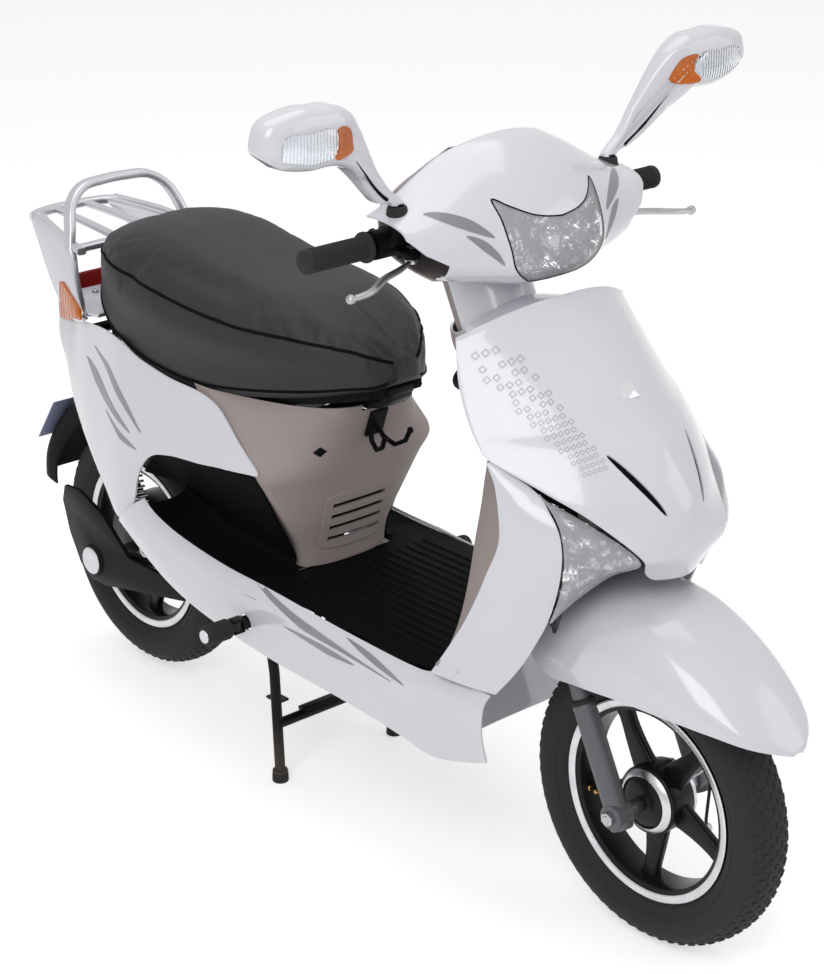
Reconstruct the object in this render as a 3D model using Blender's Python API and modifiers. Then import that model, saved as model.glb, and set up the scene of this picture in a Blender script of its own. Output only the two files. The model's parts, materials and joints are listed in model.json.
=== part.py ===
"""Moped-style electric scooter, built as an assembly of separate pieces.

Metres, +X forward, +Y to the rider's left, +Z up, the ground at Z = 0.
The origin lies on the ground under the middle of the overall length.
The scooter stands on its front wheel and its centre stand.
"""

import math

import bmesh
import bpy
from mathutils import Matrix, Vector
from mathutils.bvhtree import BVHTree

# Overall size
WHEELBASE = 1.182
FRONT_OVERHANG = 0.238
REAR_OVERHANG = 0.252
FRONT_AXLE_X = (WHEELBASE + REAR_OVERHANG - FRONT_OVERHANG) / 2
REAR_AXLE_X = FRONT_AXLE_X - WHEELBASE
BODY_WHEELBASE = 1.182
FLOOR_START = -0.318
FLOOR_END = -0.618

# Clearances
SEAT_GAP = 0.0003
RUN_GAP = 0.0006
SHELL_GAP = 0.0008
WELD = 0.00002

# Wheels
TYRE_RADIUS = 0.216
TYRE_HALF_WIDTH = 0.043
RIM_RADIUS = 0.148
RIM_HALF_WIDTH = 0.028
RIM_WALL = 0.004
RIM_DEPTH = 0.013
TYRE_WALL = 0.007
WHEEL_STEPS = 20
HUB_STEPS = 12
SPOKE_COUNT = 5
HUB_RADIUS = 0.050
HUB_HALF_WIDTH = 0.038
DRUM_MOUTH = 0.018
MOTOR_RADIUS = 0.088
MOTOR_HALF_WIDTH = 0.046
AXLE_RADIUS = 0.006
REAR_WHEEL_LIFT = 0.011

# Steering and fork
RAKE = math.radians(26.0)
FORK_OFFSET = 0.028
FORK_HALF_TRACK = 0.082
STANCHION_RADIUS = 0.0125
SLIDER_RADIUS = 0.0165
SLIDER_TOP = 0.160
SLIDER_FOOT = 0.020
CROWN_LOW = 0.345
CROWN_THICKNESS = 0.028
HEADSET_HEIGHT = 0.016
HEAD_TUBE_LENGTH = 0.210
HEAD_TUBE_RADIUS = 0.025
STEM_RADIUS = 0.0145
RACE_RADIUS = 0.022
STEM_TOP = 0.812
NECK_RADIUS = 0.060
NECK_LOW = 0.690
NECK_HIGH = 0.806

# Handlebar
BAR_RADIUS = 0.011
BAR_BACK = 0.352
BAR_HEIGHT = 0.968
BAR_HALF_WIDTH = 0.324
GRIP_RADIUS = 0.0165
GRIP_LENGTH = 0.106
GRIP_FLANGE = 0.021
CONTROL_WIDTH = 0.044
LEVER_RADIUS = 0.0055

# Body
SHELL = 0.003
FLOOR_HEIGHT = 0.363
FLOOR_HALF_WIDTH = 0.170
SILL_HALF_WIDTH = 0.190

# Frame
RAIL_RADIUS = 0.0125
RAIL_HEIGHT = 0.296
RAIL_SPAN = 0.115
REAR_RAIL_SPAN = 0.068
DOWN_TUBE_RADIUS = 0.019
PIVOT_X = 0.382
PIVOT_HEIGHT = 0.275

# Stand, pegs and suspension
STAND_X = 0.467
STAND_HEIGHT = 0.245
STAND_FOOT_X = 0.485
STAND_FOOT_RADIUS = 0.0126
STAND_LEG_RADIUS = 0.009
SHOCK_SPAN = 0.114
SHOCK_WIRE = 0.0016
SHOCK_COIL_RADIUS = 0.0195
SHOCK_CURLS = 8
STAND_WIRE = 0.0010
STAND_COIL_RADIUS = 0.0058
STAND_CURLS = 6

# Colours: red, green, blue, roughness, metallic
WHITE = (0.83, 0.83, 0.87, 0.22, 0.0)
BEIGE = (0.40, 0.34, 0.33, 0.45, 0.0)
BLACK = (0.010, 0.010, 0.012, 0.45, 0.0)
RUBBER = (0.012, 0.012, 0.012, 0.75, 0.0)
SEAT_BLACK = (0.008, 0.008, 0.012, 0.55, 0.0)
STEEL = (0.55, 0.55, 0.57, 0.30, 1.0)
CHROME = (0.85, 0.85, 0.87, 0.08, 1.0)
FORK_GREY = (0.13, 0.13, 0.14, 0.40, 0.6)
CAST_SILVER = (0.62, 0.62, 0.66, 0.38, 0.5)
CLEAR = (0.80, 0.82, 0.85, 0.05, 0.0)
AMBER = (0.80, 0.22, 0.01, 0.15, 0.0)
PLATE_BLUE = (0.36, 0.38, 0.58, 0.35, 0.0)

STEER_UP = Vector((-math.sin(RAKE), 0.0, math.cos(RAKE)))
STEER_AHEAD = Vector((math.cos(RAKE), 0.0, math.sin(RAKE)))
SIDE = Vector((0.0, 1.0, 0.0))
UP = Vector((0.0, 0.0, 1.0))
AHEAD = Vector((1.0, 0.0, 0.0))
FRONT_AXLE = Vector((FRONT_AXLE_X, 0.0, TYRE_RADIUS))
REAR_AXLE = Vector((REAR_AXLE_X, 0.0, TYRE_RADIUS + REAR_WHEEL_LIFT))
HEAD_LOW = CROWN_LOW + CROWN_THICKNESS + HEADSET_HEIGHT + SEAT_GAP
HEAD_HIGH = HEAD_LOW + HEAD_TUBE_LENGTH


def front(x, z, y=0.0):
    """Point given from the front axle's plane; a longer wheelbase goes into the floor."""
    share = min(max((FLOOR_START - x) / (FLOOR_START - FLOOR_END), 0.0), 1.0)
    return Vector((FRONT_AXLE_X + x - (WHEELBASE - BODY_WHEELBASE) * share, y, z))


def rear(x, z, y=0.0):
    """Point given from the rear axle's plane."""
    return Vector((REAR_AXLE_X + x, y, z))


def steer(up, ahead=0.0, side=0.0):
    """Point on the steering: up its axis from the front axle's level, ahead of it and aside."""
    return FRONT_AXLE + STEER_UP * up + STEER_AHEAD * (ahead - FORK_OFFSET) + SIDE * side


def aside(point, y):
    """The same point moved to the side y."""
    return Vector((point.x, y, point.z))


PARTS = bpy.data.collections.new("electric_scooter")
CUTTERS = bpy.data.collections.new("cutters")


def start_scene():
    """Empty the scene and link the two collections."""
    for obj in list(bpy.data.objects):
        bpy.data.objects.remove(obj, do_unlink=True)
    bpy.context.scene.collection.children.link(PARTS)
    bpy.context.scene.collection.children.link(CUTTERS)


# Building helpers

def finish_of(name, finish):
    """A Principled material for one piece."""
    material = bpy.data.materials.new(name)
    material.use_nodes = True
    shader = material.node_tree.nodes["Principled BSDF"]
    red, green, blue, roughness, metallic = finish
    shader.inputs["Base Color"].default_value = (red, green, blue, 1.0)
    shader.inputs["Roughness"].default_value = roughness
    shader.inputs["Metallic"].default_value = metallic
    return material


def new_object(name, data):
    """Link a new object as a working piece."""
    obj = bpy.data.objects.new(name, data)
    CUTTERS.objects.link(obj)
    obj.hide_render = True
    obj.display_type = "WIRE"
    return obj


def face_out(shape):
    """Turn every face of a closed shape outwards."""
    bmesh.ops.recalc_face_normals(shape, faces=shape.faces)
    if shape.calc_volume(signed=True) < 0:
        bmesh.ops.reverse_faces(shape, faces=shape.faces[:])


def close_seams(shape):
    """Split each open edge at an open corner that lies on it, and weld the two corners."""
    open_edges = [edge for edge in shape.edges if edge.is_boundary]
    corners = {corner for edge in open_edges for corner in edge.verts}
    for edge in open_edges:
        start, end = edge.verts
        span = end.co - start.co
        for corner in corners - {start, end}:
            share = (corner.co - start.co).dot(span) / span.length_squared
            if 0 < share < 1 and (corner.co - start.co.lerp(end.co, share)).length < WELD:
                bmesh.utils.edge_split(edge, start, share)
                break
    bmesh.ops.remove_doubles(shape, verts=shape.verts, dist=WELD)


def clean(mesh):
    """Weld loose caps and turn the faces outwards."""
    shape = bmesh.new()
    shape.from_mesh(mesh)
    bmesh.ops.remove_doubles(shape, verts=shape.verts, dist=WELD)
    bmesh.ops.dissolve_degenerate(shape, edges=shape.edges, dist=WELD / 2)
    if any(edge.is_boundary for edge in shape.edges):
        close_seams(shape)
    face_out(shape)
    shape.to_mesh(mesh)
    shape.free()


def bake(obj):
    """Turn an object with its modifiers into one plain mesh object in world space."""
    bpy.context.view_layer.update()
    graph = bpy.context.evaluated_depsgraph_get()
    mesh = bpy.data.meshes.new_from_object(obj.evaluated_get(graph))
    mesh.transform(obj.matrix_world)
    clean(mesh)
    plain = new_object(obj.name + "_plain", mesh)
    bpy.data.objects.remove(obj, do_unlink=True)
    return plain


def from_bmesh(shape):
    """A working object from a bmesh."""
    mesh = bpy.data.meshes.new("shape")
    face_out(shape)
    shape.to_mesh(mesh)
    shape.free()
    return new_object("shape", mesh)


def cone(start, end, radius, end_radius=None, sides=8):
    """A cylinder or a cone between two points."""
    axis = end - start
    turn = axis.to_track_quat("Z", "Y").to_matrix().to_4x4()
    shape = bmesh.new()
    bmesh.ops.create_cone(
        shape, cap_ends=True, segments=sides, radius1=radius,
        radius2=radius if end_radius is None else end_radius, depth=axis.length)
    bmesh.ops.transform(shape, matrix=Matrix.Translation((start + end) / 2) @ turn, verts=shape.verts)
    return from_bmesh(shape)


def bore_radius(radius, gap, sides):
    """Radius of a bore's corners so that its flats clear a round pin by the gap."""
    return (radius + gap) / math.cos(math.pi / sides)


def bore(start, end, radius, gap=SEAT_GAP, sides=8):
    """The cutter of a bore for a pin of the given radius."""
    return cone(start, end, bore_radius(radius, gap, sides), sides=sides)


def box(low, high, turn=None, bevel=0.0):
    """A box between two corners, turned about its middle, its edges rounded by bevel."""
    low = Vector(low)
    high = Vector(high)
    shape = bmesh.new()
    bmesh.ops.create_cube(shape, size=1.0)
    size = high - low
    bmesh.ops.scale(shape, vec=size, verts=shape.verts)
    if bevel:
        bmesh.ops.bevel(
            shape, geom=shape.edges[:], offset=bevel, segments=1, profile=0.5, affect="EDGES")
    matrix = Matrix.Translation((low + high) / 2)
    if turn is not None:
        matrix = matrix @ turn
    bmesh.ops.transform(shape, matrix=matrix, verts=shape.verts)
    return from_bmesh(shape)


def ball(centre, radius, segments=12, rings=8):
    """A ball."""
    shape = bmesh.new()
    bmesh.ops.create_uvsphere(shape, u_segments=segments, v_segments=rings, radius=radius)
    bmesh.ops.translate(shape, vec=centre, verts=shape.verts)
    return from_bmesh(shape)


def turned(profile, steps, centre, axis, closed=False):
    """A turned shape: profile of (radius, height) about an axis through centre."""
    mesh = bpy.data.meshes.new("profile")
    count = len(profile)
    edges = [(i, i + 1) for i in range(count - 1)]
    if closed:
        edges.append((count - 1, 0))
    mesh.from_pydata([(radius, 0.0, height) for radius, height in profile], edges, [])
    obj = new_object("turned", mesh)
    screw = obj.modifiers.new("Screw", "SCREW")
    screw.steps = steps
    screw.render_steps = steps
    screw.use_merge_vertices = True
    screw.merge_threshold = 0.00001
    turn = Vector(axis).to_track_quat("Z", "Y").to_matrix().to_4x4()
    obj.matrix_world = Matrix.Translation(centre) @ turn
    return bake(obj)


def tube(points, radius, resolution=1, radii=None):
    """A round bar along a list of points."""
    curve = bpy.data.curves.new("tube", "CURVE")
    curve.dimensions = "3D"
    curve.bevel_depth = radius
    curve.bevel_resolution = resolution
    curve.use_fill_caps = True
    spline = curve.splines.new("POLY")
    spline.points.add(len(points) - 1)
    for index, point in enumerate(points):
        spline.points[index].co = (*point, 1.0)
        spline.points[index].radius = 1.0 if radii is None else radii[index]
    return bake(new_object("tube", curve))


def blend(stations, at):
    """Values read between stations, each (position, value, value, ...)."""
    stations = sorted(stations)
    if at <= stations[0][0]:
        return stations[0][1:]
    for low, high in zip(stations, stations[1:]):
        if at <= high[0]:
            t = (at - low[0]) / (high[0] - low[0])
            return tuple(a + (b - a) * t for a, b in zip(low[1:], high[1:]))
    return stations[-1][1:]


def plate(outline, thickness, matrix):
    """A flat plate: an outline in its own plane, filled and extruded both ways."""
    curve = bpy.data.curves.new("outline", "CURVE")
    curve.dimensions = "2D"
    curve.fill_mode = "BOTH"
    curve.extrude = thickness / 2
    spline = curve.splines.new("POLY")
    spline.points.add(len(outline) - 1)
    for index, (across, along) in enumerate(outline):
        spline.points[index].co = (across, along, 0.0, 1.0)
    spline.use_cyclic_u = True
    obj = new_object("plate", curve)
    obj.matrix_world = matrix
    return bake(obj)


def side_plate(outline, y, thickness):
    """A plate standing along the scooter, its outline given as world (x, z)."""
    stand_up = Matrix(((1, 0, 0, 0), (0, 0, -1, y), (0, 1, 0, 0), (0, 0, 0, 1)))
    return plate(outline, thickness, stand_up)


def shell(rows, thickness, inside):
    """A thin wall from rows of points, thickened towards the point inside."""
    width = len(rows[0])
    shape = bmesh.new()
    grid = [[shape.verts.new(point) for point in row] for row in rows]
    for lower, upper in zip(grid, grid[1:]):
        for index in range(width - 1):
            corners = [lower[index], lower[index + 1], upper[index + 1], upper[index]]
            shape.faces.new(corners)
    bmesh.ops.remove_doubles(shape, verts=shape.verts, dist=0.0001)
    shape.normal_update()
    facing = sum(face.normal.dot(face.calc_center_median() - Vector(inside)) * face.calc_area()
                 for face in shape.faces)
    if facing < 0:
        bmesh.ops.reverse_faces(shape, faces=shape.faces[:])
    mesh = bpy.data.meshes.new("shell")
    shape.to_mesh(mesh)
    shape.free()
    obj = new_object("shell", mesh)
    solidify = obj.modifiers.new("Solidify", "SOLIDIFY")
    solidify.thickness = thickness
    solidify.offset = -1.0
    solidify.use_even_offset = True
    return bake(obj)


def loft(rings):
    """A closed body through rings of points, capped at both ends."""
    shape = bmesh.new()
    loops = [[shape.verts.new(point) for point in ring] for ring in rings]
    count = len(loops[0])
    for lower, upper in zip(loops, loops[1:]):
        for index in range(count):
            after = (index + 1) % count
            shape.faces.new((lower[index], lower[after], upper[after], upper[index]))
    shape.faces.new(loops[0])
    shape.faces.new(reversed(loops[-1]))
    return from_bmesh(shape)


def boolean(target, tools, operation):
    """Cut, join or intersect the target with each tool in turn, which are used up."""
    for tool in tools:
        step = target.modifiers.new("Boolean", "BOOLEAN")
        step.operation = operation
        step.solver = "EXACT"
        step.object = tool
        target = bake(target)
        bpy.data.objects.remove(tool, do_unlink=True)
    return target


def join(pieces):
    """One solid from overlapping pieces."""
    return boolean(pieces[0], pieces[1:], "UNION")


def cut(target, *tools):
    """The target with the tools' shapes taken away."""
    return boolean(target, list(tools), "DIFFERENCE")


def copy_of(obj):
    """A copy of a working piece."""
    return new_object("copy", obj.data.copy())


def swollen(obj, by):
    """A copy whose surface is moved outwards, used to cut a clearance."""
    copy = copy_of(obj)
    shape = bmesh.new()
    shape.from_mesh(copy.data)
    shape.normal_update()
    moves = [(vert, vert.normal * by) for vert in shape.verts]
    for vert, move in moves:
        vert.co += move
    shape.to_mesh(copy.data)
    shape.free()
    return copy


def reach(target, start, direction, radius):
    """How far a round boss can go from start before it meets the target."""
    tree = BVHTree.FromPolygons(
        [vert.co for vert in target.data.vertices], [face.vertices for face in target.data.polygons])
    direction = direction.normalized()
    across = direction.orthogonal().normalized()
    other = direction.cross(across)
    distances = []
    for step in range(13):
        offset = Vector()
        if step:
            angle = step * math.pi / 6
            offset = (across * math.cos(angle) + other * math.sin(angle)) * radius
        hit = tree.ray_cast(start + offset, direction)
        if hit[0] is not None:
            distances.append(hit[3])
    return min(distances) - SEAT_GAP


def boss(target, start, direction, radius=0.006, sides=4):
    """A square boss from start that ends just short of the target."""
    direction = direction.normalized()
    return cone(start, start + direction * reach(target, start, direction, radius), radius, sides=sides)


def merge_flat(mesh):
    """Merge the faces that lie in one plane."""
    shape = bmesh.new()
    shape.from_mesh(mesh)
    bmesh.ops.dissolve_limit(
        shape, angle_limit=math.radians(0.1), verts=shape.verts[:], edges=shape.edges[:])
    shape.to_mesh(mesh)
    shape.free()


PIVOTS = {}


def pivot(name, location):
    """An empty on a joint's axis, to which the moving pieces are parented."""
    empty = bpy.data.objects.new(name, None)
    empty.empty_display_size = 0.03
    empty.location = location
    PARTS.objects.link(empty)
    PIVOTS[name] = empty
    return empty


def part(name, obj, finish, parent=None, sharp=35.0):
    """Name a finished piece, give it its finish and hang it on its pivot."""
    CUTTERS.objects.unlink(obj)
    PARTS.objects.link(obj)
    obj.name = name
    obj.data.name = name
    obj.hide_render = False
    obj.display_type = "TEXTURED"
    obj.data.materials.clear()
    obj.data.materials.append(finish_of(name, finish))
    merge_flat(obj.data)
    obj.data.shade_smooth()
    obj.data.set_sharp_from_angle(angle=math.radians(sharp))
    if parent is not None:
        empty = PIVOTS[parent]
        obj.data.transform(Matrix.Translation(-empty.location))
        obj.parent = empty
    return obj


# Wheels

def tyre_shape(centre):
    """A hollow tyre with a round crown, open towards the rim."""
    bead = RIM_HALF_WIDTH - RIM_WALL - SEAT_GAP
    half = TYRE_HALF_WIDTH
    outer = TYRE_RADIUS
    seat = RIM_RADIUS - RIM_DEPTH + SEAT_GAP
    crown = outer - 2 * TYRE_WALL
    profile = [
        (seat, -bead), (RIM_RADIUS + SEAT_GAP, -bead), (outer - 0.038, -half),
        (outer - 0.010, 0.015 - half), (outer, 0.0), (outer - 0.010, half - 0.015),
        (outer - 0.038, half), (RIM_RADIUS + SEAT_GAP, bead), (seat, bead), (seat, bead - TYRE_WALL),
        (crown - 0.012, half - 2 * TYRE_WALL), (crown, 0.0), (crown - 0.012, 2 * TYRE_WALL - half),
        (seat, TYRE_WALL - bead)]
    return turned(profile, WHEEL_STEPS, centre, SIDE, closed=True)


def rim_ring():
    """Profile of the rim's barrel with its two flanges, (radius, height) in a closed loop."""
    half = RIM_HALF_WIDTH
    flange = RIM_WALL
    top = RIM_RADIUS
    well = RIM_RADIUS - RIM_DEPTH
    return [
        (top, -half), (top, -half + flange), (well, -half + flange), (well, half - flange),
        (top, half - flange), (top, half), (well - 0.007, half - 0.004), (well - 0.007, 0.004 - half)]


def spoke(centre, angle, inner, outer):
    """One flat cast spoke, wide at the hub and narrow at the rim, slightly swept."""
    sweep = 0.010
    outline = [
        (inner, -0.020), (outer, -0.011 + sweep), (outer, 0.011 + sweep), (inner, 0.021)]
    turn = Matrix.Translation(centre) @ Matrix.Rotation(angle, 4, "Y")
    lay = Matrix(((1, 0, 0, 0), (0, 0, -1, 0), (0, 1, 0, 0), (0, 0, 0, 1)))
    return plate(outline, 0.016, turn @ lay)


def wheel_rim(centre, hub_profile, inner):
    """A cast rim: barrel, five spokes and a turned hub with its bore."""
    ring = turned(rim_ring(), WHEEL_STEPS, centre, SIDE, closed=True)
    hub = turned(hub_profile, HUB_STEPS, centre, SIDE, closed=True)
    outer = RIM_RADIUS - 0.020
    spokes = [
        spoke(centre, math.radians(18 + 360 / SPOKE_COUNT * index), inner, outer)
        for index in range(SPOKE_COUNT)]
    return join([ring, hub] + spokes)


def build_front_wheel():
    """Front rim and tyre."""
    pivot("front_wheel_pivot", FRONT_AXLE)
    hole = bore_radius(AXLE_RADIUS, RUN_GAP, HUB_STEPS)
    hub = [
        (hole, -HUB_HALF_WIDTH), (HUB_RADIUS * 0.5, -HUB_HALF_WIDTH), (HUB_RADIUS, -0.024),
        (HUB_RADIUS, DRUM_MOUTH), (HUB_RADIUS - 0.004, DRUM_MOUTH), (HUB_RADIUS - 0.004, 0.002),
        (0.016, 0.002), (0.016, DRUM_MOUTH), (hole, DRUM_MOUTH)]
    rim = wheel_rim(FRONT_AXLE, hub, HUB_RADIUS - 0.004)
    part("front_rim", rim, BLACK, "front_wheel_pivot")
    part("front_tyre", tyre_shape(FRONT_AXLE), RUBBER, "front_wheel_pivot")


def build_rear_wheel():
    """Rear rim with the hub motor's shell and its tyre."""
    pivot("rear_wheel_pivot", REAR_AXLE)
    hole = bore_radius(AXLE_RADIUS, RUN_GAP, HUB_STEPS)
    half = MOTOR_HALF_WIDTH
    hub = [
        (hole, -half), (0.032, -half), (0.036, -0.035), (MOTOR_RADIUS, -0.030),
        (MOTOR_RADIUS, 0.030), (0.036, 0.035), (0.032, half), (hole, half)]
    rim = wheel_rim(REAR_AXLE, hub, MOTOR_RADIUS - 0.004)
    part("rear_rim_motor", rim, BLACK, "rear_wheel_pivot")
    part("rear_tyre", tyre_shape(REAR_AXLE), RUBBER, "rear_wheel_pivot")


# Fork and steering

STEER_FRAME = Matrix.Translation(steer(0.0)) @ Matrix((
    (STEER_AHEAD.x, 0.0, STEER_UP.x, 0.0),
    (0.0, 1.0, 0.0, 0.0),
    (STEER_AHEAD.z, 0.0, STEER_UP.z, 0.0),
    (0.0, 0.0, 0.0, 1.0)))


def steer_box(low, high, bevel=0.0):
    """A box squared to the steering axis, corners given as (ahead, side, up)."""
    block = box(low, high, bevel=bevel)
    block.data.transform(STEER_FRAME)
    return block


def build_fork():
    """Crown with steerer and stanchions, the two sliders and the axle."""
    pivot("steering_pivot", steer(HEAD_LOW))
    pivot("fork_slide", FRONT_AXLE)
    stanchion_low = SLIDER_TOP - 0.085
    crown_top = CROWN_LOW + CROWN_THICKNESS
    half = FORK_HALF_TRACK + STANCHION_RADIUS + 0.007
    pieces = [steer_box(
        (-0.024, -half, CROWN_LOW), (FORK_OFFSET + 0.018, half, crown_top), bevel=0.006)]
    for side in (-FORK_HALF_TRACK, FORK_HALF_TRACK):
        pieces.append(cone(
            steer(stanchion_low, FORK_OFFSET, side), steer(crown_top - 0.004, FORK_OFFSET, side),
            STANCHION_RADIUS, sides=12))
    pieces.append(cone(steer(CROWN_LOW + 0.003), steer(STEM_TOP), STEM_RADIUS, sides=12))
    pieces.append(cone(steer(crown_top - 0.003), steer(HEAD_LOW - SEAT_GAP), RACE_RADIUS, sides=12))
    part("fork_crown", join(pieces), FORK_GREY, "steering_pivot")

    for name, side in (("right", -FORK_HALF_TRACK), ("left", FORK_HALF_TRACK)):
        leg = cone(
            steer(-SLIDER_FOOT, FORK_OFFSET, side), steer(SLIDER_TOP, FORK_OFFSET, side),
            SLIDER_RADIUS, sides=12)
        hole = bore(
            steer(stanchion_low - 0.057, FORK_OFFSET, side),
            steer(SLIDER_TOP + 0.01, FORK_OFFSET, side), STANCHION_RADIUS, RUN_GAP, 12)
        eye = bore(aside(FRONT_AXLE, side - 0.03), aside(FRONT_AXLE, side + 0.03), AXLE_RADIUS)
        part("fork_slider_" + name, cut(leg, hole, eye), FORK_GREY, "fork_slide")

    nut_start = FORK_HALF_TRACK + SLIDER_RADIUS + SEAT_GAP
    nut = 0.009
    shaft = [cone(
        aside(FRONT_AXLE, -nut_start - nut), aside(FRONT_AXLE, nut_start + nut), AXLE_RADIUS, sides=8)]
    for side in (-1, 1):
        shaft.append(cone(
            aside(FRONT_AXLE, side * nut_start), aside(FRONT_AXLE, side * (nut_start + nut * 0.8)),
            0.0105, sides=6))
    slider_inside = FORK_HALF_TRACK - SLIDER_RADIUS - SEAT_GAP
    shaft.append(cone(
        aside(FRONT_AXLE, -slider_inside), aside(FRONT_AXLE, -HUB_HALF_WIDTH - RUN_GAP), 0.0105, sides=8))
    part("front_axle", join(shaft), STEEL, "fork_slide")


ADJUSTER = front(-0.333, 0.9525)
ADJUSTER_START = 0.140
CAM = FRONT_AXLE + Vector((0.006, 0.0, -0.034))
ARM_END = FRONT_AXLE + Vector((0.041, 0.0, -0.056))
ARM_Y = 0.053
CABLE_RADIUS = 0.0025
CAM_RADIUS = 0.0045
CLEVIS_RADIUS = 0.0070


def build_front_brake():
    """Brake plate in the hub's left side, its cam arm and the cable up to the right lever."""
    hole = bore_radius(AXLE_RADIUS, SEAT_GAP, HUB_STEPS)
    inside = DRUM_MOUTH + RUN_GAP
    slider_inside = FORK_HALF_TRACK - SLIDER_RADIUS - SEAT_GAP
    cover = turned([
        (hole, inside), (HUB_RADIUS - 0.002, inside), (HUB_RADIUS - 0.002, 0.026), (0.018, 0.034),
        (0.014, slider_inside), (hole, slider_inside)], HUB_STEPS, FRONT_AXLE, SIDE, closed=True)
    stop = FRONT_AXLE + Vector((0.046, 0.0, 0.052))
    lug = tube([
        aside(FRONT_AXLE + Vector((0.020, 0.0, 0.022)), 0.030),
        aside(FRONT_AXLE + Vector((0.034, 0.0, 0.036)), 0.040), aside(stop, 0.047)], 0.005)
    cam_hole = bore(aside(CAM, 0.015), aside(CAM, 0.070), CAM_RADIUS)
    part("front_brake_plate", cut(join([cover, lug]), cam_hole), CAST_SILVER, "fork_slide")

    pivot("brake_arm_pivot", aside(CAM, ARM_Y))
    spindle = cone(aside(CAM, inside + 0.002), aside(CAM, ARM_Y + 0.004), CAM_RADIUS)
    arm = tube([aside(CAM, ARM_Y), aside(ARM_END, ARM_Y)], 0.0034)
    head = cone(aside(CAM, ARM_Y - 0.005), aside(CAM, ARM_Y + 0.0055), 0.0075)
    clevis = cone(aside(ARM_END, ARM_Y - 0.007), aside(ARM_END, ARM_Y + 0.007), CLEVIS_RADIUS)
    part("front_brake_arm", join([spindle, arm, head, clevis]), STEEL, "brake_arm_pivot")

    top = aside(ADJUSTER, -ADJUSTER_START)
    route = [
        aside(ARM_END, ARM_Y) + UP * (CLEVIS_RADIUS + SEAT_GAP), aside(ARM_END, ARM_Y) + UP * 0.016,
        aside(stop, ARM_Y + 0.001) + UP * -0.020,
        aside(stop, ARM_Y + 0.001) + UP * 0.030, front(0.020, 0.360, 0.058),
        steer(0.240, FORK_OFFSET + 0.028, 0.060), steer(0.300, FORK_OFFSET + 0.032, 0.052),
        steer(0.360, FORK_OFFSET + 0.034, 0.040), steer(0.420, 0.052, 0.022),
        steer(0.520, 0.042, 0.004), steer(0.640, 0.036, 0.000), steer(0.740, 0.036, -0.006),
        steer(0.800, 0.040, -0.016), steer(0.823, 0.048, -0.045), steer(0.818, 0.050, -0.085),
        top + SIDE * 0.008]
    part("front_brake_cable", tube(route + [top], CABLE_RADIUS), RUBBER, "steering_pivot")


# Front mudguard

FENDER_ARCS = 8
FENDER_STATIONS = [
    # ahead of the axle, crest height, half width, lower edge
    (-0.176, 0.496, 0.097, 0.432),
    (-0.132, 0.512, 0.101, 0.392),
    (-0.060, 0.530, 0.107, 0.396),
    (0.020, 0.526, 0.107, 0.403),
    (0.095, 0.495, 0.099, 0.402),
    (0.155, 0.453, 0.084, 0.397),
    (0.205, 0.410, 0.058, 0.386),
    (0.232, 0.384, 0.024, 0.376)]


def arch(half, crest, low, power, steps):
    """Points (side, height) of an arch from its right foot over the crest to its left foot."""
    points = []
    for step in range(steps + 1):
        angle = math.pi * (1 - step / steps)
        across = math.cos(angle)
        rise = math.sin(angle)
        side = math.copysign(abs(across) ** (2 / power), across) * half
        points.append((side, low + (crest - low) * abs(rise) ** (2 / power)))
    return points


def build_fender():
    """Front mudguard: an arched shell round the fork legs that narrows to its nose."""
    rows = []
    for ahead, crest, half, low in FENDER_STATIONS:
        row = [front(ahead, height, side) for side, height in arch(half, crest, low, 2.5, FENDER_ARCS)]
        rows.append(row)
    nose = front(FRONT_OVERHANG, 0.372)
    rows.append([nose + Vector((-0.0008 * abs(step - FENDER_ARCS / 2), (step - FENDER_ARCS / 2) * 0.003, 0.0))
                 for step in range(FENDER_ARCS + 1)])
    guard = shell(rows, SHELL, front(0.0, 0.3))
    holes = []
    for side in (-FORK_HALF_TRACK, FORK_HALF_TRACK):
        holes.append(cone(
            steer(0.18, FORK_OFFSET, side), steer(CROWN_LOW + 0.01, FORK_OFFSET, side),
            bore_radius(STANCHION_RADIUS, SEAT_GAP, 12), sides=12))
    holes.append(cone(
        steer(0.26, FORK_OFFSET + 0.033, 0.052), steer(0.37, FORK_OFFSET + 0.033, 0.044),
        0.009))
    part("front_mudguard", cut(guard, *holes), WHITE, "steering_pivot")


def strip(points, half_wide, half_high, across=None):
    """A flat bar along a list of points."""
    points = [Vector(point) for point in points]
    rings = []
    for index, point in enumerate(points):
        before = points[max(index - 1, 0)]
        after = points[min(index + 1, len(points) - 1)]
        along = (after - before).normalized()
        wide = (across or SIDE) - along * along.dot(across or SIDE)
        wide.normalize()
        high = along.cross(wide)
        half_w = half_wide[index] if isinstance(half_wide, list) else half_wide
        half_h = half_high[index] if isinstance(half_high, list) else half_high
        ring = []
        for u, v in ((1, 0.8), (-1, 0.8), (-0.8, -1), (0.8, -1)):
            ring.append(point + wide * half_w * u + high * half_h * v)
        rings.append(ring)
    return loft(rings)


# Front body shells

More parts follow.
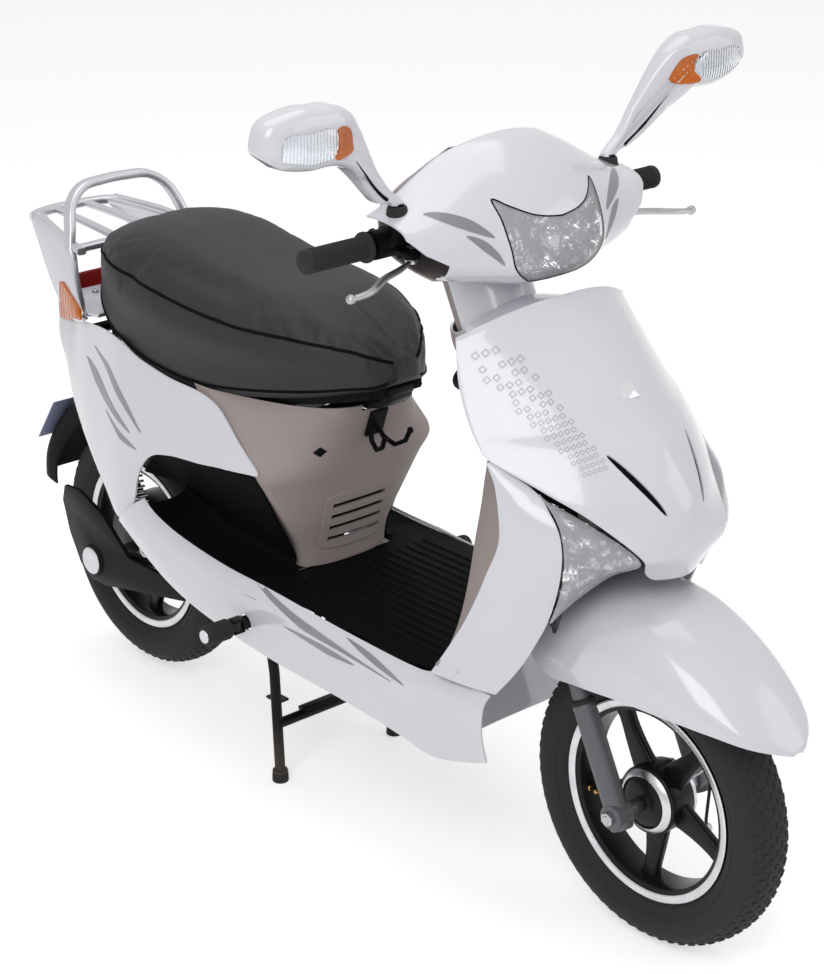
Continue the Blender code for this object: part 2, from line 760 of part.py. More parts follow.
LEG_EDGE = [
    # height, ahead, half width: the seam between front body and leg shield
    (0.370, -0.264, 0.187), (0.420, -0.227, 0.190), (0.480, -0.188, 0.190), (0.550, -0.153, 0.190),
    (0.620, -0.126, 0.190), (0.680, -0.134, 0.190), (0.723, -0.160, 0.190), (0.750, -0.195, 0.183),
    (0.800, -0.240, 0.170), (0.850, -0.246, 0.158)]
WING_TUCK = SHELL + 0.0015
APRON_TUCK = SHELL + 0.0075
APRON_ROWS = [
    # height at the middle and at the edge, ahead at the middle and at the edge, half width
    (0.556, 0.556, 0.030, 0.010, 0.056),
    (0.600, 0.600, 0.045, 0.029, 0.079),
    (0.651, 0.651, 0.035, -0.030, 0.120),
    (0.680, 0.684, 0.020, -0.085, 0.155),
    (0.723, 0.723, -0.015, None, None),
    (0.750, 0.750, -0.043, None, None),
    (0.800, 0.800, -0.093, None, None),
    (0.850, 0.830, -0.148, None, None),
    (0.894, 0.854, -0.199, -0.238, 0.157)]
COLUMNS = [-1.0, -0.82, -0.45, 0.0, 0.45, 0.82, 1.0]


def build_apron():
    """Front apron: the broad white shield that runs down to a beak over the wheel."""
    rows = []
    for middle, edge, middle_x, edge_x, half in APRON_ROWS:
        if edge_x is None:
            edge_x, half = blend(LEG_EDGE, edge)
        row = []
        for t in COLUMNS:
            x = middle_x - (middle_x - edge_x) * abs(t) ** 1.7
            row.append(front(x, middle + (edge - middle) * t * t, t * half))
        rows.append(row)
    apron = shell(rows, SHELL, front(-0.2, 0.65))
    slots = []
    for side in (-1, 1):
        high = front(-0.048, 0.723, side * 0.074)
        low = front(0.028, 0.651, side * 0.035)
        along = (high - low).normalized()
        out = Vector((0.7, side * 0.25, 0.67))
        out = (out - along * out.dot(along)).normalized()
        matrix = Matrix((along, out.cross(along), out)).transposed().to_4x4()
        matrix = Matrix.Translation((high + low) / 2) @ matrix
        half = (high - low).length / 2
        outline = [(-half, 0), (-half * 0.8, 0.003), (half * 0.8, 0.004), (half, 0),
                   (half * 0.8, -0.004), (-half * 0.8, -0.003)]
        slots.append(plate(outline, 0.09, matrix))
    return cut(apron, *slots)


LENS_BULGE = 0.005
LENS_OUTER = [(-0.087, 0.1560, 0.680), (-0.055, 0.157, 0.655), (-0.041, 0.156, 0.612),
              (-0.045, 0.153, 0.565), (-0.074, 0.147, 0.497)]
LENS_INNER = [(-0.0850, 0.1520, 0.6720), (-0.035, 0.1185, 0.6430), (0.0245, 0.0785, 0.5945),
              (-0.018, 0.092, 0.566), (-0.074, 0.136, 0.502)]


def build_lens(side):
    """Front indicator lens beside the beak."""
    rows = []
    for outer, inner in zip(LENS_OUTER, LENS_INNER):
        start = front(outer[0], outer[2], side * (outer[1] - SEAT_GAP))
        end = front(inner[0], inner[2], side * inner[1])
        bulge = Vector((1.0, side, 0.0)) * LENS_BULGE * (outer[2] < LENS_OUTER[1][2])
        rows.append([start, start.lerp(end, 0.35) + bulge, start.lerp(end, 0.7) + bulge, end])
    return shell(rows, 0.0025, front(-0.12, 0.6, side * 0.04))


WING_ROWS = [
    # height, front edge ahead, front edge aside
    (0.370, -0.152, 0.170), (0.420, -0.115, 0.160), (0.480, -0.107, 0.152), (0.550, -0.090, 0.1545),
    (0.600, -0.062, 0.1580), (0.640, -0.060, 0.1590), (0.679, -0.0905, 0.1560),
    (0.714, -0.1480, 0.1850)]
LINER_ROWS = [
    # height, ahead at the middle, ahead and half width at the edge
    (0.262, -0.246, -0.236, 0.155), (0.310, -0.246, -0.236, 0.158), (0.366, -0.237, -0.221, 0.166),
    (0.376, -0.233, -0.215, 0.1780), (0.390, -0.230, -0.208, 0.1885)]


def build_lower_shield():
    """Lower front body: a wing each side of the wheel and the wall behind it."""
    wings = []
    for side in (-1, 1):
        rows = []
        for height, front_x, front_y in WING_ROWS:
            rear_x, rear_y = blend(LEG_EDGE, height)
            rows.append([
                front(front_x + (rear_x - front_x) * t, height,
                      side * (front_y + (rear_y - front_y) * (1 - (1 - t) ** 2)))
                for t in (0.0, 0.2, 0.5, 1.0)])
        wings.append(shell(rows, SHELL, front(-0.16, 0.5)))
    rows = []
    for height, middle, edge, half in LINER_ROWS:
        rows.append([
            front(edge + (middle - edge) * (1 - t ** 4), height, t * half)
            for t in (-1.0, -0.75, 0.0, 0.75, 1.0)])
    liner = shell(rows, SHELL, front(-0.5, 0.35))
    return join([liner] + wings)


LEG_COLUMNS = [-1.0, -0.82, -0.50, -0.20, 0.20, 0.50, 0.82, 1.0]
LEG_SHIELD_ROWS = [
    # height at the middle and at the edge, ahead at the middle, tuck inside the outer shell, fullness
    (0.3652, 0.3652, -0.290, 0.0190, 0.0), (0.376, 0.376, -0.288, 0.0080, 0.0),
    (0.440, 0.440, -0.286, WING_TUCK, 1.0), (0.530, 0.530, -0.285, WING_TUCK, 1.0),
    (0.620, 0.620, -0.293, WING_TUCK, 0.8), (0.690, 0.690, -0.322, APRON_TUCK, 0.3),
    (0.745, 0.745, -0.354, APRON_TUCK, 0.0), (0.783, 0.795, -0.404, APRON_TUCK, 0.0),
    (0.808, 0.825, -0.414, APRON_TUCK, 0.0)]
LEG_ROOF_ROWS = [
    # height at the middle and edge, ahead at the middle and edge, half width
    (0.838, 0.8410, -0.365, -0.2475, 0.149),
    (0.870, 0.8430, -0.290, -0.2450, 0.146),
    (0.886, 0.8440, -0.2085, -0.2435, 0.144)]
LOCK_SEAT = front(-0.262, 0.785, -0.125)
LOCK_AXIS = Vector((-0.97, -0.10, 0.22)).normalized()
LOCK_RADIUS = 0.009


def build_leg_shield():
    """Leg shield on the rider's side, with its roof round the steering column and a lock boss."""
    rows = []
    for middle, edge, middle_x, tuck, fullness in LEG_SHIELD_ROWS:
        edge_x, half = blend(LEG_EDGE, edge)
        half -= tuck
        row = []
        for t in LEG_COLUMNS:
            weight = math.cos(math.pi / 2 * t) ** 2 * (1 - fullness) + (1 - abs(t) ** 3) * fullness
            row.append(front(edge_x + (middle_x - edge_x) * weight,
                             edge + (middle - edge) * weight, t * half))
        rows.append(row)
    for middle, edge, middle_x, edge_x, half in LEG_ROOF_ROWS:
        row = []
        for t in LEG_COLUMNS:
            weight = math.cos(math.pi / 2 * t) ** 2
            row.append(front(edge_x + (middle_x - edge_x) * weight,
                             edge + (middle - edge) * weight, t * half))
        rows.append(row)
    body = shell(rows, SHELL, front(-0.2, 0.62))
    neck_hole = cone(steer(0.655), steer(0.90), NECK_RADIUS + 0.006, sides=16)
    body = cut(body, neck_hole)
    lock_boss = cone(LOCK_SEAT - LOCK_AXIS * 0.018, LOCK_SEAT + LOCK_AXIS * 0.012, 0.017, 0.014, 12)
    body = join([body, lock_boss])
    hole = bore(LOCK_SEAT - LOCK_AXIS * 0.040, LOCK_SEAT + LOCK_AXIS * 0.020, LOCK_RADIUS)
    return cut(body, hole)


def build_ignition_lock():
    """Lock barrel with its keyway, turning in the boss on the leg shield."""
    pivot("ignition_pivot", LOCK_SEAT)
    barrel = cone(LOCK_SEAT - LOCK_AXIS * 0.016, LOCK_SEAT + LOCK_AXIS * 0.0135, LOCK_RADIUS)
    face = LOCK_SEAT + LOCK_AXIS * 0.0135
    turn = LOCK_AXIS.to_track_quat("Z", "Y").to_matrix().to_4x4()
    keyway = box((-0.0008, -0.0045, -0.005), (0.0008, 0.0045, 0.005))
    keyway.data.transform(Matrix.Translation(face) @ turn)
    part("ignition_lock", cut(barrel, keyway), STEEL, "ignition_pivot")


# Floor and sides

SILL_STATIONS = [
    # top ahead and height, bottom ahead and height
    (-0.158, 0.3682, -0.160, 0.265), (-0.190, 0.3682, -0.200, 0.250), (-0.262, 0.3660, -0.274, 0.231),
    (-0.300, 0.3570, -0.340, 0.238), (-0.450, 0.3580, -0.454, 0.246), (-0.640, 0.3670, -0.640, 0.252),
    (-0.760, 0.3710, -0.780, 0.266), (-0.870, 0.3850, -0.875, 0.286),
    (-0.925, 0.4000, -0.940, 0.312), (-0.957, 0.4190, -1.0280, 0.3605)]
PEG_PLACE = front(-0.683, 0.302)


def build_sill(side):
    """Side sill under the floor, from the wheel's wall to the rear panel."""
    rows = []
    for top_x, top_z, low_x, low_z in SILL_STATIONS:
        row = []
        for t, y in ((0.0, FLOOR_HALF_WIDTH + 0.0035), (0.10, SILL_HALF_WIDTH - 0.005),
                     (0.50, SILL_HALF_WIDTH), (1.0, SILL_HALF_WIDTH - 0.012)):
            row.append(front(top_x + (low_x - top_x) * t, top_z + (low_z - top_z) * t, side * y))
        rows.append(row)
    skin = shell(rows, SHELL, front(-0.5, 0.3))
    notch = cone(aside(PEG_PLACE, side * 0.15), aside(PEG_PLACE, side * 0.22), 0.0135, sides=10)
    return cut(skin, notch)


WELL_ROWS = [
    # ahead, bottom height, top height, top half width
    (-0.680, 0.3622, 0.531, 0.1645), (-0.748, 0.3650, 0.525, 0.1720), (-0.829, 0.3720, 0.519, 0.1745),
    (-0.880, 0.3800, 0.512, 0.1745), (-0.925, 0.3930, 0.497, 0.1740), (-0.953, 0.4090, 0.465, 0.1735)]


def build_footboard():
    """Floor with a foot well each side behind it."""
    front_edge = front(-0.272, 0.0).x
    rear_edge = front(-0.664, 0.0).x
    low = FLOOR_HEIGHT - SHELL
    pieces = [box((rear_edge, -FLOOR_HALF_WIDTH, low), (front_edge, FLOOR_HALF_WIDTH, FLOOR_HEIGHT))]
    for side in (-1, 1):
        y_low = 0.096 if side > 0 else -FLOOR_HALF_WIDTH
        y_high = FLOOR_HALF_WIDTH if side > 0 else -0.096
        pieces.append(box(
            (rear_edge - 0.035, y_low, low + 0.0004), (rear_edge + 0.01, y_high, FLOOR_HEIGHT - 0.0004)))
        rows = []
        for x, bottom, top, half in WELL_ROWS:
            rows.append([
                front(x, bottom, side * (FLOOR_HALF_WIDTH + 0.001)), front(x, bottom + 0.002, side * 0.105),
                front(x, bottom + 0.014, side * 0.092),
                front(x, bottom + (top - bottom) * 0.55, side * 0.128), front(x, top, side * half)])
        pieces.append(shell(rows, SHELL, front(-0.8, -1.0)))
    notch = box(front(-0.2885, 0.350, -0.024), front(-0.265, 0.370, 0.024))
    return cut(join(pieces), notch)


KICK_ROWS = [
    # height, side ahead, half width, middle ahead
    (0.3645, -0.675, 0.082, -0.656), (0.400, -0.674, 0.088, -0.652), (0.450, -0.668, 0.115, -0.640),
    (0.500, -0.662, 0.144, -0.628), (0.536, -0.657, 0.1635, -0.618), (0.580, -0.710, 0.1640, -0.605),
    (0.620, -0.765, 0.1620, -0.590), (0.640, -0.795, 0.1550, -0.582)]


LOUVRE_HEIGHTS = (0.4680, 0.4485, 0.4290, 0.4095)
LOUVRE_HALF = Vector((0.04, 0.0520, 0.0036))


def build_kick_panel():
    """Beige panel under the seat's front with four louvres one above the other."""
    rows = []
    for height, side_x, half, middle_x in KICK_ROWS:
        rows.append([
            front(middle_x - (middle_x - side_x) * abs(t) ** 3.2, height, t * half)
            for t in (-1.0, -0.88, -0.62, -0.25, 0.25, 0.62, 0.88, 1.0)])
    panel = shell(rows, SHELL, front(-0.9, 0.5))
    cuts = []
    for z in LOUVRE_HEIGHTS:
        centre = front(-0.645, z)
        cuts.append(box(centre - LOUVRE_HALF, centre + LOUVRE_HALF))
    cuts.append(box(front(-0.625, 0.6305, -0.0335), front(-0.55, 0.66, 0.0335)))
    return cut(panel, *cuts)


PANEL_STATIONS = [
    # ahead, top height, low height, half width
    (-0.668, 0.5440, 0.5385, 0.1700), (-0.712, 0.5800, 0.5330, 0.1735), (-0.762, 0.6190, 0.5275, 0.1755),
    (-0.800, 0.6270, 0.5225, 0.1775), (-0.880, 0.6250, 0.5140, 0.1790), (-0.930, 0.6290, 0.4980, 0.1790),
    (-0.962, 0.6330, 0.4620, 0.1790), (-0.985, 0.6380, 0.3980, 0.1785), (-1.031, 0.6530, 0.3635, 0.1740),
    (-1.090, 0.6530, 0.4000, 0.1605), (-1.160, 0.6480, 0.4530, 0.1430), (-1.218, 0.6390, 0.4980, 0.1240),
    (-1.253, 0.6320, 0.5600, 0.1125),
    (-1.290, 0.6260, 0.6080, 0.0980), (-1.306, 0.6240, 0.6110, 0.0550), (-1.309, 0.6240, 0.6120, 0.0004)]


def build_rear_panel(side):
    """Rear side panel from the kick panel to the middle of the tail."""
    rows = []
    for x, top, low, half in PANEL_STATIONS:
        fullness = min(1.0, (top - low) / 0.15)
        row = []
        for t, draw in ((0.0, 0.0), (0.35, 0.0), (0.72, 0.006), (1.0, 0.012)):
            y = max(half - draw * fullness, 0.0004)
            row.append(front(x, low + (top - low) * t, side * y))
        rows.append(row)
    return shell(rows, SHELL, front(-1.0, 0.5))


LAMP_STATIONS = [
    # ahead, top height, half width
    (-1.206, 0.6455, 0.1265), (-1.250, 0.6600, 0.1120), (-1.288, 0.6730, 0.0985), (-1.308, 0.6800, 0.0760),
    (-1.318, 0.6820, 0.0400), (-1.320, 0.6820, 0.0)]


def build_tail_lamp():
    """Tail lamp with indicators, wrapped round the tail above the rear panels."""
    half_rows = []
    for x, top, half in LAMP_STATIONS:
        low = blend([(-s[0], s[1]) for s in PANEL_STATIONS], -x)[0] + SHELL_GAP
        half_rows.append([(x, low + (top - low) * t, half) for t in (0.0, 0.5, 1.0)])
    rows = [[front(x, z, -y) for x, z, y in row] for row in half_rows]
    rows += [[front(x, z, y) for x, z, y in row] for row in reversed(half_rows[:-1])]
    return shell(rows, 0.004, front(-1.2, 0.65))


ARM_STATIONS = [
    # lower edge: ahead, aside, height; upper edge: ahead, aside, height
    (-1.140, 0.1490, 0.6620, -1.142, 0.1470, 0.6760), (-1.188, 0.1380, 0.6530, -1.172, 0.1400, 0.7170),
    (-1.250, 0.1200, 0.6660, -1.206, 0.1250, 0.7660), (-1.300, 0.1050, 0.6930, -1.262, 0.1110, 0.7800),
    (-1.345, 0.0940, 0.7400, -1.320, 0.0970, 0.7845), (-1.386, 0.0800, 0.7690, -1.374, 0.0840, 0.7870)]
RACK_HEIGHT = 0.778


def build_carrier():
    """Cast carrier: side arms, flat rack with slats, base plate and the passenger's hoop."""
    pieces = []
    for side in (-1, 1):
        rows = []
        for lx, ly, lz, ux, uy, uz in ARM_STATIONS:
            low = front(lx, lz, side * ly)
            high = front(ux, uz, side * uy)
            rows.append([low, low.lerp(high, 0.5) + Vector((0.0, side * 0.003, 0.0)), high])
        pieces.append(shell(rows, 0.010, front(-1.25, 0.72)))
        pieces.append(strip([
            front(-1.180, 0.764, side * 0.118), front(-1.280, 0.772, side * 0.098),
            front(-1.374, RACK_HEIGHT, side * 0.072)], 0.008, 0.006))
        pieces.append(strip([
            front(-1.190, 0.768, side * 0.036), front(-1.290, 0.775, side * 0.034),
            front(-1.384, RACK_HEIGHT, side * 0.030)], 0.008, 0.005))
    rear_bar = [front(-1.366, RACK_HEIGHT, -0.084), front(-1.380, RACK_HEIGHT, -0.066),
                front(-1.388, RACK_HEIGHT, -0.036), front(-1.390, RACK_HEIGHT, 0.0)]
    rear_bar += [aside(point, -point.y) for point in reversed(rear_bar[:-1])]
    pieces.append(strip(rear_bar, 0.011, 0.007, across=AHEAD))
    pieces.append(strip([front(-1.196, 0.765, -0.118), front(-1.190, 0.768, 0.0),
                         front(-1.196, 0.765, 0.118)], 0.010, 0.006, across=AHEAD))
    hoop = [front(-1.214, 0.762, -0.117), front(-1.230, 0.806, -0.097), front(-1.248, 0.840, -0.060),
            front(-1.256, 0.853, -0.022)]
    hoop += [aside(point, -point.y) for point in reversed(hoop)]
    pieces.append(strip(hoop, 0.0085, 0.0055, across=AHEAD))
    outline = [(-1.262, -0.107), (-1.200, -0.128), (-1.150, -0.141), (-1.125, -0.130)]
    outline += [(x, -y) for x, y in reversed(outline)]
    base = plate([(front(x, 0.0).x, y) for x, y in outline], 0.006,
                 Matrix.Translation((0.0, 0.0, 0.671)))
    pieces.append(base)
    return join(pieces)


# Handlebar and head

SLEEVE_RADIUS = 0.019
CLAMP_TOP = STEM_TOP + 0.014


def bar_point(side, y):
    """Point on the handlebar at the distance y from the middle."""
    stations = [(0.0, 0.387, 0.946), (0.080, 0.375, 0.950), (0.160, BAR_BACK, BAR_HEIGHT),
                (BAR_HALF_WIDTH, BAR_BACK, BAR_HEIGHT)]
    back, height = blend(stations, y)
    return front(-back, height, side * y)


def bar_ring(side, start, end, radius, sides=10):
    """A cylinder round the handlebar's straight end."""
    return cone(bar_point(side, start), bar_point(side, end), radius, sides=sides)


def build_handlebar(front_cowl, rear_cowl):
    """Handlebar with its stem sleeve and the bosses that carry the two cowls."""
    path = [bar_point(-1, y) for y in (BAR_HALF_WIDTH, 0.160, 0.080)]
    path += [bar_point(1, y) for y in (0.0, 0.080, 0.160, BAR_HALF_WIDTH)]
    sleeve = cone(steer(HEAD_HIGH + SEAT_GAP), steer(CLAMP_TOP), SLEEVE_RADIUS, sides=12)
    pieces = [sleeve, tube(path, BAR_RADIUS, resolution=2)]
    for side in (-1, 1):
        start = bar_point(side, 0.066)
        pieces.append(boss(front_cowl, start, Vector((0.5, 0.0, 1.0)), 0.005))
        pieces.append(boss(rear_cowl, start, Vector((-1.0, 0.0, 0.0)), 0.004))
    hole = bore(steer(HEAD_HIGH - 0.01), steer(STEM_TOP + SEAT_GAP), STEM_RADIUS, SEAT_GAP, 12)
    part("handlebar", cut(join(pieces), hole), BLACK, "steering_pivot")


def build_neck():
    """Round cover of the steering neck, carried by a ring on the stem's sleeve."""
    wall = turned([
        (NECK_RADIUS - SHELL, NECK_HIGH), (NECK_RADIUS, NECK_HIGH), (NECK_RADIUS, NECK_LOW),
        (SLEEVE_RADIUS + SEAT_GAP, NECK_LOW), (SLEEVE_RADIUS + SEAT_GAP, NECK_LOW + SHELL),
        (NECK_RADIUS - SHELL, NECK_LOW + SHELL)], 18, steer(0.0), STEER_UP, closed=True)
    slot = cone(steer(NECK_LOW - 0.02, 0.038), steer(NECK_LOW + 0.02, 0.038), 0.007)
    part("neck_cover", cut(wall, slot), WHITE, "steering_pivot")


FRONT_COWL = [
    # distance from the middle, then (ahead, height) from the lower edge to the upper one
    (0.000, (-0.300, 0.905), (-0.225, 0.910), (-0.195, 0.945), (-0.205, 0.990), (-0.235, 1.035),
     (-0.285, 1.075), (-0.330, 1.085)),
    (0.055, (-0.294, 0.907), (-0.226, 0.914), (-0.200, 0.948), (-0.211, 0.993), (-0.242, 1.036),
     (-0.291, 1.071), (-0.334, 1.079)),
    (0.100, (-0.280, 0.915), (-0.235, 0.925), (-0.222, 0.955), (-0.235, 1.000), (-0.262, 1.035),
     (-0.305, 1.060), (-0.345, 1.065)),
    (0.190, (-0.300, 0.935), (-0.262, 0.940), (-0.250, 0.965), (-0.262, 0.995), (-0.285, 1.012),
     (-0.320, 1.020), (-0.350, 1.020)),
    (0.245, (-0.310, 0.950), (-0.285, 0.955), (-0.278, 0.975), (-0.285, 1.000), (-0.300, 1.005),
     (-0.330, 1.008), (-0.350, 1.005))]
REAR_COWL = [
    # distance from the middle, then (ahead, height) from the upper edge to the lower one
    (0.000, (-0.3335, 1.0840), (-0.385, 1.058), (-0.432, 1.030), (-0.442, 0.980), (-0.412, 0.935),
     (-0.355, 0.909), (-0.3045, 0.9035)),
    (0.055, (-0.3378, 1.0775), (-0.385, 1.053), (-0.428, 1.027), (-0.437, 0.980), (-0.409, 0.936),
     (-0.352, 0.912), (-0.2995, 0.9055)),
    (0.100, (-0.3490, 1.0640), (-0.385, 1.044), (-0.418, 1.018), (-0.426, 0.980), (-0.402, 0.938),
     (-0.345, 0.918), (-0.2850, 0.9125)),
    (0.156, (-0.3505, 1.0365), (-0.377, 1.021), (-0.398, 1.004), (-0.404, 0.978), (-0.388, 0.944),
     (-0.345, 0.928), (-0.2945, 0.9205))]
LAMP_OUTLINE = [
    # aside and height, one half of the headlight from its top middle to its lower middle
    (0.000, 1.000), (0.045, 1.007), (0.091, 1.029), (0.088, 0.985), (0.080, 0.943), (0.052, 0.9165),
    (0.000, 0.9135)]


def mirrored_rows(stations):
    """Rows of points from stations on one side of the middle plane, completed on the other."""
    rows = []
    for station in reversed(stations):
        rows.append([front(x, z, -station[0]) for x, z in station[1:]])
    for station in stations[1:]:
        rows.append([front(x, z, station[0]) for x, z in station[1:]])
    return rows


def lamp_block(grow):
    """A block along the scooter with the headlight's outline, larger by grow."""
    half = list(LAMP_OUTLINE)
    outline = half + [(-y, z) for y, z in reversed(half) if y > 0]
    middle = 0.965
    points = []
    for y, z in outline:
        away = Vector((y, z - middle))
        away += away.normalized() * grow
        points.append((away.x, away.y + middle))
    across = Matrix(((0, 0, 1, front(-0.215, 0.0).x), (1, 0, 0, 0), (0, 1, 0, 0), (0, 0, 0, 1)))
    return plate(points, 0.14, across)


def intersect(target, tool):
    """What the target and the tool share."""
    return boolean(target, [tool], "INTERSECT")


def build_cowls():
    """Front and rear head cowls, the headlight lens and the instrument panel."""
    inside = front(-0.33, 0.98)
    front_cowl = shell(mirrored_rows(FRONT_COWL), SHELL, inside)
    lens = intersect(copy_of(front_cowl), lamp_block(-SEAT_GAP))
    neck = [cone(steer(0.66), steer(0.83), NECK_RADIUS + 0.0025, sides=18) for _ in range(2)]
    cuts = [lamp_block(SEAT_GAP), neck[0]]
    for side in (-1, 1):
        low_y = 0.146 if side > 0 else -0.260
        high_y = 0.260 if side > 0 else -0.146
        cuts.append(box(front(-0.36, 0.90, low_y), front(-0.2735, 0.9585, high_y)))
        stalk = aside(MIRROR_STEM, side * MIRROR_STEM_Y)
        cuts.append(cone(stalk - UP * 0.02, stalk + UP * 0.06, 0.0115))
    front_cowl = cut(front_cowl, *cuts)
    rear_cowl = shell(mirrored_rows(REAR_COWL), SHELL, inside)
    panel_frame = Matrix.Translation(front(-0.388, 1.0535)) @ Matrix.Rotation(math.radians(-34), 4, "Y")
    window = box((-0.032, -0.066, -0.03), (0.032, 0.066, 0.03))
    window.data.transform(panel_frame)
    rear_cowl = cut(rear_cowl, window, neck[1])
    panel = box((-0.0314, -0.0654, -0.012), (0.0314, 0.0654, 0.004), bevel=0.003)
    panel.data.transform(panel_frame)
    return front_cowl, rear_cowl, lens, panel


MIRROR_STEM_X = -0.318
MIRROR_STEM = front(MIRROR_STEM_X, 1.000)
MIRROR_STEM_Y = 0.196
STEM_DEPTH = 0.014
LEVER_PIVOT = front(-0.318, 0.947)
LEVER_PIVOT_Y = 0.172
LEVER_THICKNESS = 0.006
LEVER_PIN = 0.003
CONTROL_START = 0.168
PERCH_LOW = LEVER_PIVOT.z + LEVER_THICKNESS / 2 + SEAT_GAP


def build_control(name, side):
    """Switch housing with the brake lever's perch and the mirror's socket."""
    end = CONTROL_START + CONTROL_WIDTH
    housing = bar_ring(side, CONTROL_START, end, 0.0205)
    pin_place = aside(LEVER_PIVOT, side * LEVER_PIVOT_Y)
    perch = strip([
        front(-BAR_BACK + 0.012, BAR_HEIGHT - 0.008, side * (CONTROL_START + 0.010)),
        pin_place + UP * 0.0075, pin_place + Vector((0.010, 0.0, 0.0075))], 0.009, 0.0042)
    pin = cone(pin_place - UP * (LEVER_THICKNESS / 2 + 0.003), pin_place + UP * 0.009, LEVER_PIN)
    socket_y = side * MIRROR_STEM_Y
    socket = strip([
        bar_point(side, MIRROR_STEM_Y), front(-0.328, 0.975, socket_y),
        aside(MIRROR_STEM, socket_y) - UP * 0.019,
        aside(MIRROR_STEM, socket_y) - UP * (STEM_DEPTH + SEAT_GAP)], 0.008, 0.006)
    pieces = [housing, perch, pin, socket]
    if side < 0:
        pieces.append(cone(aside(ADJUSTER, -ADJUSTER_START - SEAT_GAP), aside(ADJUSTER, -0.182), 0.004))
    body = join(pieces)
    cuts = [bar_ring(side, CONTROL_START - 0.004, end + 0.01, bore_radius(BAR_RADIUS, SEAT_GAP, 10))]
    if side > 0:
        cuts.append(bore(HORN_SEAT - HORN_AXIS * 0.006, HORN_SEAT + HORN_AXIS * 0.02, HORN_RADIUS))
    part(name, cut(body, *cuts), BLACK, "steering_pivot")


HORN_RADIUS = 0.0055
HORN_AXIS = Vector((-0.85, 0.0, -0.30)).normalized()
HORN_SEAT = bar_point(1, CONTROL_START + CONTROL_WIDTH / 2) + HORN_AXIS * 0.0195


def build_horn_button():
    """Horn button on the left housing, pushed straight in."""
    pivot("horn_pivot", HORN_SEAT)
    button = cone(HORN_SEAT - HORN_AXIS * 0.0035, HORN_SEAT + HORN_AXIS * 0.0035, HORN_RADIUS,
                  HORN_RADIUS * 0.85)
    part("horn_button", button, AMBER, "horn_pivot")


def build_lever(name, side):
    """Brake lever: a curved blade with a ball end on its pin."""
    place = aside(LEVER_PIVOT, side * LEVER_PIVOT_Y)
    pivot(name + "_pivot", place)
    root = cone(place - UP * LEVER_THICKNESS / 2, place + UP * LEVER_THICKNESS / 2, 0.0085)
    path = [
        place + Vector((0.002, side * 0.003, 0.0)), front(-0.300, 0.9455, side * 0.208),
        front(-0.287, 0.9440, side * 0.245), front(-0.264, 0.9395, side * 0.292),
        front(-0.268, 0.9360, side * 0.318)]
    blade = tube(path, LEVER_RADIUS, radii=[0.55, 0.9, 1.0, 1.0, 1.0])
    knob = ball(path[-1], LEVER_RADIUS + 0.0015, 6, 4)
    hole = bore(place - UP * 0.02, place + UP * 0.02, LEVER_PIN)
    flat = box(place + Vector((-0.02, -0.014, PERCH_LOW - place.z - SEAT_GAP)),
               place + Vector((0.02, 0.014, 0.03)))
    part(name, cut(join([root, blade, knob]), hole, flat), BLACK, name + "_pivot")


def build_grip(name, side, parent):
    """Rubber grip with its flange, closed at the bar's end."""
    start = CONTROL_START + CONTROL_WIDTH + SEAT_GAP * 2 + 0.009
    end = start + GRIP_LENGTH
    pieces = [bar_ring(side, start, end, GRIP_RADIUS), bar_ring(side, start, start + 0.005, GRIP_FLANGE)]
    hole = bar_ring(side, start - 0.01, BAR_HALF_WIDTH + SEAT_GAP, bore_radius(BAR_RADIUS, SEAT_GAP, 10))
    part(name, cut(join(pieces), hole), RUBBER, parent)


MIRROR_OUTLINE = [
    # aside and height, from the outer end over the top and down the stalk
    (0.438, 1.136), (0.439, 1.153), (0.429, 1.174), (0.384, 1.186), (0.350, 1.185), (0.317, 1.182),
    (0.293, 1.168), (0.270, 1.140), (0.246, 1.102), (0.214, 1.054), (0.190, 1.034), (0.186, 1.0275),
    (0.206, 1.0275), (0.212, 1.032), (0.237, 1.038), (0.278, 1.079), (0.300, 1.097), (0.323, 1.106),
    (0.373, 1.107), (0.416, 1.118)]


def build_mirror(name, side):
    """Mirror housing with its stalk and the stem that turns in the handlebar's socket."""
    place = aside(MIRROR_STEM, side * MIRROR_STEM_Y)
    pivot(name + "_pivot", place)
    back = -0.298
    outline = [(side * y, z) for y, z in MIRROR_OUTLINE]
    shape = bmesh.new()
    middle = Vector((side * 0.36, 1.146))
    rings = []
    for x, grow in ((back - 0.020, 0.93), (back - 0.016, 1.0), (back + 0.006, 1.0), (back + 0.020, 0.80)):
        ring = []
        for y, z in outline:
            head = min(1.0, max(0.0, (abs(y) - 0.235) / 0.06))
            scale = 1.0 + (grow - 1.0) * head
            slim = (MIRROR_STEM_X + (x - back) * 0.35) * (1.0 - head) + x * head
            ring.append(shape.verts.new(front(
                slim, middle.y + (z - middle.y) * scale, middle.x + (y - middle.x) * scale)))
        rings.append(ring)
    count = len(outline)
    for lower, upper in zip(rings, rings[1:]):
        for index in range(count):
            after = (index + 1) % count
            shape.faces.new((lower[index], lower[after], upper[after], upper[index]))
    for ring in (rings[0], rings[-1]):
        cap = shape.faces.new(ring)
        bmesh.ops.triangulate(shape, faces=[cap])
    body = from_bmesh(shape)
    foot = cone(place - UP * STEM_DEPTH, place + UP * 0.030, 0.0075, 0.010)
    part(name, join([body, foot]), WHITE, name + "_pivot")


# Seat

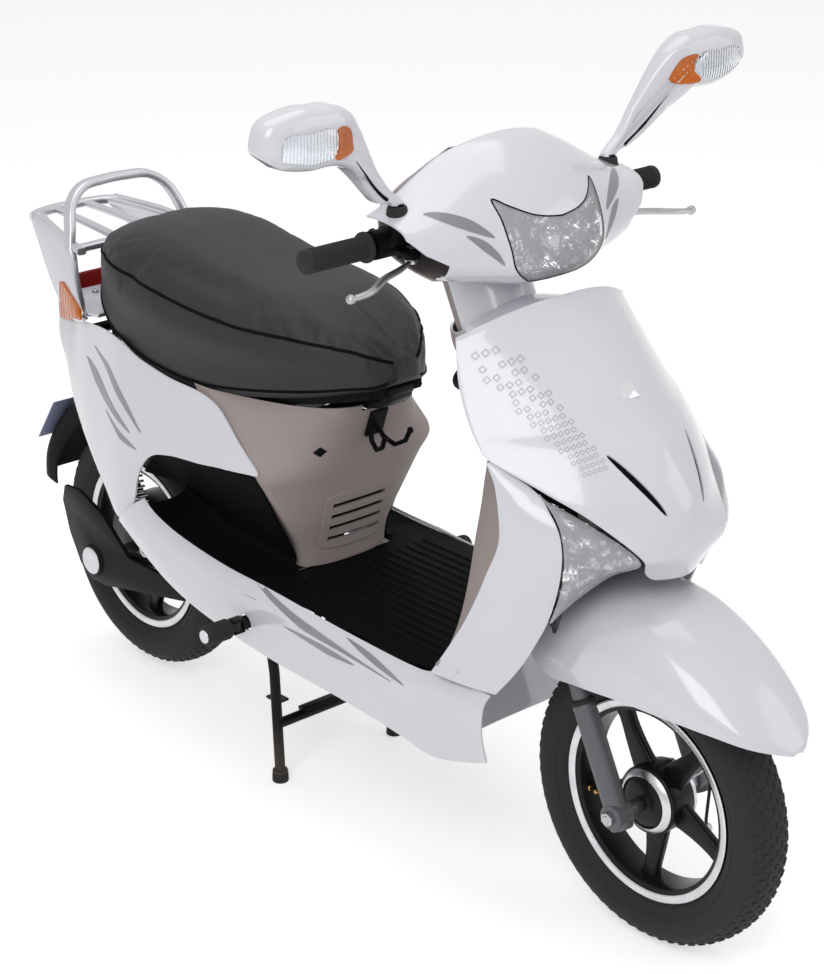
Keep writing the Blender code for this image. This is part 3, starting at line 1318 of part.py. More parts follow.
SEAT_STATIONS = [
    # ahead, half width, lower edge, top
    (-1.166, 0.080, 0.742, 0.796), (-1.140, 0.116, 0.713, 0.815), (-1.073, 0.150, 0.687, 0.827),
    (-0.995, 0.160, 0.646, 0.826), (-0.891, 0.162, 0.631, 0.811), (-0.802, 0.160, 0.6315, 0.798),
    (-0.720, 0.151, 0.643, 0.791), (-0.660, 0.134, 0.653, 0.786), (-0.610, 0.110, 0.662, 0.776),
    (-0.570, 0.082, 0.670, 0.762), (-0.540, 0.053, 0.6765, 0.744), (-0.523, 0.025, 0.690, 0.722)]
SEAT_SECTION = [
    # share of the half width, share of the height, one side from the bottom up to the crown
    (0.50, 0.000), (0.92, 0.000), (0.985, 0.080), (0.965, 0.300), (1.000, 0.520), (0.985, 0.720),
    (0.880, 0.880), (0.600, 0.970), (0.280, 1.000)]
SEAT_HINGE = front(-0.545, 0.6665)


def seat_ring(x, half, low, top):
    """One section of the seat cushion."""
    right = [front(x, low + (top - low) * v, -half * u) for u, v in SEAT_SECTION]
    return [front(x, low)] + right + [front(x, top)] + [aside(p, -p.y) for p in reversed(right)]


def build_seat():
    """Seat cushion and the stiff base under it, hinged at the front."""
    pivot("seat_pivot", SEAT_HINGE)
    cushion = loft([seat_ring(*station) for station in SEAT_STATIONS])
    around = [swollen(cushion, SHELL_GAP * 1.5)]
    part("seat_cushion", cushion, SEAT_BLACK, "seat_pivot", sharp=50)
    rings = []
    for x, half, low, _ in SEAT_STATIONS[2:11]:
        top = low - SHELL_GAP
        wide = half * 0.82
        rings.append([front(x, top, -wide), front(x, top, wide), front(x, top - SEAT_BASE, wide * 0.97),
                      front(x, top - SEAT_BASE, -wide * 0.97)])
    pan = loft(rings)
    knuckle_room = box(SEAT_HINGE + Vector((-0.014, -0.0265, -0.02)),
                       SEAT_HINGE + Vector((0.03, 0.0265, 0.02)))
    pin_hole = bore(aside(SEAT_HINGE, -0.05), aside(SEAT_HINGE, 0.05), HINGE_PIN)
    around.append(swollen(pan, SHELL_GAP * 1.5))
    pan = cut(pan, knuckle_room, pin_hole)
    fixed = copy_of(pan)
    part("seat_base", pan, BLACK, "seat_pivot")
    return fixed, around


SEAT_BASE = 0.013
HINGE_PIN = 0.0032


# Rear suspension

SHOCK_FOOT = front(-1.045, 0.285)
SHOCK_HEAD = front(-1.130, 0.555)
SHOCK_AXIS = (SHOCK_HEAD - SHOCK_FOOT).normalized()
SHOCK_LENGTH = (SHOCK_HEAD - SHOCK_FOOT).length
SPRING_LOW = 0.061
SPRING_HIGH = 0.163
EYE_GAP = 0.0012
EYE_PIN = 0.005
SHOCK_ROD = 0.0052
SWINGARM_PIVOT = rear(PIVOT_X, PIVOT_HEIGHT)


def coil(start, axis, length, radius, wire, curls, end_run):
    """One spring: a round wire in curls about an axis, its ends straight."""
    axis = axis.normalized()
    across = axis.orthogonal().normalized()
    other = axis.cross(across)
    count = curls * COIL_POINTS
    points = []
    for index in range(count + 1):
        angle = 2 * math.pi * index / COIL_POINTS
        up = end_run + (length - 2 * end_run) * index / count
        points.append(start + axis * up + (across * math.cos(angle) + other * math.sin(angle)) * radius)
    points = [points[0] - axis * end_run] + points + [points[-1] + axis * end_run]
    nearest = min(
        (points[1 + COIL_POINTS + shift] - points[1]).length for shift in range(-1, 2))
    print("least gap of the spring to itself, mm:", round((nearest - 2 * wire) * 1000, 3))
    return tube(points, wire)


COIL_POINTS = 8


def build_swingarm():
    """Swing arm with its drop-outs, shock pins and the right-hand cover, and the rear axle."""
    pivot("swingarm_pivot", SWINGARM_PIVOT)
    middle = SWINGARM_PIVOT
    pieces = [cone(aside(middle, -0.0575), aside(middle, 0.0575), 0.016)]
    for side in (-1, 1):
        pieces.append(tube([
            aside(middle, side * 0.044), front(-0.848, 0.272, side * 0.044),
            front(-0.890, 0.269, side * 0.072), front(-1.000, 0.262, side * 0.094),
            front(-1.162, 0.232, side * 0.097)], 0.011))
        pieces.append(cone(aside(REAR_AXLE, side * 0.090), aside(REAR_AXLE, side * 0.102), 0.022))
        pieces.append(cone(aside(SHOCK_FOOT, side * 0.085), aside(SHOCK_FOOT, side * 0.1185), EYE_PIN))
        pieces.append(cone(front(-1.045, 0.262, side * 0.094), aside(SHOCK_FOOT, side * 0.094), 0.008, sides=6))
    outline = [(-1.258, 0.340), (-1.218, 0.343), (-1.150, 0.318), (-1.080, 0.262), (-0.935, 0.262),
               (-0.930, 0.235), (-1.080, 0.205), (-1.150, 0.190), (-1.190, 0.190), (-1.222, 0.210),
               (-1.250, 0.259), (-1.266, 0.312)]
    pieces.append(side_plate([(front(x, 0).x, z) for x, z in outline], -0.1245, 0.007))
    pieces.append(cone(aside(REAR_AXLE, -0.116), aside(REAR_AXLE, -0.133), 0.030, 0.027, 14))
    pieces.append(cone(front(-1.000, 0.252, -0.094), front(-1.000, 0.247, -0.123), 0.009, sides=6))
    pieces.append(cone(front(-1.150, 0.234, -0.097), front(-1.150, 0.234, -0.123), 0.009, sides=6))
    body = join(pieces)
    bolt_bore = bore(aside(middle, -0.07), aside(middle, 0.07), PIVOT_BOLT)
    axle_bore = bore(aside(REAR_AXLE, -0.1145), aside(REAR_AXLE, 0.12), AXLE_RADIUS)
    nut_room = cone(aside(REAR_AXLE, -0.1021), aside(REAR_AXLE, -0.1145), 0.014)
    part("swingarm", cut(body, bolt_bore, axle_bore, nut_room), BLACK, "swingarm_pivot")

    shaft = [cone(aside(REAR_AXLE, -0.113), aside(REAR_AXLE, 0.116), AXLE_RADIUS, sides=8)]
    for side in (-1, 1):
        shaft.append(cone(aside(REAR_AXLE, side * (MOTOR_HALF_WIDTH + RUN_GAP)),
                          aside(REAR_AXLE, side * (0.090 - SEAT_GAP)), 0.0105, sides=8))
        shaft.append(cone(aside(REAR_AXLE, side * (0.102 + SEAT_GAP)), aside(REAR_AXLE, side * 0.110),
                          0.0115, sides=6))
    part("rear_axle", join(shaft), STEEL, "swingarm_pivot")


PIVOT_BOLT = 0.006


def along_shock(distance, side):
    """Point on a shock absorber's axis at a distance from its foot."""
    return aside(SHOCK_FOOT + SHOCK_AXIS * distance, side * SHOCK_SPAN)


def build_shock(name, side):
    """One shock absorber: upper body, lower body and spring."""
    head = aside(SHOCK_HEAD, side * SHOCK_SPAN)
    eye = cone(head - SIDE * 0.010, head + SIDE * 0.010, 0.012)
    upper = join([
        eye, cone(along_shock(SPRING_HIGH + SEAT_GAP, side), along_shock(SHOCK_LENGTH - 0.008, side), 0.019),
        cone(along_shock(0.098, side), along_shock(SPRING_HIGH + 0.006, side), 0.0135)])
    head_bore = bore(head - SIDE * 0.03, head + SIDE * 0.03, EYE_PIN)
    rod_bore = bore(along_shock(0.08, side), along_shock(0.150, side), SHOCK_ROD, RUN_GAP)
    part("shock_upper_" + name, cut(upper, head_bore, rod_bore), STEEL, "shock_upper_pivot")

    foot = aside(SHOCK_FOOT, side * SHOCK_SPAN)
    lower = join([
        cone(foot - SIDE * 0.0065, foot + SIDE * 0.0065, 0.012),
        cone(along_shock(0.008, side), along_shock(0.046, side), 0.0115),
        cone(along_shock(0.044, side), along_shock(SPRING_LOW - SEAT_GAP, side), 0.0225),
        cone(along_shock(0.050, side), along_shock(0.112, side), SHOCK_ROD)])
    foot_bore = bore(foot - SIDE * 0.03, foot + SIDE * 0.03, EYE_PIN, EYE_GAP)
    part("shock_lower_" + name, cut(lower, foot_bore), STEEL, "shock_slide_pivot")
    spring = coil(along_shock(SPRING_LOW, side), SHOCK_AXIS, SPRING_HIGH - SPRING_LOW,
                  SHOCK_COIL_RADIUS, SHOCK_WIRE, SHOCK_CURLS, 2 * SHOCK_WIRE)
    part("shock_spring_" + name, spring, CHROME, "shock_upper_pivot")


def build_shocks():
    """Both shock absorbers, on one pivot line at their heads."""
    pivot("shock_upper_pivot", SHOCK_HEAD)
    pivot("shock_slide_pivot", SHOCK_FOOT)
    for name, side in (("right", -1), ("left", 1)):
        build_shock(name, side)


MUDGUARD_CROWN = 0.003
MUDGUARD_ARC = [
    # angle from straight ahead over the top, radius, half width
    (58, 0.292, 0.058), (75, 0.292, 0.064), (95, 0.286, 0.066), (115, 0.276, 0.067),
    (135, 0.267, 0.067), (152, 0.263, 0.066), (164, REAR_OVERHANG / math.cos(math.radians(16)) - MUDGUARD_CROWN, 0.060)]
SKIRT_DEPTH = 0.045


def build_mudguard():
    """Black rear mudguard with side skirts, and the number plate on it."""
    rows = []
    for angle, radius, half in MUDGUARD_ARC:
        turn = math.radians(angle)
        out = Vector((math.cos(turn), 0.0, math.sin(turn)))
        row = []
        for y, drop in ((-half, SKIRT_DEPTH), (-half, 0.012), (-half * 0.75, 0.0), (0.0, -MUDGUARD_CROWN),
                        (half * 0.75, 0.0), (half, 0.012), (half, SKIRT_DEPTH)):
            row.append(REAR_AXLE + out * (radius - drop) + SIDE * y)
        rows.append(row)
    guard = shell(rows, SHELL, REAR_AXLE)
    high = front(-1.352, 0.452)
    low = front(-1.407, 0.374)
    along = (low - high).normalized()
    out = Vector((along.z, 0.0, -along.x))
    frame = Matrix((SIDE, along, SIDE.cross(along))).transposed().to_4x4()
    frame = Matrix.Translation((high + low) / 2) @ frame
    half = (low - high).length / 2
    number_plate = box((-0.080, -half, -0.001), (0.080, half, 0.001), bevel=0.0004)
    number_plate.data.transform(frame)
    middle = (high + low) / 2
    pads = []
    inward = out if out.dot(REAR_AXLE - middle) > 0 else -out
    for y in (-0.035, 0.035):
        foot = middle + SIDE * y + inward * (0.001 + SEAT_GAP)
        pads.append(cone(foot, foot + inward * 0.024, 0.006, sides=6))
    part("number_plate", number_plate, PLATE_BLUE)
    return join([guard] + pads)


# Stand and pegs

STAND_PIVOT = rear(STAND_X, STAND_HEIGHT)
STAND_LUG = 0.1035
STAND_LUG_WALL = 0.006
STAND_KNUCKLE = 0.012
SPRING_Y = 0.100
SPRING_TOP = STAND_PIVOT + Vector((-0.013, 0.0, -0.039))
SPRING_FOOT = STAND_PIVOT + Vector((-0.012, 0.0, -0.112))


def build_stand():
    """Centre stand with its two legs, and its return spring."""
    pivot("stand_pivot", STAND_PIVOT)
    pieces = []
    for side in (-1, 1):
        inner = STAND_LUG + STAND_LUG_WALL + RUN_GAP
        knuckle_end = inner + STAND_KNUCKLE
        leg_y = inner + STAND_LEG_RADIUS + 0.0004
        foot = rear(STAND_FOOT_X, 0.0, side * leg_y)
        pieces.append(cone(aside(STAND_PIVOT, side * inner), aside(STAND_PIVOT, side * knuckle_end), 0.014))
        pieces.append(tube([
            aside(STAND_PIVOT, side * leg_y), STAND_PIVOT + Vector((0.010, side * leg_y, -0.060)),
            foot + UP * 0.012], STAND_LEG_RADIUS))
        pieces.append(cone(foot, foot + UP * 0.020, STAND_FOOT_RADIUS))
    bar_height = 0.100
    bar = cone(rear(STAND_FOOT_X - 0.001, bar_height, -leg_y),
               rear(STAND_FOOT_X - 0.001, bar_height, leg_y), 0.0085)
    web = box(rear(STAND_FOOT_X - 0.013, bar_height + 0.004, -0.070),
              rear(STAND_FOOT_X + 0.005, bar_height + 0.010, 0.070))
    tab = box(aside(SPRING_FOOT, -leg_y + 0.006) + Vector((-0.009, 0.0, -0.0038)),
              aside(SPRING_FOOT, -SPRING_Y + 0.0075) + Vector((0.022, 0.0, -SEAT_GAP)))
    body = join(pieces + [bar, web, tab])
    hole = bore(aside(STAND_PIVOT, -0.15), aside(STAND_PIVOT, 0.15), STAND_PIN)
    part("center_stand", cut(body, hole), BLACK, "stand_pivot")
    top = aside(SPRING_TOP, -SPRING_Y)
    foot = aside(SPRING_FOOT, -SPRING_Y)
    spring = coil(foot, top - foot, (top - foot).length, STAND_COIL_RADIUS, STAND_WIRE, STAND_CURLS,
                  2 * STAND_WIRE)
    part("stand_spring", spring, CHROME, "stand_pivot")


STAND_PIN = 0.005
PEG_PIVOT_Y = 0.208
PEG_RADIUS = 0.016
PEG_START = 0.2215
PEG_END = 0.268
PEG_TONGUE = 0.007
PEG_PIN = 0.003


def build_peg(name, side):
    """Passenger's peg: rubber-covered cylinder that folds back on a vertical pin."""
    pin = aside(PEG_PLACE, side * PEG_PIVOT_Y)
    pivot(name + "_pivot", pin)
    pieces = [
        cone(aside(PEG_PLACE, side * PEG_START), aside(PEG_PLACE, side * PEG_END), PEG_RADIUS, sides=12),
        cone(pin - UP * PEG_TONGUE, pin + UP * PEG_TONGUE, 0.0085),
        box(PEG_PLACE + Vector((-0.007, min(side * PEG_PIVOT_Y, side * (PEG_START + 0.003)), -PEG_TONGUE)),
            PEG_PLACE + Vector((0.007, max(side * PEG_PIVOT_Y, side * (PEG_START + 0.003)), PEG_TONGUE)))]
    hole = bore(pin - UP * 0.02, pin + UP * 0.02, PEG_PIN)
    part(name, cut(join(pieces), hole), RUBBER, name + "_pivot")


# Frame

BATTERY = (front(-0.618, 0.262, -0.092), front(-0.318, 0.346, 0.092))
HOOK_PLATE = 0.005
HOOK_HEIGHTS = (0.584, 0.626)


def build_frame(shells, seat_base, carrier):
    """Main frame: head tube, down tube, floor rails, seat hoop, rear rails and all brackets."""
    pieces = [cone(steer(HEAD_LOW), steer(HEAD_HIGH), HEAD_TUBE_RADIUS, sides=12)]
    pieces.append(tube([steer(0.47), front(-0.243, 0.450), front(-0.261, 0.385),
                        front(-0.264, 0.350), front(-0.297, 0.300)], DOWN_TUBE_RADIUS, resolution=2))
    rail = [front(-0.297, RAIL_HEIGHT + 0.003, RAIL_SPAN), front(-0.680, RAIL_HEIGHT, RAIL_SPAN),
            front(-0.745, RAIL_HEIGHT + 0.003, 0.080), front(-0.785, RAIL_HEIGHT + 0.018, REAR_RAIL_SPAN),
            front(-0.840, 0.420, REAR_RAIL_SPAN), front(-0.885, 0.528, REAR_RAIL_SPAN),
            front(-0.940, 0.564, REAR_RAIL_SPAN), front(-1.270, 0.600, REAR_RAIL_SPAN)]
    pieces.append(tube([aside(point, -point.y) for point in reversed(rail)] + rail, RAIL_RADIUS))
    hoop = [front(-0.625, 0.630, 0.034), front(-0.700, 0.596, 0.056), front(-0.852, 0.445, 0.062)]
    pieces.append(tube([aside(point, -point.y) for point in reversed(hoop)] + hoop, 0.009))
    for side in (-1, 1):
        plate_outline = [(-0.700, 0.300), (-0.795, 0.400), (-0.830, 0.400), (-0.828, 0.262),
                         (-0.800, 0.252), (-0.700, 0.282)]
        pieces.append(side_plate([(front(x, 0).x, z) for x, z in plate_outline], side * 0.0615, 0.006))
        stand_lug_y = side * (STAND_LUG + STAND_LUG_WALL / 2)
        lug = [(STAND_PIVOT.x - 0.022, 0.232), (STAND_PIVOT.x + 0.014, 0.232), (STAND_PIVOT.x + 0.022, 0.292),
               (STAND_PIVOT.x - 0.022, 0.292)]
        pieces.append(side_plate(lug, stand_lug_y, STAND_LUG_WALL))
        pieces.append(cone(aside(STAND_PIVOT, side * (STAND_LUG + 0.002)),
                           aside(STAND_PIVOT, side * (STAND_LUG + STAND_LUG_WALL + STAND_KNUCKLE + 0.003)),
                           STAND_PIN))
        pieces.append(cone(aside(PEG_PLACE, side * (RAIL_SPAN - 0.006)), aside(PEG_PLACE, side * 0.1990),
                           0.0110))
        pin = aside(PEG_PLACE, side * PEG_PIVOT_Y)
        ear_y = sorted((side * 0.1965, side * (PEG_PIVOT_Y + 0.008)))
        for level in (-1, 1):
            ear_z = sorted((level * (PEG_TONGUE + RUN_GAP), level * (PEG_TONGUE + RUN_GAP + 0.0035)))
            pieces.append(box(PEG_PLACE + Vector((-0.0085, ear_y[0], ear_z[0])),
                              PEG_PLACE + Vector((0.0085, ear_y[1], ear_z[1]))))
        pieces.append(cone(pin - UP * 0.0105, pin + UP * 0.0105, PEG_PIN))
        bracket_y = sorted((side * 0.074, side * 0.091))
        pieces.append(box(front(-1.142, 0.545, bracket_y[0]), front(-1.118, 0.592, bracket_y[1])))
        pieces.append(cone(aside(SHOCK_HEAD, side * 0.0875), aside(SHOCK_HEAD, side * (SHOCK_SPAN + 0.0145)),
                           EYE_PIN))
    anchor = [aside(SPRING_TOP, -STAND_LUG - 0.002) + UP * 0.031, aside(SPRING_TOP, -SPRING_Y) + UP * 0.016,
              aside(SPRING_TOP, -SPRING_Y) + UP * SEAT_GAP]
    pieces.append(tube(anchor, 0.0035))
    for x, z, half in ((-1.040, 0.581, REAR_RAIL_SPAN), (-1.262, 0.599, REAR_RAIL_SPAN)):
        pieces.append(cone(front(x, z, -half), front(x, z, half), 0.010, sides=6))
    pieces.append(cone(aside(SWINGARM_PIVOT, -0.068), aside(SWINGARM_PIVOT, 0.068), PIVOT_BOLT))
    strap_top = BATTERY[0].z - SEAT_GAP
    strap = [(-0.109, strap_top - 0.004), (0.109, strap_top - 0.004), (0.109, RAIL_HEIGHT),
             (0.100, RAIL_HEIGHT), (0.100, strap_top), (-0.100, strap_top), (-0.100, RAIL_HEIGHT),
             (-0.109, RAIL_HEIGHT)]
    for x in (-0.400, -0.560):
        across = Matrix(((0, 0, 1, front(x, 0.0).x), (1, 0, 0, 0), (0, 1, 0, 0), (0, 0, 0, 1)))
        pieces.append(plate(strap, 0.024, across))
    bracket = [(SEAT_HINGE.x + 0.004, SEAT_HINGE.z - 0.012), (SEAT_HINGE.x + 0.004, SEAT_HINGE.z),
               (SEAT_HINGE.x - 0.006, SEAT_HINGE.z), (front(-0.560, 0).x, 0.651), (front(-0.622, 0).x, 0.641),
               (front(-0.622, 0).x, 0.627), (front(-0.556, 0).x, 0.640)]
    pieces.append(side_plate(bracket, 0.0, 0.050))
    pieces.append(cone(aside(SEAT_HINGE, -0.0255), aside(SEAT_HINGE, 0.0255), 0.0085))
    pieces.append(cone(aside(SEAT_HINGE, -0.046), aside(SEAT_HINGE, 0.046), HINGE_PIN))
    pieces += mounting_bosses(shells, seat_base, carrier)
    body = join(pieces)
    steerer = bore(steer(HEAD_LOW - 0.03), steer(HEAD_HIGH + 0.03), STEM_RADIUS, RUN_GAP, 12)
    part("main_frame", cut(body, steerer), BLACK)


def mounting_bosses(shells, seat_base, carrier):
    """Bosses from the frame to each shell that it carries, each as long as its gap."""
    bosses = []
    bosses.append(cone(steer(0.540, 0.0, -0.047), steer(0.540, 0.0, 0.047), 0.008, sides=6))
    for y in (-0.040, 0.040):
        bosses.append(boss(shells["front_apron"], steer(0.540, 0.0, y), Vector((1.0, 0.0, 0.3))))
        bosses.append(boss(shells["leg_shield"], steer(0.540, 0.0, y), Vector((-1.0, 0.0, 0.2))))
    bosses.append(boss(shells["lower_shield"], front(-0.262, 0.38), AHEAD))
    for side in (-1, 1):
        for x in (-0.350, -0.600):
            bosses.append(boss(shells["footboard"], front(x, 0.300, side * RAIL_SPAN), UP, 0.007))
        bosses.append(boss(shells["sill_" + ("left" if side > 0 else "right")],
                           front(-0.480, RAIL_HEIGHT, side * RAIL_SPAN), SIDE * side, 0.007))
        bosses.append(boss(shells["kick_panel"], front(-0.636, 0.621, side * 0.041), AHEAD, 0.004))
        panel = shells["rear_panel_" + ("left" if side > 0 else "right")]
        for x, z in ((-0.935, 0.562), (-1.200, 0.594)):
            bosses.append(boss(panel, front(x, z, side * REAR_RAIL_SPAN), SIDE * side, 0.006))
        bosses.append(boss(carrier, front(-1.170, 0.592, side * REAR_RAIL_SPAN), UP, 0.007))
    bosses.append(boss(shells["rear_mudguard"], front(-1.040, 0.579), -UP, 0.006))
    bosses.append(boss(shells["rear_mudguard"], front(-1.262, 0.597), -UP, 0.006))
    bosses.append(boss(shells["tail_lamp"], front(-1.262, 0.602, 0.012), Vector((-0.75, 0.0, 0.66)), 0.005))
    bosses.append(boss(seat_base, front(-1.040, 0.584), UP, 0.009))
    return bosses


def build_battery():
    """Battery pack between the floor rails."""
    part("battery_pack", box(BATTERY[0], BATTERY[1], bevel=0.006), BLACK)


def build_hook(kick_panel):
    """Bag hook: a plate on the slope of the kick panel with two prongs."""
    marks = []
    for height in HOOK_HEIGHTS:
        start = front(-0.50, height, 0.010)
        marks.append(start - AHEAD * (reach(kick_panel, start, -AHEAD, 0.0005) + SEAT_GAP))
    along = (marks[1] - marks[0]).normalized()
    out = Vector((along.z, 0.0, -along.x))
    frame = Matrix((out, SIDE, along)).transposed().to_4x4()
    centre = aside((marks[0] + marks[1]) / 2, 0.0) + out * (HOOK_PLATE / 2 + SHELL_GAP)
    place = Matrix.Translation(centre) @ frame
    half = (marks[1] - marks[0]).length / 2
    base = box((-HOOK_PLATE / 2, -0.016, -half), (HOOK_PLATE / 2, 0.016, half))
    base.data.transform(place)
    pieces = [base]
    for side in (-1, 1):
        points = [(0.0, 0.008, -0.012), (0.012, 0.012, -0.024), (0.032, 0.018, -0.026),
                  (0.046, 0.023, -0.010), (0.048, 0.025, 0.010)]
        path = [place @ Vector((ahead, side * y, up)) for ahead, y, up in points]
        pieces.append(tube(path, 0.004))
        pieces.append(ball(path[-1], 0.0055, 6, 4))
    return join(pieces)


def main():
    """Build every piece and name it."""
    start_scene()
    build_front_wheel()
    build_rear_wheel()
    build_fork()
    build_front_brake()
    build_fender()
    front_cowl, rear_cowl, lens, panel = build_cowls()
    build_handlebar(front_cowl, rear_cowl)
    build_neck()
    part("front_cowl", front_cowl, WHITE, "steering_pivot")
    part("rear_cowl", rear_cowl, BEIGE, "steering_pivot")
    part("headlight_lens", lens, CLEAR, "steering_pivot")
    part("instrument_panel", panel, BLACK, "steering_pivot")
    pivot("throttle_pivot", bar_point(-1, CONTROL_START + CONTROL_WIDTH))
    for name, side in (("right", -1), ("left", 1)):
        build_control("control_" + name, side)
        build_lever("brake_lever_" + name, side)
        build_mirror("mirror_" + name, side)
        build_peg("peg_" + name, side)
    build_grip("throttle_grip", -1, "throttle_pivot")
    build_grip("left_grip", 1, "steering_pivot")
    build_horn_button()
    shells = {
        "front_apron": build_apron(),
        "leg_shield": build_leg_shield(),
        "lower_shield": build_lower_shield(),
        "footboard": build_footboard(),
        "kick_panel": build_kick_panel(),
        "tail_lamp": build_tail_lamp(),
        "rear_mudguard": build_mudguard(),
    }
    for name, side in (("right", -1), ("left", 1)):
        shells["sill_" + name] = build_sill(side)
        shells["rear_panel_" + name] = build_rear_panel(side)
        part("indicator_lens_" + name, build_lens(side), CLEAR)
    carrier = build_carrier()
    seat_base, around_seat = build_seat()
    shells["kick_panel"] = cut(shells["kick_panel"], *around_seat)
    build_frame(shells, seat_base, carrier)
    hook = build_hook(shells["kick_panel"])
    finishes = {
        "front_apron": WHITE, "leg_shield": BEIGE, "lower_shield": WHITE, "footboard": BLACK,
        "kick_panel": BEIGE, "tail_lamp": AMBER, "rear_mudguard": BLACK, "sill_right": WHITE,
        "sill_left": WHITE, "rear_panel_right": WHITE, "rear_panel_left": WHITE}
    for name, shape in shells.items():
        part(name, shape, finishes[name])
    part("carrier", carrier, CAST_SILVER)
    part("bag_hook", hook, BLACK)
    build_battery()
    build_ignition_lock()
    build_swingarm()
    build_shocks()
    build_stand()
    for leftover in list(CUTTERS.objects):
        bpy.data.objects.remove(leftover, do_unlink=True)


main()
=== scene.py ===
"""Visual model of a moped-style electric scooter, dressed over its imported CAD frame.

Metres, +X forward, +Y to the rider's left, +Z up. Shapes are given from the front axle's plane.
"""

import json
import logging
import math
from collections.abc import Sequence
from dataclasses import dataclass, field
from enum import Enum
from functools import cache

import bmesh
import bpy
import numpy as np
from mathutils import Matrix, Vector
from mathutils.bvhtree import BVHTree


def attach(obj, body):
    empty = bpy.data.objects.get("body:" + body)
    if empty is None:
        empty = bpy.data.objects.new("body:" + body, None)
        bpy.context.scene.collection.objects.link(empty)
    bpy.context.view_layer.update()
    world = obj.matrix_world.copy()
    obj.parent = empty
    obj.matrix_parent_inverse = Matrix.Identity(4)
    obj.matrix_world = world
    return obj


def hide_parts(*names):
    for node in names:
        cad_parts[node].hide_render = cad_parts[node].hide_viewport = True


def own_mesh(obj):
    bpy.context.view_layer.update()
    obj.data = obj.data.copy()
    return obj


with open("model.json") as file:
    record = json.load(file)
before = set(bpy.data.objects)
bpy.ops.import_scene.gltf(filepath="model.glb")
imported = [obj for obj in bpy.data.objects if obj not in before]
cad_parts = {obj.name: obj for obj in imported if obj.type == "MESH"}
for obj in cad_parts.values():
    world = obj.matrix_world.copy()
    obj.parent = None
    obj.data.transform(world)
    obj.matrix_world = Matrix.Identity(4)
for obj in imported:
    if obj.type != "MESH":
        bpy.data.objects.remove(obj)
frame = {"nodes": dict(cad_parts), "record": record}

Piece = bpy.types.Object
Tree = bpy.types.NodeTree
LOG = logging.getLogger("scooter")
FRONT_AXLE_X = 0.598
REAR_AXLE_X = -0.584
RAKE = math.radians(26.0)
FORK_OFFSET = 0.028
FORK_TRACK = 0.082
STEER_UP = Vector((-math.sin(RAKE), 0.0, math.cos(RAKE)))
STEER_AHEAD = Vector((math.cos(RAKE), 0.0, math.sin(RAKE)))
SIDE = Vector((0.0, 1.0, 0.0))
UP = Vector((0.0, 0.0, 1.0))
AHEAD = Vector((1.0, 0.0, 0.0))
FRONT_AXLE = Vector((FRONT_AXLE_X, 0.0, 0.216))
REAR_AXLE = Vector((REAR_AXLE_X, 0.0, 0.227))
WALL = 0.003
SHEET = 0.0003
FAR = 2.0
SIDES = (("right", -1), ("left", 1))
BODY_OF = {node: body for body, nodes in frame["record"]["behaviour"]["bodies"].items() for node in nodes}


def mm(*rows: object) -> tuple:
    """Nested rows of millimetres, in metres."""
    return tuple(mm(*row) if isinstance(row, tuple) else round(row / 1000.0, 7) for row in rows)


def front(x: float, z: float, y: float = 0.0) -> Vector:
    """A point given from the front axle's plane."""
    return Vector((FRONT_AXLE_X + x, y, z))


def steer(up: float, ahead: float = 0.0, side: float = 0.0) -> Vector:
    """A point on the steering: up its axis from the front axle's level, ahead of it and aside."""
    return FRONT_AXLE + STEER_UP * up + STEER_AHEAD * (ahead - FORK_OFFSET) + SIDE * side


PEG = front(-0.683, 0.302)
MIRROR_FOOT = front(-0.318, 1.0)


def rectangle(low_a: float, high_a: float, low_b: float, high_b: float) -> list:
    """Corners of a rectangle, anticlockwise from its lowest one."""
    return [(low_a, low_b), (high_a, low_b), (high_a, high_b), (low_a, high_b)]


UNIT_SQUARE = rectangle(-0.5, 0.5, -0.5, 0.5)


def aside(point: Vector, y: float) -> Vector:
    """The same point moved to the side y."""
    return Vector((point.x, y, point.z))


# Curves and grids

def spread(points: np.ndarray) -> np.ndarray:
    """Knots of a smooth curve through rows of points.

    Args:
        points: Rows of points, the first axis running along the curve.
    Returns:
        One rising value per row.
    """
    steps = np.linalg.norm(np.diff(points, axis=0), axis=-1)
    while steps.ndim > 1:
        steps = steps.mean(axis=-1)
    return np.concatenate(([0.0], np.cumsum(np.sqrt(np.maximum(steps, 1e-8)))))


def smooth(points: object, spans: int, loop: bool = False) -> np.ndarray:
    """A smooth curve, or a family of them, through rows of points.

    Args:
        points: Rows of points of any inner shape.
        spans: Steps between two rows.
        loop: Whether the last row runs on to the first.
    Returns:
        The refined rows.
    """
    p = np.asarray(points, float)
    if loop:
        p = np.concatenate((p[-2:], p, p[:3]))
    t = spread(p)
    shape = (-1,) + (1,) * (p.ndim - 1)
    h = np.diff(t).reshape(shape)
    d = np.diff(p, axis=0) / h
    m = np.zeros_like(p)
    m[1:-1] = (d[:-1] * h[1:] + d[1:] * h[:-1]) / (h[:-1] + h[1:])
    m[0] = 1.5 * d[0] - 0.5 * m[1]
    m[-1] = 1.5 * d[-1] - 0.5 * m[-2]
    u = (np.arange(spans) / spans).reshape((1, -1) + (1,) * (p.ndim - 1))
    a, b, ma, mb, w = p[:-1, None], p[1:, None], m[:-1, None], m[1:, None], h[:, None]
    rows = ((2 * u**3 - 3 * u**2 + 1) * a + (u**3 - 2 * u**2 + u) * w * ma
            + (3 * u**2 - 2 * u**3) * b + (u**3 - u**2) * w * mb)
    rows = rows.reshape((-1,) + p.shape[1:])
    if loop:
        return rows[2 * spans:-3 * spans + 1][:-1]
    return np.concatenate((rows, p[-1:]))


def smooth_grid(rows: object, spans: int) -> np.ndarray:
    """Rows of points refined both ways."""
    grid = smooth(np.array(rows), spans)
    return np.swapaxes(smooth(np.swapaxes(grid, 0, 1), spans), 0, 1)


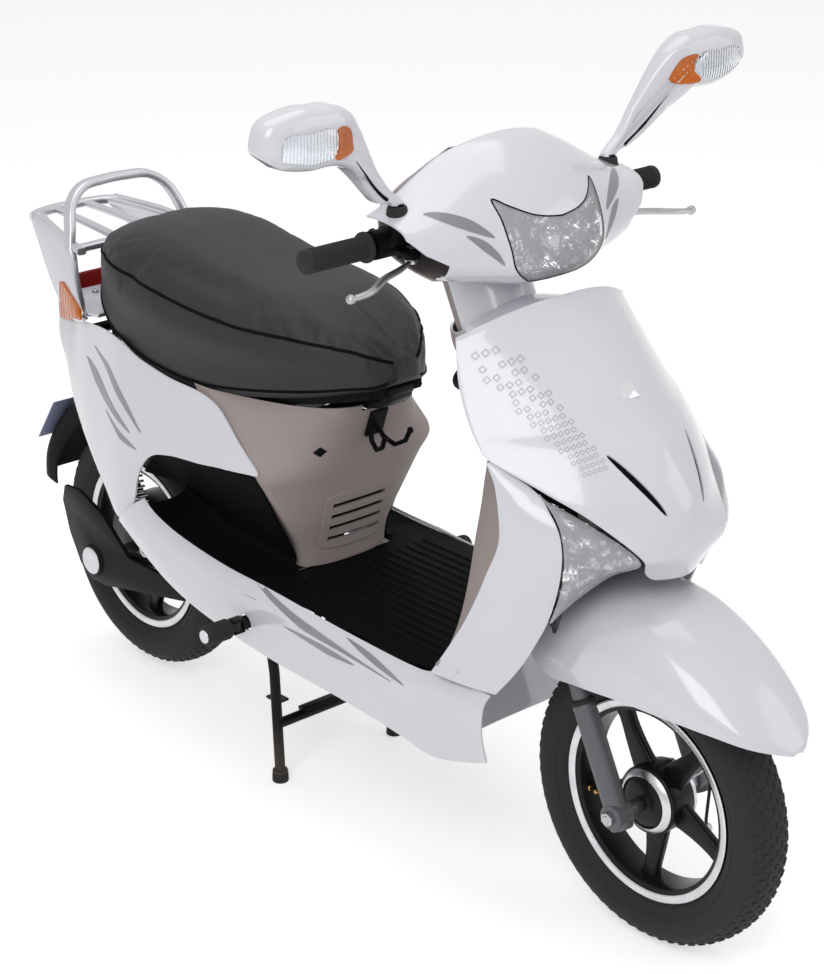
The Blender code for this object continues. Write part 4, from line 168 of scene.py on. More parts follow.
def strip(x: object, y: object, z: object) -> np.ndarray:
    """A row of points with x from the front axle's plane. A plain number holds for the whole row."""
    return np.stack(np.broadcast_arrays(FRONT_AXLE_X + x, y, z), axis=1)


def soft_square(count: int, power: float) -> np.ndarray:
    """The corners of a rounded square section, rounder the nearer the power is to one."""
    turn = np.arange(count) * 2 * math.pi / count
    wave = np.stack((np.cos(turn), np.sin(turn)), axis=1)
    return np.sign(wave) * np.abs(wave) ** power


def quads(rows: int, columns: int) -> list:
    """Faces between the neighbours of a grid of points."""
    return [(r * columns + c, r * columns + c + 1, (r + 1) * columns + c + 1, (r + 1) * columns + c)
            for r in range(rows - 1) for c in range(columns - 1)]


@dataclass
class Track:
    """Values read smoothly between stations, without overshoot."""

    stations: list

    def at(self, where: float) -> np.ndarray:
        """The values at a place along the stations."""
        table = np.array(sorted(self.stations), float)
        x, y = table[:, 0], table[:, 1:]
        where = min(max(where, x[0]), x[-1])
        h = np.diff(x)[:, None]
        d = np.diff(y, axis=0) / h
        m = np.zeros_like(y)
        same = d[:-1] * d[1:] > 0
        safe = np.where(same, d[:-1] + d[1:], 1.0)
        m[1:-1] = np.where(same, 2 * d[:-1] * d[1:] / safe, 0.0)
        m[0], m[-1] = d[0], d[-1]
        k = min(max(int(np.searchsorted(x, where)) - 1, 0), len(h) - 1)
        u = (where - x[k]) / h[k]
        return ((2 * u**3 - 3 * u**2 + 1) * y[k] + (u**3 - 2 * u**2 + u) * h[k] * m[k]
                + (3 * u**2 - 2 * u**3) * y[k + 1] + (u**3 - u**2) * h[k] * m[k + 1])


# Mesh tools

def link(name: str, mesh: bpy.types.Mesh) -> Piece:
    """A mesh as an object of the scene."""
    mesh.name = name
    obj = bpy.data.objects.new(name, mesh)
    bpy.context.scene.collection.objects.link(obj)
    return obj


def from_lists(name: str, verts: list, faces: list, weld: float = 1e-5) -> Piece:
    """An object from vertices and faces, its doubles merged and its faces turned outwards."""
    mesh = bpy.data.meshes.new(name)
    mesh.from_pydata([tuple(v) for v in verts], [], faces)
    shape = bmesh.new()
    shape.from_mesh(mesh)
    bmesh.ops.remove_doubles(shape, verts=shape.verts, dist=weld)
    bmesh.ops.recalc_face_normals(shape, faces=shape.faces)
    shape.to_mesh(mesh)
    shape.free()
    return link(name, mesh)


def bake(obj: Piece, angle: float = 38.0) -> Piece:
    """Turn the object's modifiers and place into one plain mesh, smooth but for its sharp edges."""
    bpy.context.view_layer.update()
    graph = bpy.context.evaluated_depsgraph_get()
    mesh = bpy.data.meshes.new_from_object(obj.evaluated_get(graph))
    mesh.transform(obj.matrix_world)
    old = obj.data
    obj.modifiers.clear()
    obj.matrix_world = Matrix.Identity(4)
    if obj.type == "MESH":
        obj.data = mesh
        bpy.data.meshes.remove(old)
    mesh.shade_smooth()
    mesh.set_sharp_from_angle(angle=math.radians(angle))
    return obj


def modify(obj: Piece, kind: str, **settings: object) -> bpy.types.Modifier:
    """Add a modifier with its settings."""
    step = obj.modifiers.new(kind.title(), kind)
    for label, value in settings.items():
        setattr(step, label, value)
    return step


def bevel(obj: Piece, width: float, angle: float = 50.0, segments: int = 2) -> None:
    """Round the object's sharp edges."""
    modify(obj, "BEVEL", width=width, segments=segments, limit_method="ANGLE", angle_limit=math.radians(angle),
           use_clamp_overlap=True)


def thicken(obj: Piece, wall: float, offset: float, even: bool = False) -> None:
    """Give an open sheet a wall on its face's side (offset 1) or behind it (offset -1)."""
    modify(obj, "SOLIDIFY", thickness=wall, offset=offset, use_even_offset=even)


def face_towards(mesh: bpy.types.Mesh, out: Vector) -> None:
    """Turn an open sheet's faces to look along a direction."""
    if sum(p.normal.dot(out) * p.area for p in mesh.polygons) < 0:
        mesh.flip_normals()


def skin(name: str, grid: Sequence, wall: float, inside: Vector, edge: float = 0.0007) -> Piece:
    """A thin moulded wall from a grid of points.

    Args:
        name: Name of the piece.
        grid: Points, rows by columns.
        wall: Thickness, grown towards the inside.
        inside: A point on the hollow side.
        edge: Rounding of the rim.
    Returns:
        The piece.
    """
    grid = np.asarray(grid)
    obj = from_lists(name, grid.reshape(-1, 3), quads(*grid.shape[:2]))
    away = sum((p.center - inside).dot(p.normal) * p.area for p in obj.data.polygons)
    if away < 0:
        obj.data.flip_normals()
    thicken(obj, wall, -1.0, even=True)
    if edge:
        bevel(obj, edge)
    return bake(obj)


def loft(name: str, rings: np.ndarray, closed: bool = False) -> Piece:
    """A body through rings of points, capped at its ends or closed on itself."""
    count, width = rings.shape[:2]
    last = count if closed else count - 1
    faces = [(r * width + c, r * width + (c + 1) % width, (r + 1) % count * width + (c + 1) % width,
              (r + 1) % count * width + c) for r in range(last) for c in range(width)]
    if not closed:
        faces += [tuple(range(width)), tuple((count - 1) * width + c for c in reversed(range(width)))]
    return from_lists(name, rings.reshape(-1, 3), faces)


def basis(axis: Vector) -> Matrix:
    """A turn that lays Z along the axis."""
    return axis.to_track_quat("Z", "Y").to_matrix()


def lathe(name: str, profile: Sequence, centre: Vector, axis: Vector, steps: int = 72,
          round_off: float = 0.0) -> Piece:
    """A turned ring or shaft.

    Args:
        name: Name of the piece.
        profile: Corners (radius, height) of the closed section.
        centre: Where height is 0 on the axis.
        axis: The axis.
        steps: Sides of the turned shape.
        round_off: Rounding of the section's corners.
    Returns:
        The piece.
    """
    turn = np.array(basis(axis))
    rings = []
    for step in range(steps):
        angle = 2 * math.pi * step / steps
        local = np.array([(r * math.cos(angle), r * math.sin(angle), h) for r, h in profile])
        rings.append(local @ turn.T + np.array(centre))
    obj = loft(name, np.array(rings), closed=True)
    if round_off:
        bevel(obj, round_off, 30.0)
    return bake(obj)


def sweep(name: str, path: np.ndarray, radii: object, sides: int = 20, section: np.ndarray | None = None,
          across: Vector | None = None, cap: float = 0.0) -> Piece:
    """A bar along a path.

    Args:
        name: Name of the piece.
        path: Points of the path.
        radii: One radius, or one per point. With a section, its scale.
        sides: Sides of a round bar.
        section: Corners (across, high) of another section.
        across: Direction that the section's first axis keeps to.
        cap: Rounding of the bar's ends.
    Returns:
        The piece.
    """
    path = np.asarray(path, float)
    sizes = np.broadcast_to(np.asarray(radii, float), (len(path),))
    if section is None:
        section = soft_square(sides, 1.0)
    along = np.gradient(path, axis=0)
    along /= np.linalg.norm(along, axis=1)[:, None]
    wide = np.array(across if across is not None else Vector(along[0]).orthogonal().normalized())
    rings = []
    for point, direction, size in zip(path, along, sizes):
        reference = np.array(across) if across is not None else wide
        wide = reference - direction * reference.dot(direction)
        wide /= np.linalg.norm(wide)
        high = np.cross(direction, wide)
        rings.append(point + (section[:, :1] * wide + section[:, 1:] * high) * size)
    obj = loft(name, np.array(rings))
    if cap:
        bevel(obj, cap, 60.0, 3)
    return bake(obj)


def slab(name: str, outline: Sequence, matrix: Matrix, thickness: float, edge: float = 0.0) -> Piece:
    """A flat plate from an outline in its own plane, extruded both ways."""
    flat = [Vector((x, y, 0.0)) for x, y in outline]
    half = Vector((0.0, 0.0, thickness / 2))
    count = len(flat)
    verts = [matrix @ (p - half) for p in flat] + [matrix @ (p + half) for p in flat]
    faces = [tuple(range(count)), tuple(range(2 * count - 1, count - 1, -1))]
    faces += [(i, (i + 1) % count, (i + 1) % count + count, i + count) for i in range(count)]
    obj = from_lists(name, verts, faces, 1e-6)
    if edge:
        bevel(obj, edge)
    return bake(obj)


def across_at(x: float) -> Matrix:
    """Lays a plate's outline (aside, height) across the scooter, x from the front axle's plane."""
    return Matrix(((0, 0, 1, FRONT_AXLE_X + x), (1, 0, 0, 0), (0, 1, 0, 0), (0, 0, 0, 1)))


def cut(obj: Piece, *tools: Piece) -> Piece:
    """Take the tools' shapes out of the object, and remove the tools."""
    for tool in tools:
        modify(obj, "BOOLEAN", operation="DIFFERENCE", solver="EXACT", object=tool)
        bake(obj)
        bpy.data.objects.remove(tool, do_unlink=True)
    return obj


def fuse(name: str, pieces: list) -> Piece:
    """Several pieces as one object."""
    shape = bmesh.new()
    for piece in pieces:
        shape.from_mesh(piece.data)
        bpy.data.objects.remove(piece, do_unlink=True)
    mesh = bpy.data.meshes.new(name)
    shape.to_mesh(mesh)
    shape.free()
    obj = link(name, mesh)
    return bake(obj)


def tree_of(obj: Piece) -> BVHTree:
    """The object's faces, to aim rays at."""
    return BVHTree.FromPolygons([v.co for v in obj.data.vertices], [p.vertices for p in obj.data.polygons])


def patch(name: str, outline: object, target: BVHTree, aim: Vector, lift: float, wall: float,
          cell: float = 0.006) -> Piece:
    """A thin sheet with a drawn outline that lies on a surface.

    Args:
        name: Name of the piece.
        outline: Corners (aside, height) if aim runs along X, else (ahead, height).
        target: The surface.
        aim: Direction in which the outline is thrown on the surface.
        lift: Distance of the sheet's inner face from the surface.
        wall: Thickness of the sheet.
        cell: Size of the facets that follow the surface.
    Returns:
        The piece.
    """
    sideways = abs(aim.x) > abs(aim.y)
    shape = bmesh.new()
    corners = [(0.0, a, b) if sideways else (a, 0.0, b) for a, b in np.asarray(outline)]
    shape.faces.new([shape.verts.new(c) for c in corners])
    low = np.min(corners, axis=0)
    high = np.max(corners, axis=0)
    for axis in ((1, 2) if sideways else (0, 2)):
        normal = [0.0, 0.0, 0.0]
        normal[axis] = 1.0
        for value in np.arange(low[axis] + cell * 0.5, high[axis], cell):
            place = [0.0, 0.0, 0.0]
            place[axis] = value
            geometry = shape.verts[:] + shape.edges[:] + shape.faces[:]
            bmesh.ops.bisect_plane(shape, geom=geometry, plane_co=place, plane_no=normal, dist=1e-6)
    bmesh.ops.triangulate(shape, faces=[f for f in shape.faces if len(f.verts) > 4])
    for vert in shape.verts:
        start = vert.co - aim * FAR
        hit = target.ray_cast(start, aim)
        if hit[0] is None:
            hit = target.find_nearest(vert.co - aim * 0.3)
        normal = hit[1] if hit[1].dot(aim) < 0 else -hit[1]
        vert.co = hit[0] + normal * lift
    mesh = bpy.data.meshes.new(name)
    bmesh.ops.remove_doubles(shape, verts=shape.verts, dist=1e-5)
    bmesh.ops.recalc_face_normals(shape, faces=shape.faces)
    shape.to_mesh(mesh)
    shape.free()
    obj = link(name, mesh)
    face_towards(mesh, -aim)
    thicken(obj, wall, 1.0)
    return bake(obj)


# Shader groups

class Relief(Enum):
    """How a surface is grained."""

    FINE = "fine grain"
    HIDE = "hide grain"
    BRUSHED = "brushed grain"
    PEEL = "paint peel"
    FLUTED = "fluted lens"


def new_tree(kind: str, name: str, inputs: dict, output: tuple[str, str]) -> tuple:
    """A node group with its sockets.

    Args:
        kind: Blender's name for the kind of tree.
        name: Name of the group.
        inputs: The inputs' socket types, by their names.
        output: Name and socket type of the output.
    Returns:
        The group, its input node and its output node.
    """
    tree = bpy.data.node_groups.new(name, kind)
    for label, socket in inputs.items():
        tree.interface.new_socket(label, in_out="INPUT", socket_type="NodeSocket" + socket)
    tree.interface.new_socket(output[0], in_out="OUTPUT", socket_type="NodeSocket" + output[1])
    return tree, tree.nodes.new("NodeGroupInput"), tree.nodes.new("NodeGroupOutput")


def shader_group(name: str, inputs: tuple[str, ...], output: str) -> tuple:
    """A shader group with a vector and some numbers going in and one number coming out."""
    sockets = {"Vector": "Vector"} | {label: "Float" for label in inputs}
    return new_tree("ShaderNodeTree", name, sockets, (output, "Float"))


def add(tree: Tree, kind: str, values: dict | None = None, **settings: object) -> bpy.types.Node:
    """Add a node.

    Args:
        tree: The tree it goes in.
        kind: Blender's name for the node.
        values: Values of its inputs, by name or place.
        settings: Its other settings.
    Returns:
        The node.
    """
    node = tree.nodes.new(kind)
    for label, value in settings.items():
        setattr(node, label, value)
    for label, value in (values or {}).items():
        node.inputs[label].default_value = value
    return node


def connect(tree: Tree, *joins: tuple) -> None:
    """Link sockets, each join given as a node, its output, the next node and its input."""
    for start, output, end, entry in joins:
        tree.links.new(start.outputs[output], end.inputs[entry])


@cache
def relief_group(kind: Relief) -> Tree:
    """The height of one kind of grain."""
    group, source, sink = shader_group(kind.value, ("Scale",), "Height")
    drawn_out = {Relief.BRUSHED: (1.0, 1.0, 14.0), Relief.FLUTED: (0.15, 1.0, 0.15)}
    stretch = add(group, "ShaderNodeMapping", {"Scale": drawn_out.get(kind, (1.0, 1.0, 1.0))})
    if kind is Relief.HIDE:
        texture, height = add(group, "ShaderNodeTexVoronoi", feature="DISTANCE_TO_EDGE"), "Distance"
    elif kind is Relief.FLUTED:
        texture, height = add(group, "ShaderNodeTexWave", bands_direction="Y"), 1
    else:
        texture, height = add(group, "ShaderNodeTexNoise", {"Detail": 1.0 if kind is Relief.PEEL else 4.0}), 0
    connect(group, (source, "Vector", stretch, "Vector"), (stretch, "Vector", texture, "Vector"),
            (source, "Scale", texture, "Scale"), (texture, height, sink, "Height"))
    return group


@cache
def patch_group() -> Tree:
    """Soft uneven patches from 0 to 1: on most finishes the uneven tone and gloss that handling and dust leave, on
    the reflector painted dark reflections.
    """
    group, source, sink = shader_group("soft patches", ("Scale", "Low", "High"), "Mask")
    wide = add(group, "ShaderNodeTexNoise", {"Detail": 6.0, "Roughness": 0.65})
    span = add(group, "ShaderNodeMapRange")
    connect(group, (source, "Low", span, "From Min"), (source, "High", span, "From Max"),
            (source, "Vector", wide, "Vector"), (source, "Scale", wide, "Scale"), (wide, 0, span, "Value"),
            (span, "Result", sink, "Mask"))
    return group


@cache
def dust_group() -> Tree:
    """Dust that thins out with height above the road."""
    group, source, sink = shader_group("road dust", ("Top",), "Mask")
    split = add(group, "ShaderNodeSeparateXYZ")
    fall = add(group, "ShaderNodeMapRange", {"To Min": 1.0, "To Max": 0.0})
    speckle = add(group, "ShaderNodeTexNoise", {"Scale": 38.0, "Detail": 8.0})
    mix = add(group, "ShaderNodeMath", operation="MULTIPLY")
    connect(group, (source, "Vector", split, "Vector"), (split, "Z", fall, "Value"),
            (source, "Top", fall, "From Max"), (source, "Vector", speckle, "Vector"), (fall, "Result", mix, 0),
            (speckle, 0, mix, 1), (mix, "Value", sink, "Mask"))
    return group


Colour = tuple[float, float, float]
DUST_TONE: Colour = (0.16, 0.13, 0.105)
CLEAR_IOR = 1.49


@dataclass(frozen=True)
class Finish:
    """One surface finish: two close tones, uneven gloss, a grain and, low down, some dust. On the reflector the
    second tone is near black and paints dark reflections on the chrome.
    """

    name: str
    tone: Colour
    second: Colour
    gloss: tuple[float, float]
    relief: Relief = Relief.FINE
    grain: float = 900.0
    depth: float = 0.00004
    patches: float = 7.0
    metal: float = 0.0
    coat: float = 0.0
    clear: float = 0.0
    dust: float = 0.0
    specular: float = 0.5
    ior: float = 1.5
    alpha: float = 1.0
    edges: tuple[float, float] = (0.32, 0.68)

    def material(self) -> bpy.types.Material:
        """The finish as a Blender material, built once."""
        found = bpy.data.materials.get(self.name)
        if found:
            return found
        made = bpy.data.materials.new(self.name)
        made.use_nodes = True
        tree = made.node_tree
        shader = tree.nodes["Principled BSDF"]
        place = add(tree, "ShaderNodeTexCoord")
        patches = add(tree, "ShaderNodeGroup", node_tree=patch_group())
        gloss = add(tree, "ShaderNodeMapRange", {"To Min": self.gloss[0], "To Max": self.gloss[1]})
        grain = add(tree, "ShaderNodeGroup", node_tree=relief_group(self.relief))
        bump = add(tree, "ShaderNodeBump", {"Strength": 1.0, "Distance": self.depth})
        for node, label, value in (
                (patches, "Scale", self.patches), (patches, "Low", self.edges[0]), (patches, "High", self.edges[1]),
                (grain, "Scale", self.grain), (shader, "Metallic", self.metal), (shader, "Coat Weight", self.coat),
                (shader, "Coat Roughness", 0.04), (shader, "Transmission Weight", self.clear),
                (shader, "IOR", CLEAR_IOR if self.clear else self.ior), (shader, "Alpha", self.alpha),
                (shader, "Specular IOR Level", self.specular)):
            node.inputs[label].default_value = value
        colour = self.mixed(tree, patches, self.tone, self.second)
        if self.dust:
            dust = add(tree, "ShaderNodeGroup", node_tree=dust_group())
            dust.inputs["Top"].default_value = self.dust
            tan = self.mixed(tree, dust, self.tone, DUST_TONE)
            connect(tree, (place, "Object", dust, "Vector"), (colour, 2, tan, 6))
            colour = tan
        connect(tree, (place, "Object", patches, "Vector"), (colour, 2, shader, "Base Color"),
                (patches, "Mask", gloss, "Value"), (gloss, "Result", shader, "Roughness"),
                (place, "Object", grain, "Vector"), (grain, "Height", bump, "Height"),
                (bump, "Normal", shader, "Normal"))
        return made

    @staticmethod
    def mixed(tree: Tree, mask: bpy.types.Node, tone: Colour, second: Colour) -> bpy.types.Node:
        """Two tones mixed by a mask. The colours go in at 6 and 7 and come out at 2."""
        mix = add(tree, "ShaderNodeMix", {6: (*tone, 1.0), 7: (*second, 1.0)}, data_type="RGBA")
        connect(tree, (mask, "Mask", mix, 0))
        return mix


@dataclass(frozen=True)
class Finishes:
    """The scooter's finishes."""

    white: Finish = Finish("white_gloss", (0.80, 0.80, 0.86), (0.77, 0.77, 0.835), (0.16, 0.24), Relief.PEEL,
                           260.0, 0.00003, 5.0, coat=0.8)
    beige: Finish = Finish("beige_trim", (0.42, 0.35, 0.335), (0.385, 0.325, 0.31), (0.42, 0.55), depth=0.00006)
    black: Finish = Finish("black_moulding", (0.006, 0.006, 0.007), (0.009, 0.009, 0.010), (0.38, 0.52),
                           depth=0.00007, ior=1.12)
    floor: Finish = Finish("floor_moulding", (0.0045, 0.0045, 0.006), (0.008, 0.008, 0.009), (0.48, 0.62),
                           Relief.HIDE, 420.0, 0.00012, ior=1.08)
    frame: Finish = Finish("black_frame_paint", (0.006, 0.006, 0.007), (0.010, 0.010, 0.010), (0.30, 0.46),
                           Relief.PEEL, 400.0, 0.00006, 12.0, dust=0.11, ior=1.22)
    wheel: Finish = Finish("black_wheel_paint", (0.007, 0.007, 0.008), (0.011, 0.011, 0.011), (0.26, 0.40),
                           Relief.PEEL, 420.0, 0.00005, 14.0, ior=1.28)
    tyre: Finish = Finish("tyre_rubber", (0.008, 0.008, 0.0085), (0.013, 0.0125, 0.012), (0.62, 0.82),
                          grain=700.0, depth=0.00012, patches=24.0, ior=1.05)
    rubber: Finish = Finish("grip_rubber", (0.006, 0.006, 0.006), (0.010, 0.010, 0.010), (0.50, 0.66),
                            grain=1400.0, depth=0.00008, ior=1.12)
    seat: Finish = Finish("seat_cover", (0.0035, 0.0035, 0.005), (0.006, 0.006, 0.008), (0.40, 0.52),
                          Relief.HIDE, 520.0, 0.00022, 9.0, ior=1.035)
    piping: Finish = Finish("seat_piping", (0.006, 0.006, 0.008), (0.010, 0.010, 0.012), (0.34, 0.46),
                            Relief.HIDE, 900.0, 0.0001, ior=1.06)
    fork: Finish = Finish("fork_grey", (0.16, 0.16, 0.168), (0.12, 0.12, 0.13), (0.34, 0.50), Relief.PEEL,
                          500.0, 0.00008, 18.0, metal=0.55, dust=0.30)
    steel: Finish = Finish("zinc_steel", (0.52, 0.52, 0.54), (0.42, 0.42, 0.43), (0.26, 0.42), Relief.BRUSHED,
                           300.0, 0.00004, 22.0, metal=1.0)
    chrome: Finish = Finish("chrome", (0.80, 0.80, 0.82), (0.74, 0.74, 0.77), (0.05, 0.12), Relief.PEEL,
                            200.0, 0.00002, 12.0, metal=1.0)
    # Reflector: the near-black second tone, laid in soft patches over about half the chrome, is painted reflection
    # of the lamp's dark inside on the facets.
    reflector: Finish = Finish("reflector_chrome_painted_reflections", (0.98, 0.98, 0.99), (0.025, 0.025, 0.03), (0.03, 0.10),
                               Relief.PEEL, 160.0, 0.0009, 62.0, metal=1.0, edges=(0.42, 0.52))
    machined: Finish = Finish("machined_lip", (0.66, 0.66, 0.68), (0.56, 0.56, 0.58), (0.20, 0.32),
                              Relief.BRUSHED, 700.0, 0.00005, 30.0, metal=1.0)
    silver: Finish = Finish("cast_silver", (0.74, 0.74, 0.80), (0.69, 0.69, 0.755), (0.30, 0.42), Relief.FINE,
                            1100.0, 0.00006, 9.0, coat=0.4)
    brass: Finish = Finish("brass", (0.62, 0.36, 0.12), (0.50, 0.28, 0.09), (0.22, 0.34), Relief.BRUSHED,
                           500.0, 0.00003, 40.0, metal=1.0)
    clear: Finish = Finish("clear_lens", (0.93, 0.94, 0.96), (0.90, 0.92, 0.95), (0.01, 0.03), Relief.PEEL,
                           90.0, 0.00003, 6.0, clear=1.0, alpha=0.10)
    fluted: Finish = Finish("fluted_lens", (0.93, 0.94, 0.96), (0.90, 0.92, 0.95), (0.02, 0.05), Relief.FLUTED,
                            60.0, 0.0006, 6.0, clear=1.0)
    amber: Finish = Finish("amber_lens", (0.80, 0.20, 0.004), (0.68, 0.13, 0.003), (0.10, 0.18), Relief.FLUTED,
                           70.0, 0.0004, 30.0, clear=0.12, specular=0.35)
    red: Finish = Finish("red_lens", (0.52, 0.008, 0.010), (0.44, 0.006, 0.008), (0.08, 0.16), Relief.FLUTED,
                         70.0, 0.0005, 9.0, clear=0.30, coat=0.5)
    mirror: Finish = Finish("mirror_glass", (0.72, 0.74, 0.76), (0.70, 0.72, 0.74), (0.01, 0.03), Relief.PEEL,
                            20.0, 0.000005, 4.0, metal=1.0)
    decal: Finish = Finish("grey_decal", (0.30, 0.30, 0.335), (0.26, 0.26, 0.295), (0.26, 0.36), Relief.PEEL,
                           300.0, 0.00002, 14.0, coat=0.3)
    pale_decal: Finish = Finish("pale_decal", (0.52, 0.52, 0.56), (0.46, 0.46, 0.50), (0.26, 0.36), Relief.PEEL,
                                300.0, 0.00002, 14.0, coat=0.3)
    plate: Finish = Finish("plate_blue", (0.36, 0.38, 0.60), (0.31, 0.33, 0.54), (0.30, 0.42), depth=0.00003)
    dial: Finish = Finish("dial_face", (0.035, 0.038, 0.045), (0.045, 0.047, 0.055), (0.42, 0.52), depth=0.00002)
    marks: Finish = Finish("dial_marks", (0.78, 0.78, 0.80), (0.70, 0.70, 0.72), (0.40, 0.50), depth=0.00002)
    needle: Finish = Finish("dial_needle", (0.75, 0.06, 0.02), (0.65, 0.05, 0.02), (0.35, 0.45), depth=0.00002)


F = Finishes()


def put(obj: Piece, finish: Finish, body: str, replaces: tuple = ()) -> Piece:
    """Give a piece its finish and hang it on its body.

    Args:
        obj: The piece.
        finish: Its finish.
        body: The CAD body, or a CAD node on it.
        replaces: CAD nodes that the piece stands for.
    Returns:
        The piece.
    """
    obj.data.materials.clear()
    obj.data.materials.append(finish.material())
    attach(obj, BODY_OF.get(body, body))
    if replaces:
        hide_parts(*replaces)
    LOG.info("%s: %d faces on %s", obj.name, len(obj.data.polygons), BODY_OF.get(body, body))
    return obj


def dress(obj: Piece, finish: Finish, node: str) -> Piece:
    """Show a piece in the place of its CAD node."""
    return put(obj, finish, node, (node,))


def refine(node: str, finish: Finish, edge: float = 0.0006, angle: float = 38.0) -> Piece:
    """A merged copy of a CAD node with rounded edges, shown in its place."""
    mesh = frame["nodes"][node].data.copy()
    shape = bmesh.new()
    shape.from_mesh(mesh)
    bmesh.ops.remove_doubles(shape, verts=shape.verts, dist=1e-5)
    bmesh.ops.dissolve_limit(shape, angle_limit=math.radians(0.3), verts=shape.verts[:], edges=shape.edges[:])
    shape.to_mesh(mesh)
    shape.free()
    if "custom_normal" in mesh.attributes:
        mesh.attributes.remove(mesh.attributes["custom_normal"])
    obj = link(node + "_shown", mesh)
    if edge:
        bevel(obj, edge, angle)
    bake(obj, angle)
    return dress(obj, finish, node)


# Geometry node trees

@cache
def scatter_tree() -> Tree:
    """A tree that sets an item on each point, turned and sized by the point's attributes."""
    inputs = {"Points": "Geometry", "Item": "Object", "Size": "Float", "Finish": "Material"}
    tree, source, sink = new_tree("GeometryNodeTree", "set out items", inputs, ("Items", "Geometry"))
    dots, item, setting, turn, size, rotation, scale, real, paint = (tree.nodes.new(kind) for kind in (
        "GeometryNodeMeshToPoints", "GeometryNodeObjectInfo", "GeometryNodeInstanceOnPoints",
        "GeometryNodeInputNamedAttribute", "GeometryNodeInputNamedAttribute", "FunctionNodeEulerToRotation",
        "ShaderNodeVectorMath", "GeometryNodeRealizeInstances", "GeometryNodeSetMaterial"))
    for node, label in ((turn, "turn"), (size, "size")):
        node.data_type = "FLOAT_VECTOR"
        node.inputs["Name"].default_value = label
    scale.operation = "SCALE"
    connect(tree, (source, "Points", dots, "Mesh"), (source, "Item", item, "Object"),
            (dots, "Points", setting, "Points"), (item, "Geometry", setting, "Instance"),
            (turn, "Attribute", rotation, "Euler"), (rotation, "Rotation", setting, "Rotation"),
            (size, "Attribute", scale, 0), (source, "Size", scale, "Scale"), (scale, "Vector", setting, "Scale"),
            (setting, "Instances", real, "Geometry"), (real, "Geometry", paint, "Geometry"),
            (source, "Finish", paint, "Material"), (paint, "Geometry", sink, "Items"))
    return tree


@cache
def coil_tree() -> Tree:
    """A tree that winds a round wire into a spring up the Z axis."""
    inputs = {"Start": "Geometry", "Turns": "Float", "Radius": "Float", "Height": "Float", "Wire": "Float",
              "Finish": "Material"}
    tree, source, sink = new_tree("GeometryNodeTree", "wind spring", inputs, ("Spring", "Geometry"))
    spiral, ring, wind, soft, real, paint = (tree.nodes.new(kind) for kind in (
        "GeometryNodeCurveSpiral", "GeometryNodeCurvePrimitiveCircle", "GeometryNodeCurveToMesh",
        "GeometryNodeSetShadeSmooth", "GeometryNodeRealizeInstances", "GeometryNodeSetMaterial"))
    spiral.inputs["Resolution"].default_value = 24
    ring.inputs["Resolution"].default_value = 10
    wind.inputs["Fill Caps"].default_value = True
    connect(tree, (source, "Turns", spiral, "Rotations"), (source, "Radius", spiral, "Start Radius"),
            (source, "Radius", spiral, "End Radius"), (source, "Height", spiral, "Height"),
            (source, "Wire", ring, "Radius"), (spiral, "Curve", wind, "Curve"),
            (ring, "Curve", wind, "Profile Curve"), (wind, "Mesh", soft, 0), (soft, 0, real, "Geometry"),
            (real, "Geometry", paint, "Geometry"), (source, "Finish", paint, "Material"),
            (paint, "Geometry", sink, "Spring"))
    return tree


def run_tree(obj: Piece, tree: Tree, values: dict, angle: float = 38.0) -> Piece:
    """Run a geometry tree on an object with named values and keep its result as a plain mesh."""
    step = modify(obj, "NODES", node_group=tree)
    names = {s.name: s.identifier for s in tree.interface.items_tree if s.in_out == "INPUT"}
    for label, value in values.items():
        step[names[label]] = value
    return bake(obj, angle)


def scatter(name: str, item: Piece, spots: list, finish: Finish, node: str, size: float = 1.0) -> None:
    """Set an item out on a list of places.

    Args:
        name: Name of the piece.
        item: What repeats, modelled at the origin. It is used up.
        spots: Pairs of a matrix and a scale, the scale a number or three of them.
        finish: Finish of the items.
        node: The CAD node on whose body they ride.
        size: Scale of all of them.
    """
    mesh = bpy.data.meshes.new(name)
    mesh.from_pydata([tuple(matrix.translation) for matrix, _ in spots], [], [])
    for label, values in (("turn", [matrix.to_euler() for matrix, _ in spots]),
                          ("size", [np.broadcast_to(scale, 3) for _, scale in spots])):
        layer = mesh.attributes.new(label, "FLOAT_VECTOR", "POINT")
        layer.data.foreach_set("vector", np.array(values, float).ravel())
    obj = run_tree(link(name, mesh), scatter_tree(), {"Item": item, "Size": size, "Finish": finish.material()})
    bpy.data.objects.remove(item, do_unlink=True)
    put(obj, finish, node)


def spring(name: str, foot: Vector, head: Vector, radius: float, wire: float, turns: float,
           finish: Finish) -> Piece:
    """A wound spring between two points on its axis."""
    start = bpy.data.meshes.new(name)
    obj = run_tree(link(name, start), coil_tree(), {
        "Turns": float(turns), "Radius": radius, "Height": (head - foot).length, "Wire": wire,
        "Finish": finish.material()})
    obj.data.transform(Matrix.Translation(foot) @ basis(head - foot).to_4x4())
    return obj


def frame_at(point: Vector, out: Vector, along: Vector) -> Matrix:
    """A place with its Z along out and its X as near to along as it goes."""
    out = out.normalized()
    along = (along - out * along.dot(out)).normalized()
    made = Matrix((along, out.cross(along), out)).transposed().to_4x4()
    return Matrix.Translation(point) @ made


def screw_head(name: str, radius: float) -> Piece:
    """A domed screw head with a cross slot, modelled on the origin."""
    head = lathe(name, [(0.0001, 0.0), (radius, 0.0), (radius, radius * 0.25), (radius * 0.8, radius * 0.5),
                        (radius * 0.4, radius * 0.6), (0.0001, radius * 0.62)], Vector(), UP, 16)
    for turn in (0.0, math.pi / 2):
        place = Matrix.Translation((0, 0, radius * 0.6)) @ Matrix.Rotation(turn, 4, "Z")
        cross = rectangle(-radius * 0.6, radius * 0.6, -radius * 0.1, radius * 0.1)
        cut(head, slab("slot", cross, place, radius * 0.5))
    return head


# Front bodywork

